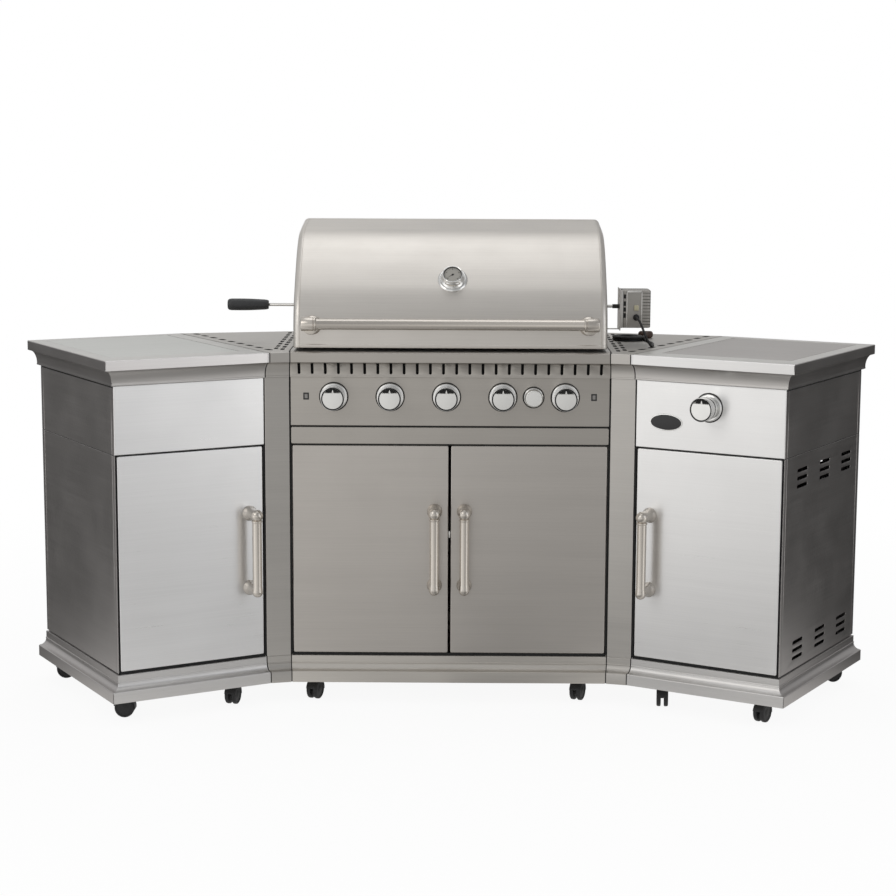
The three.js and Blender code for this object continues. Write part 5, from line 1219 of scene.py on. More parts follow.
# The lead
@dataclass
class MotorLead:
    """The rotisserie motor's lead: a free stretch down from the gland, a coil put away
    beside the hood, and the plug."""

    radius: float = 0.003
    tip: Point = (0.483, 0.02466, 0.983)
    steps: tuple[Point, ...] = (
        (0, 0, 0), (0, -0.012, -0.001), (0.004, -0.03445, -0.005), (0.011, -0.04445, -0.021),
        (0.019, -0.04845, -0.041), (0.027, -0.04545, -0.058), (0.034, -0.03545, -0.0676),
        (0.039, -0.01845, -0.0697), (0.044, 0.00955, -0.0697), (0.046, 0.03955, -0.0697),
        (0.044, 0.06955, -0.0697), (0.039, 0.09755, -0.0697), (0.035, 0.12155, -0.0697),
    )
    coil_centre: tuple[float, float] = (0.474, 0.332)
    coil_mean: float = 0.033
    pitch: float = 0.0066
    layer_turns: int = 3
    turn_steps: int = 24
    rest: float = 0.9133
    plug_length: float = 0.034

    def coil(self) -> Array:
        """The coil's centre line: the radius falls by a pitch in each turn of the lower
        layer and grows again in the upper one, and a cosine step lifts the line between."""
        total = 2 * self.layer_turns * self.turn_steps
        done = np.arange(total + 1) / self.turn_steps
        inward = np.minimum(done, self.layer_turns)
        outward = np.maximum(done - self.layer_turns, 0)
        lift = np.clip((done - self.layer_turns + 0.25) * 2, 0, 1)
        outer = self.coil_mean + self.pitch * self.layer_turns / 2
        radius = outer - self.pitch * (inward - outward)
        height = self.rest + self.pitch * 0.98 * (1 - np.cos(pi * lift)) / 2
        x, y = self.coil_centre
        angle = TURN * done
        circle = x + radius * np.cos(angle), y + PLAN.shift + radius * np.sin(angle)
        return np.column_stack([*circle, height])

    def build(self) -> None:
        """Makes the lead as one tube and the plug; the boot at the gland is made with the motor's
        housing.
        """
        coil = self.coil()
        route = np.array(self.tip) + np.array(self.steps)
        away = coil[-1] - coil[-2]
        away[2] = 0
        away /= np.linalg.norm(away)
        end = coil[-1] + away * self.coil_mean
        straight = coil[0] - (0, 4 * self.radius, 0)
        free = smooth_line(np.vstack([route, straight, coil[0]]), 4)
        wound = smooth_line(np.vstack([coil, end]), 2)
        line = np.vstack([free[:-1], wound])
        lead = make_piece(
            "motor_lead_tube", tube(line, self.radius, 12), RUBBER,
            stands_for=["motor_lead", "lead_coil"], crease=60,
        )
        plug = self.plug(end, away)

    def plug(self, tip: Array, away: Array) -> bpy.types.Object:
        """A moulded two pin plug: loops that widen from the neck to the body.

        Args:
            tip: Where the lead ends.
            away: Direction in which it ends.

        Returns:
            The plug's body.
        """
        length = self.plug_length
        sizes = (
            (0.0003, 0.0066, 0.0066), (0.3, 0.0075, 0.0075), (0.42, 0.019, 0.0115),
            (0.5, 0.036, 0.0175), (0.62, 0.0396, 0.019), (0.9, 0.0396, 0.019),
            (0.97, 0.038, 0.0178), (1.0, 0.034, 0.015),
        )
        loops = [
            level(share * length if share > 0.001 else share)(rounded_rectangle(
                -wide / 2, wide / 2, -high / 2, high / 2, min(wide, high) * 0.4, 5
            ))
            for share, wide, high in sizes
        ]
        body = lofted(np.array(loops), True, True)
        pins = [
            rod((s * 0.0095, 0, length - 0.002), (s * 0.0095, 0, length + 0.0125), 0.0024, 12)
            for s in (-1, 1)
        ]
        lift = max(tip[2], PLAN.top + 0.0003 + 0.0096)
        placing = Placing((*tip[:2], lift), tuple(np.cross(UP, away)), UP, tuple(away))
        make_piece("plug_pins", joined(pins).carried(placing), BRIGHT_WIRE)
        return make_piece(
            "lead_plug_body", body.carried(placing), PLUG_PLASTIC, stands_for=["lead_plug"],
            edge=0.0006,
        )


# Handles
@dataclass
class PullHandle:
    """An upright bar handle with ball ends on two posts, before the plane y = 0."""

    foot: float = 0.2925
    low: float = 0.310
    high: float = 0.502
    tube_radius: float = 0.0118
    ball_radius: float = 0.0155
    foot_radius: float = 0.0136
    standoff: float = 0.046
    post_radius: float = 0.0138
    rose_radius: float = 0.0193

    def surface(self, x: float) -> Surface:
        """The bar's profile swells into a rounded foot below and into a bead and a ball
        above. The posts are turned round their own line and flare to the door."""
        ball, foot, bar = self.ball_radius, self.foot_radius, self.tube_radius
        base, neck = self.foot + foot, self.high - ball * sin(radians(48))
        profile = np.vstack([
            arc((0, base), foot, -90, np.degrees(0.35), 11),
            [(foot - 0.0008, base + 0.008), (bar + 0.0003, base + 0.0125), (bar, base + 0.0145),
             (bar, neck - 0.0062), (bar + 0.0006, neck - 0.0056), (bar + 0.0018, neck - 0.0042),
             (bar + 0.0018, neck - 0.0016), (bar + 0.0006, neck - 0.0006)],
            arc((0, self.high), ball, -48, 90, 13),
        ])
        grip = revolved(profile, Placing((x, -self.standoff, 0)), 40)
        r, rose, reach = self.post_radius, self.rose_radius, self.standoff
        back = reach - 0.0003
        post = [(0, 0), (r, 0), (r, reach * 0.45), (r + 0.0008, reach * 0.62),
                (r + 0.0026, reach * 0.78), (rose, reach - 0.005), (rose, back), (0, back)]
        posts = [revolved(post, facing_rear(x, -reach, z), 36) for z in (self.low, self.high)]
        return joined([grip, *posts])


@dataclass
class Knob:
    """A gas knob in its own frame: it faces -Y and its panel is at y = 0."""

    radius: float = 0.030
    face_share: float = 0.845
    length: float = 0.046
    back: float = 0.0086
    chord: float = 0.5
    recess: float = 0.006
    bezel_radius: float = 0.0375
    bezel_height: float = 0.008
    bezel_bore: float = 0.017

    @property
    def front(self) -> float:
        """How far the knob stands out from the panel."""
        return self.back + self.length

    @property
    def face_reach(self) -> float:
        """The face's radius."""
        return self.radius * self.face_share

    def skirt(self) -> Surface:
        """The knob's round body, turned from its profile up to the face's edge."""
        r, front = self.radius, self.front
        profile = [
            (0.004, self.back), (r * 0.8, self.back), (r * 0.86, self.back + 0.0012),
            (r * 0.9, self.back + 0.004), (r * 0.965, self.back + 0.012), (r, front - 0.007),
            *arc((r - 0.0012, front - 0.0012), 0.0012, 0, 90, 4), (r - 0.0013, front - 0.0002),
            (r - 0.0015, front - 0.0014), (self.face_reach, front - 0.0014),
        ]
        return revolved(profile, FORWARD, 64)

    def face(self) -> Surface:
        """The face: a disc in rings, level up to a chord near its top; above the chord it
        steps back to the recess."""
        ring = np.linspace(0, 1, 26)
        angle = np.linspace(0, TURN, 96, endpoint=False)
        reach = self.face_reach
        x = reach * ring[:, None] * np.cos(angle)
        up = reach * ring[:, None] * np.sin(angle)
        line = self.radius * self.chord
        drop = np.clip((up - line) / 0.0009, 0, 1)
        drop = drop * np.clip((1 - ring[:, None]) * reach / 0.0012, 0, 1)
        crown = 0.0007 * (1 - ring[:, None] ** 2)
        height = self.front - 0.0006 + crown * (1 - drop) - drop * self.recess
        return lofted(np.stack([x, up, height], axis=-1)).carried(FORWARD)

    def pointer(self) -> Surface:
        """A small raised pointer on the recess."""
        front = self.front - self.recess + 0.0004
        foot, tip = (0.0032, 0.0146), (0.0006, 0.0222)
        outline = np.array([(-foot[0], foot[1]), foot, tip, (-tip[0], tip[1])])
        loops = np.array([level(front - 0.002)(outline), level(front + 0.0018)(outline * (0.8, 1))])
        return lofted(loops, True, True).carried(FORWARD)

    def bezel(self, radius: float) -> Surface:
        """The ring on the panel: a flat foot, a domed shoulder, a groove and an inner lip."""
        h, bore, inner = self.bezel_height, self.bezel_bore, radius - 0.0028
        shoulder = arc((inner - 0.0036, h * 0.5), (0.0036, h * 0.5), 0, 90, 7)
        profile = [
            (radius, -0.0002), (radius, h * 0.3), (radius - 0.0004, h * 0.42),
            (radius - 0.0011, h * 0.42), (radius - 0.0013, h * 0.2), (inner, h * 0.2), *shoulder,
            (bore + 0.0012, h - 0.0004), (bore, h - 0.0016), (bore, 0.0),
        ]
        return revolved(profile, FORWARD, 72)

    def groove_shades(self, radius: float) -> Surface:
        """Painted shade: a black ring in the bezel's groove that darkens it."""
        h = self.bezel_height * 0.43
        return revolved([(radius - 0.0003, h), (radius - 0.0029, h)], FORWARD, 72)

    def rim(self) -> Surface:
        """Painted shade: a black ring between the knob's face and its edge, for the dark line round
        the face.
        """
        h = self.front - 0.001
        ring = [(self.radius - 0.0014, h), (self.face_reach - 0.0002, h)]
        return revolved(ring, FORWARD, 64)

    def build(self, node: str, placing: Placing) -> None:
        """Makes a knob in a placing and hangs it on its own body."""
        ahead = tuple(-c for c in placing.y)
        body = self.skirt() + rod((0, -self.back - 0.004, 0), (0, 0.04, 0), 0.004)
        make_piece(f"{node}_skirt", body.carried(placing), CHROME, node, [node])
        make_piece(f"{node}_face", self.face().carried(placing), SATIN_FACE, node, facing=ahead,
                   crease=28)
        recess = flat_sheet(self.crescent(), [], upright(self.recess - 0.0003 - self.front))
        # this piece holds the recess's black sheet and the rim's painted shade ring
        make_piece(f"{node}_recess", (recess + self.rim()).carried(placing), SHADE_AND_DETAIL_BLACK, node,
                   facing=ahead)
        make_piece(f"{node}_pointer", self.pointer().carried(placing), SATIN_FACE, node)

    def crescent(self) -> Array:
        """The outline of the black inlay in the recess: an arc over a chord."""
        reach, line = self.radius * 0.81, self.radius * self.chord + 0.0008
        half = np.degrees(np.arccos(line / reach))
        return arc((0, 0), reach, 90 - half, 90 + half, 20)


# Centre
def centre_piece(
    name: str, surface: Surface, finish: Finish, body: str = "island", **looks: object
) -> None:
    """A piece drawn in the centre cabinet's own axes."""
    make_piece(name, surface.carried(PLAN.centre()), finish, body, **looks)


@dataclass
class CentreCabinet:
    """The grill cabinet below its control panel: plinth, walls, rail and doors."""

    side_gap: float = 0.0015
    meeting: float = 0.0033
    depth: float = 0.020
    edge: float = 0.0024
    flange: float = 0.020
    pull_inset: float = 0.038
    half: float = PLAN.centre_half - PLAN.half_seam

    def build(self) -> None:
        """Makes the cabinet."""
        reach, front = self.half - 0.013, PLAN.shift + 0.013
        mouth = rounded_rectangle(-reach, reach, front, front + 0.514, 0.004)
        tray = joined([skirting(PLAN.centre_outline), *plinth_plates(PLAN.centre_outline, mouth)])
        make_piece("centre_plinth", tray, PLINTH_STEEL, stands_for=["centre_base"],
                   facing=(0, -1, -0.2), wall=PLAN.sheet)
        self.carcass()
        for hand in Hand:
            self.door(hand)

    def carcass(self) -> None:
        """The rail over the doors, the two side walls, the vented rear panel and the
        painted shade in the gaps: black strips on the stiles' fronts and in the level gaps."""
        half, inset = self.half, PLAN.face_inset
        rail = pan(inset - half, half - inset, PLAN.split, PLAN.rail_top, 0.018, 0.0018, 0.01)
        centre_piece("centre_rail", rail, PANEL_STEEL, stands_for=["centre_carcass"],
                     facing=FRONT, wall=0.002)
        rows = [PLAN.plinth_top + 0.0485 + 0.04 * row for row in range(5)]
        holes = [slot_outline((x, z), 0.072, 0.009) for z in rows for x in (-0.158, 0.158)]
        holes.append(rounded_rectangle(-0.1925, 0.1925, 0.709, 0.745, 0.002))
        low, high, seam = PLAN.plinth_top + 0.0003, PLAN.top - 0.0028, PLAN.split - 0.0002
        outline = rounded_rectangle(-half, half, low, high, 0.002)
        centre_piece("centre_rear_panel", flat_sheet(outline, holes, upright(PLAN.depth)),
                     LINING_STEEL, facing=REAR, wall=0.0024)

        def both(wide: float, y: Sequence, z: Sequence, radius: float) -> list[Surface]:
            """Blocks of a width along the left and the right side."""
            return [soft_box(sorted((s * half, s * (half - wide))), y, z, radius)
                    for s in (-1, 1)]

        rear = PLAN.depth - 0.0026
        walls = both(PLAN.stile, (0.02, rear), (low, seam), 0.0006)
        walls += both(PLAN.stile, (0.0224, rear), (PLAN.rail_top, high), 0.0006)
        centre_piece("centre_walls", joined(walls), CENTRE_STEEL)
        # painted shade: black strips on the stiles' fronts and in the gaps over and under the doors
        # and under the panel
        band = (0.0008, 0.0198)
        dark = both(0.0024, band, (low, seam), 0.0003)
        dark += both(inset - 0.0001, band, (PLAN.split, PLAN.cornice_bottom - 0.001), 0.0003)
        rail_gap = (PLAN.rail_top - 0.0006, PLAN.panel_bottom + 0.0004)
        dark.append(gap_shade_strips(0.001 - half, half - 0.001, [*PLAN.gaps, rail_gap]))
        centre_piece("centre_gaps", joined(dark), SHADE_AND_DETAIL_BLACK)

    def door(self, hand: Hand) -> None:
        """A door and its handle, on the door's body; the left one has the catch."""
        name = f"centre_{hand.word}_door"
        outer = self.half - PLAN.stile - self.side_gap
        panel = pan(self.meeting, outer, PLAN.door_bottom, PLAN.door_top, self.depth, self.edge,
                    self.flange)
        centre_piece(f"{name}_panel", panel.mirrored(hand), CENTRE_STEEL, name,
                     stands_for=[name], facing=FRONT, wall=0.0016)
        centre_piece(f"{name}_pull", PullHandle().surface(self.pull_inset).mirrored(hand),
                     NICKEL, name, stands_for=[f"centre_{hand.word}_handle"])
        if hand is Hand.LEFT:
            catch = soft_box((-0.0022, 0.0022), (0.004, 0.009), (0.4325, 0.4495), 0.0004)
            centre_piece("door_catch", catch, BRIGHT_WIRE, name)


@dataclass
class ControlPanel:
    """The slotted cornice and the face below it, one bent sheet, with its bezels."""

    depth: float = 0.022
    proud: float = 0.001
    slots: int = 24
    slot_width: float = 0.0072
    slot_low: float = 0.853
    slot_high: float = 0.882
    slot_span: float = 0.762
    fan_rise: float = 0.0745
    symbol_x: float = 0.364
    igniter_bezel: float = 0.028

    def profile(self) -> Array:
        """The bend of the sheet from the deck over the fascia and the cove down to the
        face's foot, as (y, z)."""
        foot, proud = PLAN.panel_bottom, self.proud
        line = [(self.depth, PLAN.top)] + [(-out, z) for z, out in reversed(PLAN.cornice())]
        line += [(-proud, PLAN.cornice_bottom - 0.0004), (-proud, foot + 0.0016),
                 (0.0005 - proud, foot + 0.0005), (0.0006, foot), (self.depth, foot)]
        return np.array(line)

    def build(self) -> None:
        """Makes the panel, its knobs and the igniter."""
        line = self.profile()
        run = np.concatenate([[0], np.cumsum(np.linalg.norm(np.diff(line, axis=0), axis=1))])
        half = PLAN.centre_half - PLAN.half_seam
        widths = half - np.clip(-line[:, 0], 0, None) * tan(PLAN.wedge_turn / 2)
        widths[line[:, 1] < PLAN.cornice_bottom] -= PLAN.face_inset
        hollow = [i for i, (_, z) in enumerate(line)
                  if PLAN.cornice_bottom + 0.0045 < z < PLAN.top - PLAN.fascia]
        top, foot = np.interp((-self.slot_high, -self.slot_low), -line[hollow, 1], run[hollow])
        r = self.slot_width / 2
        slot = np.vstack([arc((0, foot - r), r, 0, 180, 8), [(-r, top), (r, top)]])
        slots = [slot + (x, 0) for x in np.linspace(-0.5, 0.5, self.slots) * self.slot_span]
        outline = np.vstack([
            np.column_stack([widths, run]), np.column_stack([-widths, run])[::-1]
        ])
        creases = [np.array([(-w, s), (w, s)]) for w, s in zip(widths[1:-1], run[1:-1])]

        def bent(flat: Array) -> Array:
            """Lays the flat sheet along the profile."""
            x, along = flat.T
            return np.column_stack([x, *(np.interp(along, run, side) for side in line.T)])

        centre_piece("control_panel_sheet", flat_sheet(outline, slots, bent, creases),
                     PANEL_STEEL, stands_for=["control_panel"], facing=(0, -1, 0.1),
                     wall=0.0016, crease=28)
        # painted shade: a black plate behind the slotted cove and the panel's foot, where the slots
        # and the gap would show shade
        dark = soft_box((0.0022 - half, half - 0.0022), (0.004, 0.012), (0.7223, 0.9), 0.001)
        centre_piece("control_panel_backing", dark, SHADE_AND_DETAIL_BLACK)
        low, high, rear = PLAN.panel_bottom + 0.001, PLAN.top - 0.002, self.depth
        end = np.array([(0.001 - self.proud, low), (rear, low), (rear, high), (0.0, high)])
        ends = [flat_sheet(end, [], sideways(s * (half - 0.0012))) for s in (-1, 1)]
        centre_piece("control_panel_ends", joined(ends), LINING_STEEL, facing=FRONT, wall=0.001)
        self.fittings()

    def place_of(self, node: str) -> Placing:
        """Where a knob or the igniter sits on the panel."""
        low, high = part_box(node)
        return Placing(((low.x + high.x) / 2, PLAN.shift - self.proud,
                        PLAN.panel_bottom + self.fan_rise))

    def fittings(self) -> None:
        """Bezels, knobs, the igniter and the two bare symbols."""
        knob, groove_shades = Knob(), []

        def ring(name: str, placing: Placing, radius: float) -> None:
            """A bezel, whose painted shade ring in the groove joins the others."""
            make_piece(f"{name}_bezel", knob.bezel(radius).carried(placing), CHROME)
            groove_shades.append(knob.groove_shades(radius).carried(placing))

        for i in range(1, 6):
            node = f"burner_knob_{i}"
            ring(node, self.place_of(node), knob.bezel_radius)
            knob.build(node, self.place_of(node))
        placing = self.place_of("igniter_button")
        ring("igniter", placing, self.igniter_bezel)
        # painted shade: the black rings in the bezels' grooves
        make_piece("bezel_grooves", joined(groove_shades), SHADE_AND_DETAIL_BLACK, facing=FRONT)
        self.igniter(placing)
        before = upright(-self.proud - 0.0003)
        for x, word in ((-self.symbol_x, "left"), (self.symbol_x, "right")):
            outline = rounded_rectangle(x - 0.0074, x + 0.0074, 0.7872, 0.8054, 0.0012)
            inner = rounded_rectangle(x - 0.0036, x + 0.0036, 0.7912, 0.8014, 0.0008)
            for part, loop, holes, finish in (("frame", outline, [inner], IRON),
                                              ("field", inner, [], LINING_STEEL)):
                centre_piece(f"symbol_{word}_{part}", flat_sheet(loop, holes, before), finish,
                             facing=FRONT, wall=0.0002)

    def igniter(self, placing: Placing) -> None:
        """The igniter's cap, turned, with a satin face."""
        front, r, foot = 0.032, 0.0225, 0.0136
        profile = [
            (0.003, foot), (r * 0.96, foot), (r, foot + 0.0016), (r, front - 0.005),
            *arc((r * 0.94 - 0.002, front - 0.002), 0.002, 0, 90, 4), (r * 0.82, front),
            (r * 0.8, front - 0.0008), (0, front - 0.0004),
        ]
        cap = revolved(profile, FORWARD, 56) + rod((0, -0.02, 0), (0, 0.04, 0), 0.004)
        make_piece("igniter_cap", cap.carried(placing), SATIN_FACE, "igniter_button",
                   ["igniter_button"])


# Sides
@dataclass
class SideCabinet:
    """A side cabinet, drawn for the right hand: plinth, walls, door, worktop and lid."""

    hand: Hand
    pull_inset: float = 0.044
    lid_inner: float = 0.048
    lid_outer: float = 0.010
    lid_front: float = 0.045
    lid_rear: float = 0.022
    lid_gap: float = 0.0016
    lid_corner: float = 0.0045
    vent_length: float = 0.072
    vent_height: float = 0.0095
    badge: tuple[float, float] = (0.084, 0.742)
    badge_radii: tuple[float, float] = (0.0445, 0.0215)

    def turned(self, direction: Point) -> Point:
        """A direction in the cabinet's own axes, in the row frame."""
        x, y, z = np.asarray(direction) @ np.array([PLAN.side().x, PLAN.side().y, UP])
        return (x * self.hand.value, y, z)

    def piece(
        self, name: str, surface: Surface, finish: Finish, ahead: Point | None = None,
        in_plan: bool = False, **looks: object,
    ) -> None:
        """A piece of the cabinet.

        Args:
            name: Its name, without the hand.
            surface: Its surface, drawn for the right hand.
            finish: Its finish.
            ahead: For an open sheet, where its outside faces, in the cabinet's own axes.
            in_plan: Whether the surface is in the row frame, not in the cabinet's axes.
            **looks: What make_piece takes besides.
        """
        placed = surface if in_plan else surface.carried(PLAN.side())
        make_piece(f"{self.hand.word}_{name}", placed.mirrored(self.hand), finish,
                   facing=None if ahead is None else self.turned(ahead), **looks)

    def opening(self, grow: float) -> Array:
        """The lid's outline in the cabinet's own axes, grown by an amount."""
        return rounded_rectangle(
            self.lid_inner - grow, PLAN.side_width - self.lid_outer + grow,
            self.lid_front - grow, PLAN.depth - self.lid_rear + grow, self.lid_corner,
        )

    def build(self) -> None:
        """Makes the cabinet."""
        word, steels = self.hand.word, side_finishes(self.hand)

        def in_plan(loop: Array) -> Array:
            """A loop in the cabinet's own axes, in plan."""
            return PLAN.side().carry(np.column_stack([loop, np.zeros(len(loop))]))[:, :2]

        top = worktop(PLAN.side_outline, [in_plan(self.opening(self.lid_gap))])
        self.piece("worktop_sheet", top, steels["deck"], UP, True,
                   stands_for=[f"{word}_worktop"], wall=PLAN.sheet)
        for part, shape in (("fascia", fascia), ("cove", cove), ("skirting", skirting)):
            for where, corners, ahead in (("front", (4, 5, 0, 1, 2, 3), (-1, -0.1, 0)),
                                          ("end", (3, 4), (1, 0, 0))):
                finish = steels[part if where == "front" else "end"]
                self.piece(f"{part}_{where}", shape(PLAN.side_outline, corners), finish, ahead,
                           True, wall=0.0016, crease=28)
        mouth = in_plan(rounded_rectangle(0.0143, PLAN.side_width - 0.013, 0.013, 0.527, 0.004))
        floor, flange = plinth_plates(PLAN.side_outline, mouth)
        self.piece("plinth_floor", floor, steels["deck"], (0, 0, -1), True,
                   stands_for=[f"{word}_base"], wall=PLAN.sheet)
        self.piece("plinth_flange", flange, steels["deck"], UP, True, wall=PLAN.sheet)
        self.carcass(steels)
        # painted shade: the ledge round the lid's opening is black, so the joint round the lid reads
        # dark
        ledge = [level(PLAN.top - drop)(self.opening(self.lid_gap - inset))
                 for inset, drop in ((0, 0.0005), (0, 0.0108), (0.0145, 0.0108))]
        self.piece("ledge", lofted(np.array(ledge)), SHADE_AND_DETAIL_BLACK, UP, wall=0.0015)
        inner, outer = PLAN.half_seam + 0.0049, PLAN.side_width - 0.0059
        panel = pan(inner, outer, PLAN.door_bottom, PLAN.door_top, 0.020, 0.0024, 0.020)
        self.piece("door_panel", panel, steels["front"], FRONT, body=f"{word}_door",
                   stands_for=[f"{word}_door"], wall=0.0016)
        self.piece("door_pull", PullHandle().surface(self.pull_inset), NICKEL,
                   body=f"{word}_door", stands_for=[f"{word}_handle"])
        lid = pan(self.lid_inner, PLAN.side_width - self.lid_outer, self.lid_front,
                  PLAN.depth - self.lid_rear, 0.008, 0.0022, 0.004, -PLAN.top, self.lid_corner)
        lid = Surface(lid.points[:, [0, 2, 1]] * (1, 1, -1), lid.faces)
        self.piece("lid_sheet", lid, steels["lid"], UP, body=f"{word}_lid",
                   stands_for=[f"{word}_lid"], wall=0.002)
        if self.hand is Hand.RIGHT:
            self.knob_and_badge()

    def carcass(self, steels: dict[str, BrushedSteel]) -> None:
        """The front panel over the door, the end panel with its vents, the inner wall,
        the rear panel and the painted shade: black strips on the stiles, in the door gaps, under the
        cornice's lip on the end and in the end panel's pressed seam."""
        width, depth, inner, split = PLAN.side_width, PLAN.depth, PLAN.half_seam, PLAN.split
        low, high = PLAN.plinth_top + 0.0003, PLAN.cornice_bottom - 0.0003
        front = pan(inner, width - 0.0002, split, high, 0.018, 0.0016, 0.01, corner=0.0012)
        self.piece("front_panel", front, steels["front"], FRONT,
                   stands_for=[f"{self.hand.word}_carcass"], wall=0.0018)
        vents = [
            slot_outline((depth / 2 + 0.013 + 0.158 * column, z + 0.02 * row),
                         self.vent_length, self.vent_height)
            for z in (split - 0.0615, PLAN.plinth_top + 0.0485)
            for column in (-1, 0, 1) for row in (-1, 0, 1)
        ]
        seam, groove, stiles, fine = split - 0.0012, 0.0011, (0.0175, depth - 0.0175), 0.0008
        lines = [np.array([(0.0, z), (depth, z)]) for z in
                 (seam - groove, seam - groove / 2, seam + groove / 2, seam + groove)]
        lines += [np.array([(y + d, low - 0.01), (y + d, high + 0.01)])
                  for y in stiles for d in (-fine, 0.0, fine)]

        def pressed(flat: Array) -> Array:
            """Presses the seam in by 1.2 mm and the two stile lines by 0.8 mm."""
            y, z = flat.T
            sunk = np.clip(1 - np.abs(z - seam) / groove, 0, 1)
            for line in stiles:
                sunk = np.maximum(sunk, np.clip(1 - np.abs(y - line) / fine, 0, 1) * 0.7)
            return np.column_stack([width - 0.0012 * sunk, y, z])

        outline = rounded_rectangle(0.0012, depth, low, high - 0.004, 0.0008)
        end = flat_sheet(outline, vents if self.hand is Hand.RIGHT else [], pressed, lines)
        self.piece("end_panel", end, steels["end"], (1, 0, 0), wall=0.0016, crease=20)
        vents = [
            slot_outline((width / 2 + column * 0.072, split - 0.0615 + 0.02 * row), 0.0576, 0.009)
            for column in (-1, 1) for row in (-1, 0, 1)
        ]
        outline = rounded_rectangle(inner, width - 0.0006, low, high, 0.0008)
        self.piece("rear_panel", flat_sheet(outline, vents, upright(depth)), steels["end"], REAR,
                   wall=0.0016)
        wall, foot = (inner, inner + PLAN.stile), (low, split - 0.0002)
        walls = soft_boxes((wall, (0.02, depth - 0.002), foot, 0.0006),
                           (wall, (0.019, depth - 0.002), (split, high), 0.0006))
        self.piece("inner_walls", walls, steels["lining"])
        # painted shade: black strips on the stiles, in the gaps over and under the door, under the
        # cornice's lip and in the pressed seam
        band = (0.0008, 0.0188)
        dark = [
            soft_boxes(((inner, inner + 0.0024), band, foot, 0.0003),
                       ((width - PLAN.stile, width - 0.0018), band, foot, 0.0003)),
            gap_shade_strips(inner + 0.001, width - 0.0018, PLAN.gaps),
            soft_boxes(((width - 0.0012, width + 0.0004), (0.004, depth - 0.003),
                        (high - 0.0052, high), 0.0002),
                       ((width - 0.0016, width - 0.0002), (0.001, depth - 0.001),
                        (seam - 0.0006, seam + 0.0006), 0.0001)),
        ]
        self.piece("gaps", joined(dark), SHADE_AND_DETAIL_BLACK)

    def knob_and_badge(self) -> None:
        """The side burner's knob with its bezel, and a bare oval badge."""
        side, knob, ahead = PLAN.side(), Knob(), self.turned(FRONT)
        height = PLAN.panel_bottom + ControlPanel.fan_rise - 0.009
        origin = side.carry(np.array([(PLAN.side_width / 2, 0, height)]))[0]
        where = Placing(tuple(origin), side.x, side.y, side.z)
        make_piece("side_bezel", knob.bezel(knob.bezel_radius).carried(where), CHROME)
        # painted shade: a black ring in the side bezel's groove
        make_piece("side_groove", knob.groove_shades(knob.bezel_radius).carried(where), SHADE_AND_DETAIL_BLACK,
                   facing=ahead)
        knob.build("side_knob", where)

        def oval(name: str, loops: Sequence, finish: Finish) -> None:
            """A sheet over ovals, each given by its depth and its two radii."""
            skin = [upright(-depth)(arc(self.badge, radii, 0, 360, 64)[:-1])
                    for depth, radii in loops]
            make_piece(name, lofted(np.array(skin)).carried(side), finish, facing=ahead)

        radii, field_radii = np.array(self.badge_radii), np.array([0.0418, 0.0188])
        rim = ((0, 0), (0.0012, 0), (0.0018, 0.0006), (0.0019, 0.0022), (0.0013, 0.0028))
        oval("badge_rim", [(depth, radii - inset) for depth, inset in rim], CHROME)
        oval("badge_field", [(0.0012 + 0.0008 * (1 - k * k), field_radii * k)
                             for k in (1.0, 0.8, 0.6, 0.4, 0.2, 0.001)], BADGE_BLACK)


@dataclass
class CornerUnit:
    """A wedge between the centre and a side cabinet: deck with slots, strip and plinth."""

    hand: Hand
    post_depth: float = 0.026
    slot_length: float = 0.036
    outer_pitch: float = 0.0585
    inner_pitch: float = 0.060
    slot_end: float = 0.504
    outer_end: float = 0.518

    def slots(self) -> list[Array]:
        """One row of slots along the side cabinet and two along the grill."""
        turn = 2 * PLAN.wedge_turn
        line, across = np.array([sin(turn), cos(turn)]), np.array([-cos(turn), sin(turn)])
        rows = [
            slot_outline(PLAN.wedge_end + line * along + across * 0.034, self.slot_length,
                         0.016, 60)
            for along in np.arange(0.045, self.outer_end, self.outer_pitch)
        ]
        for row in (0, 1):
            first = 0.0504 + row * 0.35 * self.inner_pitch
            rows += [
                slot_outline((PLAN.centre_half + 0.021 + row * 0.018, PLAN.shift + along),
                             self.slot_length + 0.006, 0.0105, 90)
                for along in np.arange(first, self.slot_end, self.inner_pitch)
            ]
        return rows

    def build(self) -> None:
        """Makes the unit."""
        name, plan = self.hand.word, PLAN.wedge_outline
        finish = steel(f"{name}_corner", (0.58, 0.56, 0.53),
                       turn=PLAN.wedge_turn * self.hand.value)
        facing = (sin(PLAN.wedge_turn) * -self.hand.value, -1, 0.8)
        top = joined([worktop(plan, self.slots()), fascia(plan), cove(plan)])
        make_piece(f"{name}_corner_top", top.mirrored(self.hand), finish,
                   stands_for=[f"{name}_corner"], facing=facing, wall=0.0007, crease=28)
        dark = flat_sheet(plan(0.0, 0.0), [], level(PLAN.top - 0.0013))
        make_piece(f"{name}_corner_shade", dark.mirrored(self.hand), SHADE_AND_DETAIL_BLACK, facing=UP,
                   wall=0.001)
        low, high = PLAN.plinth_top - 0.004, PLAN.cornice_bottom + 0.003
        strip = ((low, 0.001), (high, 0.001))
        for part, levels, edge in (("strip", strip, 0.0008), ("plinth", PLAN.plinth(), 0.0)):
            loops = np.array([level(z)(plan(out, 0.0, self.post_depth)) for z, out in levels])
            make_piece(f"{name}_corner_{part}", lofted(loops, True, True).mirrored(self.hand),
                       finish, edge=edge)


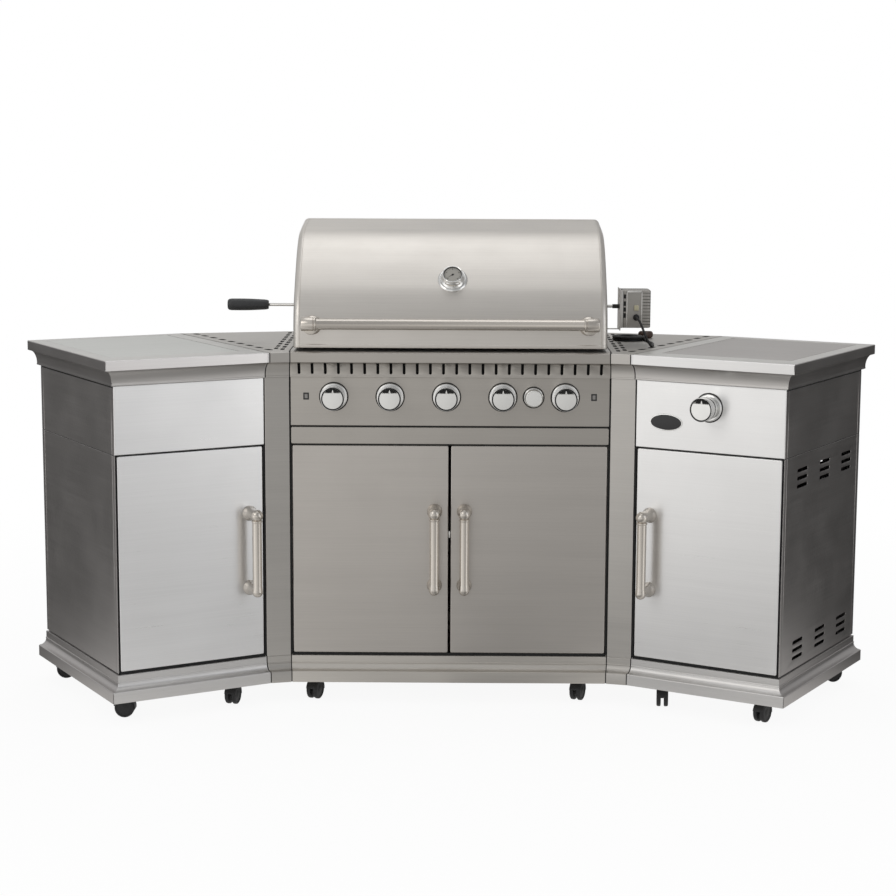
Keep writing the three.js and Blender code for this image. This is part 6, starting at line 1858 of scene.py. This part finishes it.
# Hood
@dataclass
class Hood:
    """The grill's hood: a curved shell with rounded end rims, its handle and dial."""

    half: float = 0.3965
    front: float = 0.002
    depth: float = 0.428
    bottom: float = 0.9185
    height: float = 0.3095
    rim: float = 0.014
    skin: float = 0.002
    profile_shares: tuple = (
        (0, 0), (0, 0.173), (0.023, 0.304), (0.077, 0.435), (0.159, 0.572), (0.252, 0.706),
        (0.346, 0.817), (0.463, 0.905), (0.626, 0.951), (0.848, 0.987), (0.942, 1),
        (0.986, 0.974), (1, 0.908), (1, 0),
    )
    hinge: tuple[float, float] = (0.418, 0.936)
    spit: tuple[float, float] = (0.230, 1.009)
    handle_y: float = -0.060
    handle_z: float = 0.984
    handle_half: float = 0.372

    def profile(self) -> Array:
        """The hood's side view from its front foot over the top to its rear foot, as
        (y, z): straight up, a smooth curve, and straight down at the rear."""
        places = np.array(self.profile_shares) * (self.depth, self.height) \
            + (self.front, self.bottom)
        curve = smooth_line(places[1:-1], 6)
        hem = [
            (self.front - 0.0004, self.bottom), (self.front - 0.0014, self.bottom + 0.0012),
            (self.front - 0.0014, self.bottom + 0.0085), (self.front, self.bottom + 0.0098),
        ]
        straight = [(self.front, z) for z in
                    np.linspace(self.bottom + 0.0098, places[1][1], 5)[1:-1]]
        rear = [(places[-1][0], z) for z in np.linspace(places[-2][1], self.bottom, 6)[1:]]
        return np.vstack([hem, straight, curve, rear])

    def drawn_in(self, line: Array, inset: float) -> Array:
        """A profile drawn in square to itself.

        Args:
            line: The profile.
            inset: How far it is drawn in.

        Returns:
            The line inside.
        """
        along = np.gradient(line, axis=0)
        along /= np.linalg.norm(along, axis=1, keepdims=True)
        moved = line + np.column_stack([along[:, 1], -along[:, 0]]) * inset
        moved[:, 1] = np.maximum(moved[:, 1], self.bottom)
        moved[[0, -1], 1] = self.bottom
        return moved

    def shell(self) -> Surface:
        """The skin: at each station across the hood the profile, drawn in by a quarter
        circle over the rims and by a shallow groove where the rims meet the panel."""
        line = self.profile()
        groove = self.half - self.rim - 0.0016
        ends = arc((self.half - self.rim, self.rim), (self.rim, -self.rim), 0, 90, 6)
        right = [
            *ends, (groove + 0.0008, 0.0), (groove + 0.0003, 0.0007), (groove - 0.0003, 0.0007),
            (groove - 0.0008, 0.0), *((x, 0.0) for x in np.linspace(groove - 0.0008, 0, 9)[1:]),
        ]
        full = right + [(-x, d) for x, d in reversed(right[:-1])]
        return open_skin(np.array([sideways(x)(self.drawn_in(line, d)) for x, d in full]))

    def cheek(self, x: float) -> Surface:
        """An end wall with the slot that passes over the spit as the hood turns."""
        outline = self.drawn_in(self.profile(), self.rim)
        (hy, hz), (sy, sz) = self.hinge, self.spit
        radius, start = hypot(sy - hy, sz - hz), atan2(sz - hz, sy - hy)
        start, end = np.degrees((start, pi + asin(0.03 / radius)))
        half, hinge = 0.0065, self.hinge
        slot = np.vstack([
            arc(self.spit, half, start - 90, start - 270, 8),
            arc(hinge, radius + half, start, end, 15)[1:],
            arc(hinge, radius - half, start, end, 15)[::-1][:-1],
        ])
        return flat_sheet(outline, [slot], sideways(x))

    def build(self) -> None:
        """Makes the hood, its handle and its dial on the hood's body."""
        skin = self.shell() + self.cheek(self.half) + self.cheek(-self.half)
        centre_piece("hood_shell", skin, HOOD_STEEL, "hood", stands_for=["hood"], facing=UP,
                     wall=self.skin, crease=40)
        self.handle()
        self.dial()

    def handle(self) -> None:
        """The bar with its end caps and collars, on two turned posts."""
        y, z, half, r = self.handle_y, self.handle_z, self.handle_half, 0.0172
        end = [(r + grow, half - back) for grow, back in (
            (-r, 0), (-0.003, 0), (-0.001, 0.001), (0, 0.003), (0, 0.030), (-0.0012, 0.0312),
            (-0.0012, 0.0325), (0, 0.0337), (0, 0.036), (-0.0015, 0.038), (-0.0034, 0.0388),
            (-0.0037, 0.040))]
        bar = revolved(end + [(r, -h) for r, h in reversed(end)], lengthwise(y, z), 40)
        reach = self.front - 0.0004 - y
        post = [(0, -0.002), (0.016, -0.002), (0.0182, -0.0012), (0.019, 0.001),
                (0.019, reach - 0.012), (0.0205, reach - 0.009),
                (0.0232, reach - 0.0062), (0.024, reach - 0.003), (0.024, reach), (0, reach)]
        posts = [revolved(post, facing_rear(s * (half - 0.024), y, z - 0.0078), 40)
                 for s in (-1, 1)]
        centre_piece("hood_bar", joined([bar, *posts]), NICKEL, "hood",
                     stands_for=["hood_handle"])

    def dial(self) -> None:
        """The thermometer: foot, tapered neck, case with a bright ring, face, marks and
        needle."""
        low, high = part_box("thermometer")
        a, b = (np.array(self.profile_shares[3:5]) * (self.depth, self.height)
                + (self.front, self.bottom))
        y, z = a + (b - a) * 0.8
        slope = atan2(b[1] - a[1], b[0] - a[0])
        up, out = (0, cos(slope), sin(slope)), (0, -sin(slope), cos(slope))
        where = Placing(((low.x + high.x) / 2, y + PLAN.shift, z), (1, 0, 0), up,
                        tuple(c * 0.765 for c in out))
        case = [(0.0, 0.0003), (0.037, 0.0003), (0.038, 0.0012), (0.0376, 0.003), (0.0345, 0.0062),
                (0.0325, 0.0066), (0.0318, 0.0058), (0.030, 0.0056), (0.0285, 0.0075),
                (0.0235, 0.0180), (0.0222, 0.0225), (0.0228, 0.0236), (0.0252, 0.0246),
                (0.0262, 0.0262), (0.0262, 0.0322), (0.0256, 0.0336), (0.0243, 0.0342),
                (0.0233, 0.0336), (0.0229, 0.0322), (0.0226, 0.0296)]
        make_piece("dial_case", revolved(case, where, 64), CHROME, "hood", ["thermometer"],
                   crease=40)
        face = revolved([(0.0226, 0.0298), (0.001, 0.0298), (0.0, 0.0298)], where, 48)
        make_piece("dial_face", face, DIAL_FACE, "hood", facing=out)
        marks = []
        for i in range(21):
            angle = radians(225 - 13.5 * i)
            c, s = cos(angle), sin(angle)
            inner, half = (0.0150, 0.0007) if i % 5 == 0 else (0.0170, 0.0004)
            flat = [(inner, -half), (0.0198, -half), (0.0198, half), (inner, half)]
            loop = np.array(flat) @ np.array([(c, s), (-s, c)])
            marks.append(Surface(level(0.0300)(loop), [np.array([[0, 1, 2, 3]])]))
        marks.append(revolved([(0.0226, 0.0301), (0.0211, 0.0301)], Placing(), 48))
        make_piece("dial_marks", joined(marks).carried(where), SHADE_AND_DETAIL_BLACK, "hood", facing=out)
        c, s = cos(radians(215)), sin(radians(215))
        loop = np.array([(-0.004, -0.0012), (0.0165, 0), (-0.004, 0.0012)])
        needle = flat_sheet(loop @ np.array([(c, s), (-s, c)]), [], level(0.0304))
        hub = revolved([(0, 0.0300), (0.0026, 0.0300), (0.0026, 0.0308), (0.0016, 0.0314),
                        (0, 0.0315)], Placing(), 24)
        make_piece("dial_needle", (needle + hub).carried(where), SHADE_AND_DETAIL_BLACK, "hood", facing=out)


# Grill
@dataclass
class Grill:
    """What is under the hood: the box, burners, grate and the upper rack."""

    wire: float = 0.003
    count: int = 21

    def build(self) -> None:
        """Dresses the CAD solids and makes the rack of round wires."""
        dressed_node("firebox", DECK_STEEL)
        dressed_node("burner_rail", IRON)
        dressed_node("rear_burner", IRON)
        dressed_node("cooking_grate", IRON, edge=0.0015)
        dressed_node("grease_tray", LINING_STEEL, "grease_tray")
        self.rack()

    def rack(self) -> None:
        """A frame wire with round corners and cross wires between."""
        low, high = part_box("warming_rack")
        r, z = self.wire, (low.z + high.z) / 2
        loop = rounded_rectangle(low.x + r, high.x - r, low.y + r, high.y - r, 0.012, 6)
        ring = np.vstack([loop, loop[:1]])
        wires = [tube(level(z)(ring), r, 12)]
        wires += [rod((x, low.y + r, z), (x, high.y - r, z), r * 0.8, 10)
                  for x in np.linspace(low.x + 0.03, high.x - 0.03, self.count)]
        make_piece("rack_wires", joined(wires), BRIGHT_WIRE, stands_for=["warming_rack"])


@dataclass
class Rotisserie:
    """The spit with its grip and forks, the bracket and the motor."""

    y: float = 0.230
    z: float = 1.009
    rod_radius: float = 0.004
    grip_radius: float = 0.0155
    grip_length: float = 0.107

    def build(self) -> None:
        """Makes the spit on its body and the motor on the island."""
        low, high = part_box("spit_rod")
        along = lengthwise(self.y + PLAN.shift, self.z)
        r = self.rod_radius
        bar = [(0, low.x), (r - 0.0008, low.x), (r, low.x + 0.002), (r, high.x - 0.014),
               (r - 0.0012, high.x - 0.002), (0, high.x)]
        make_piece("spit_bar", revolved(bar, along, 24), BRIGHT_WIRE, "spit", ["spit_rod"])
        low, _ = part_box("spit_grip")
        r, length = self.grip_radius, self.grip_length
        shares = ((0.9, 0.025), (0.985, 0.08), (1, 0.16), (0.99, 0.5), (0.9, 0.8), (0.84, 0.93),
                  (0.78, 0.975), (0.7, 1))
        curve = smooth_line([(a * r, low.x + b * length) for a, b in shares], 4)
        grip = np.vstack([[(0, low.x), (0.7 * r, low.x)], curve, [(0, low.x + length)]])
        make_piece("spit_grip_body", revolved(grip, along, 40), GREY_GRIP, "spit", ["spit_grip"])
        for side in ("left", "right"):
            dressed_node(f"spit_fork_{side}", BRIGHT_WIRE, "spit", edge=0.0007)
        dressed_node("motor_bracket", DECK_STEEL)
        self.motor()

    def motor(self) -> None:
        """The motor's housing: a rounded block with cover seams, cooling slots, a switch
        and the boot that holds the lead. The slots, the ribs and a line beside the plate are black
        strips of painted shade on the surface."""
        left, right, low, high = 0.4428, 0.5208, 0.9555, 1.0535
        front, rear = 0.1915 + PLAN.shift, 0.2685 + PLAN.shift
        body = soft_box((left, right), (front, rear), (low, high), 0.003, 0.009)
        make_piece("motor_housing", body, MOTOR_CASE, stands_for=["rotisserie_motor"])
        deep, tall = (front - 0.0012, front + 0.002), (low + 0.001, high - 0.001)
        seams = soft_boxes(
            ((left + 0.0145, left + 0.0167), deep, tall, 0.0005),
            ((left + 0.053, left + 0.0555), deep, tall, 0.0005),
            ((left + 0.0145, left + 0.0555), deep, (1.0475, high - 0.001), 0.0006),
        )
        make_piece("motor_cover", seams, BRIGHT_WIRE)
        plate = soft_box((left, left + 0.006), (front - 0.0015, rear), (low, high), 0.0008)
        make_piece("motor_plate", plate, DECK_STEEL)
        # painted shade: black strips for the cooling slots, the ribs and the line beside the plate
        dark = soft_boxes(
            *(((left + 0.0072, left + 0.0132), (front - 0.0007, front), (z, z + h), 0.0003)
              for z, h in ((1.032, 0.011), (1.013, 0.012), (0.998, 0.011), (0.982, 0.012))),
            *(((right - 0.0215, right - 0.001), (front - 0.0005, front + 0.001),
               (z, z + 0.0012), 0.0002) for z in np.arange(0.964, 1.046, 0.0082)),
            ((left + 0.006, left + 0.0068), (front - 0.0008, front), (low + 0.002, high - 0.002),
             0.0002),
        )
        make_piece("motor_slots", dark, SHADE_AND_DETAIL_BLACK)
        x, z = MotorLead.tip[0], MotorLead.tip[2]
        boot = [(0, 0), (0.0078, 0), (0.0084, 0.0008), (0.0084, 0.0036), (0.0068, 0.0046),
                (0.0062, 0.0075), (0.0056, 0.0078), (0.0056, 0.0092), (0.0052, 0.0095),
                (0.0052, 0.0112), (0.0046, 0.0115), (0.0046, 0.0132), (0.0041, 0.0135),
                (0.0041, 0.0152), (0.0037, 0.0155), (0.0034, 0.0218), (0, 0.0218)]
        make_piece("lead_boot", revolved(boot, facing_front(x, front - 0.0012, z), 28), RUBBER)
        switch = soft_box((x - 0.006, x + 0.006), (front - 0.0042, front), (1.0005, 1.0145), 0.0014)
        make_piece("motor_switch", switch, SWITCH)
        ring = [(0.0043, 0.4235), (0.005, 0.4235), (0.0055, 0.424), (0.0055, left), (0.0043, left)]
        socket = revolved(ring, lengthwise(self.y + PLAN.shift, self.z), 28)
        make_piece("motor_socket", socket, IRON)


# Casters
@dataclass
class Caster:
    """A hooded twin wheel caster. It stands as its CAD node does."""

    node: str
    wheel: float = 0.025
    trail: float = 0.017
    gap: float = 0.0077
    width: float = 0.011

    def build(self) -> None:
        """Turns the two wheels and the hood round the axle, and adds the stem and plate."""
        joint = next(j for j in frame["joints"] if j["child"] == self.node)
        x, y = joint["pos_m"][:2]
        mesh = frame["nodes"][self.node].data
        points = np.array([v.co for v in mesh.vertices])
        low = points[points[:, 2] < self.wheel]
        middle = (low.max(0) + low.min(0)) / 2
        back = middle[:2] - (x, y)
        back /= np.linalg.norm(back)
        # the swivel's own axes: to the rear of the wheel, across it, and up
        own = Placing((x, y, 0), (*back, 0), (-back[1], back[0], 0))
        r, inner, outer = self.wheel, self.gap / 2, self.gap / 2 + self.width
        centre, *ends = own.carry([(self.trail, 0, r), (self.trail, inner, r),
                                   (self.trail, -inner, r)])
        axle = Placing(tuple(centre), own.x, UP, tuple(-c for c in own.y))
        tread = [(0.0045, inner), (r - 0.006, inner), (r - 0.0014, inner + 0.0004),
                 (r - 0.0002, inner + 0.0018), (r, inner + 0.0035), (r, outer - 0.004),
                 (r - 0.0006, outer - 0.0016), (r - 0.0026, outer - 0.0002), (r - 0.005, outer),
                 (r - 0.0062, outer - 0.0014), (0.010, outer - 0.0018),
                 (0.0072, outer - 0.0006), (0.004, outer), (0, outer)]
        other = [(a, -b) for a, b in tread]
        wheels = revolved(tread, axle, 36) + revolved(other, axle, 36) + rod(*ends, 0.0045)
        make_piece(f"{self.node}_wheels", wheels, BLACK_PLASTIC, self.node,
                   stands_for=[self.node])
        fork = soft_box((-0.0065, self.trail + 0.0012), (-0.0034, 0.0034), (r, 0.0515), 0.0012,
                        0.0022)
        hood = [
            upright(across)(arc((self.trail, r), (-reach, reach), -8, 168, 19))
            for across, reach in ((-0.0145, r + 0.0006), (-0.0135, r + 0.0022),
                                  (0.0135, r + 0.0022), (0.0145, r + 0.0006))
        ]
        make_piece(f"{self.node}_shield", open_skin(np.array(hood)).carried(own),
                   BLACK_PLASTIC, self.node, facing=UP, wall=0.0014)
        stem = revolved([(0, 0.028), (0.0085, 0.028), (0.0085, 0.0535), (0, 0.0535)], own, 24)
        plate = soft_box((-0.026, 0.026), (-0.026, 0.026), (0.0555, 0.058), 0.0006, 0.004)
        make_piece(f"{self.node}_plate", stem + (plate + fork).carried(own), IRON, self.node)


# Studio
@dataclass
class Studio:
    """Camera, floor, world and lamps."""

    place: Point = (0.02715, -5.34041, 1.44622)
    pitch: float = radians(8.55)
    yaw: float = radians(-0.35)
    roll: float = radians(0.25)
    lens: float = 83.153
    sensor: float = 36.0
    left_horizon: tuple = (
        (0.0, 0.9), (0.03, 0.84), (0.12, 1.05), (0.22, 1.38), (0.42, 1.1), (0.58, 0.35),
        (0.68, 0.1), (0.92, 0.1), (0.975, 0.68),
    )
    right_horizon: tuple = (
        (0.0, 0.58), (0.03, 0.51), (0.12, 0.66), (0.22, 1.36), (0.42, 1.1), (0.58, 0.25),
        (0.66, 0.05), (0.92, 0.05), (0.975, 0.68),
    )
    near_floor_shade: tuple = ((0.1, 0.49), (0.3, 0.67), (0.55, 0.9), (0.8, 1.0))
    overhead: tuple[float, float] = (0.6, 0.4)
    soft_light: float = 0.85
    floor_lift: float = 0.92
    floor_half: float = 30.0
    lamp_size: float = 2.6
    lamps: tuple = (
        ("key", (-3.2, -3.4, 3.6), 26.0, (1.0, 0.97, 0.93)),
        ("fill", (3.6, -2.8, 2.6), 14.0, (0.93, 0.95, 1.0)),
        ("top", (0.0, 0.6, 4.2), 18.0, (1.0, 1.0, 1.0)),
    )

    def camera(self) -> None:
        """The camera at the photograph's place: its line of sight is turned by the yaw,
        then lowered by the pitch, and the picture is rolled about it."""
        y, p, r = self.yaw, self.pitch, self.roll
        ahead = np.array([sin(y) * cos(p), cos(y) * cos(p), -sin(p)])
        right = np.array([cos(y), -sin(y), 0.0])
        up = np.cross(right, ahead)
        rolled_right = cos(r) * right + sin(r) * up
        rolled_up = -sin(r) * right + cos(r) * up
        data = bpy.data.cameras.new("camera")
        data.sensor_width, data.lens = self.sensor, self.lens
        camera = linked("camera", data)
        turn = np.column_stack([rolled_right, rolled_up, -ahead])
        camera.matrix_world = Matrix.Translation(self.place) @ Matrix(turn.tolist()).to_4x4()
        bpy.context.scene.camera = camera

    def around(self, graph: Graph, direction: object) -> Socket:
        """How bright the studio is at its horizon, by direction: dim behind the camera,
        bright at the front's two sides, dark at the rear's two sides, and brighter on the
        left than on the right."""
        x, y, _ = graph.add("SeparateXYZ", Vector=direction).outputs
        turn = graph.math("MULTIPLY_ADD", y, 0.5, 0.5)
        left, right = (graph.ramp(turn, h) for h in (self.left_horizon, self.right_horizon))
        return graph.mixed(graph.ranged(x, -0.065, 0.065, 0.0, 1.0), left, right)

    def floor(self) -> None:
        """A pale floor that fades into the white background. What the metal sees of it
        is dim close by, a painted shadow of the island in its reflections, and grows to the
        studio's brightness further off."""
        s, z = self.floor_half, -0.0004
        mesh = bpy.data.meshes.new("floor")
        mesh.from_pydata([(-s, -s, z), (s, -s, z), (s, s, z), (-s, s, z)], [], [(0, 1, 2, 3)])
        made = bpy.data.materials.new("pale_floor")
        graph = cleared_graph(made)
        where = graph.where()
        away = graph.add("VectorMath", {"operation": "LENGTH"}, i0=where).outputs["Value"]
        speck = graph.noise(where, 40.0, 3.0)
        tone = graph.mixed(speck, (0.8, 0.8, 0.8, 1), (0.84, 0.84, 0.84, 1))
        lit = graph.add("BsdfDiffuse", Color=tone).outputs[0]
        white = graph.add("Emission", Color=(1, 1, 1, 1), Strength=1.0).outputs[0]
        fade = graph.ranged(away, 1.3, 3.0, self.floor_lift, 1.0)
        seen = graph.add("MixShader", i0=fade, i1=lit, i2=white).outputs[0]
        ahead = graph.vector("NORMALIZE", where)
        # painted shadow: the floor that the metal sees is darker near the island
        near = graph.ramp(graph.math("MULTIPLY", away, 1 / 6), self.near_floor_shade)
        dim = graph.math("MULTIPLY", self.around(graph, ahead), near)
        mirrored = graph.add("Emission", Color=(1.0, 0.985, 0.965, 1), Strength=dim).outputs[0]
        graph.add("OutputMaterial", Surface=graph.by_ray(lit, mirrored, seen))
        mesh.materials.append(made)
        linked("floor", mesh)

    def world(self) -> None:
        """White where the camera looks. Metal sees the studio's horizon, which grows
        brighter with height."""
        world = bpy.data.worlds.new("studio")
        bpy.context.scene.world = world
        graph = cleared_graph(world)
        where = graph.add("TexCoord").outputs["Generated"]
        x, _, height = graph.add("SeparateXYZ", Vector=where).outputs
        flat = graph.vector("NORMALIZE", graph.vector("MULTIPLY", where, (1, 1, 0)))
        high = graph.ranged(x, -0.09, 0.09, *self.overhead)
        rising = graph.ramp(height, ((0.0, 0.0), (0.22, 1.0)))
        tone = graph.mixed(rising, self.around(graph, flat), high)
        glossy, soft, white = (
            graph.add("Background", Color=colour, Strength=strength).outputs[0]
            for colour, strength in ((tone, 1.0), ((1, 1, 1, 1), self.soft_light),
                                     ((1, 1, 1, 1), 1.0))
        )
        graph.add("OutputWorld", Surface=graph.by_ray(soft, glossy, white))

    def lamp(self, name: str, place: Point, power: float, colour: Point) -> None:
        """A square soft lamp that looks at the island.

        Args:
            name: Its name.
            place: Where it stands.
            power: Its power in watts.
            colour: The colour of its light.
        """
        data = bpy.data.lights.new(name, "AREA")
        data.shape, data.size, data.energy, data.color = "SQUARE", self.lamp_size, power, colour
        lamp = linked(name, data)
        lamp.location, lamp.rotation_mode = place, "QUATERNION"
        aim = Vector((0, 0, 0.6)) - Vector(place)
        lamp.rotation_quaternion = aim.to_track_quat("-Z", "Y")

    def build(self) -> None:
        """Sets up the studio."""
        self.camera()
        self.floor()
        self.world()
        for lamp in self.lamps:
            self.lamp(*lamp)
        bpy.context.scene.view_settings.view_transform = "Standard"


def main() -> None:
    """Builds the studio, the lead and the sub-assemblies in order."""
    logging.basicConfig(level=logging.INFO, format="%(name)s: %(message)s", stream=sys.stdout)
    Studio().build()
    MotorLead().build()
    CentreCabinet().build()
    ControlPanel().build()
    for hand in Hand:
        SideCabinet(hand).build()
        CornerUnit(hand).build()
    seam_shades()
    dressed_node("left_basin", LINING_STEEL)
    dressed_node("side_burner", ENAMEL)
    Hood().build()
    Grill().build()
    Rotisserie().build()
    for node in sorted(n for n in frame["nodes"] if n.endswith("_caster")):
        Caster(node).build()


if __name__ == "__main__":
    main()
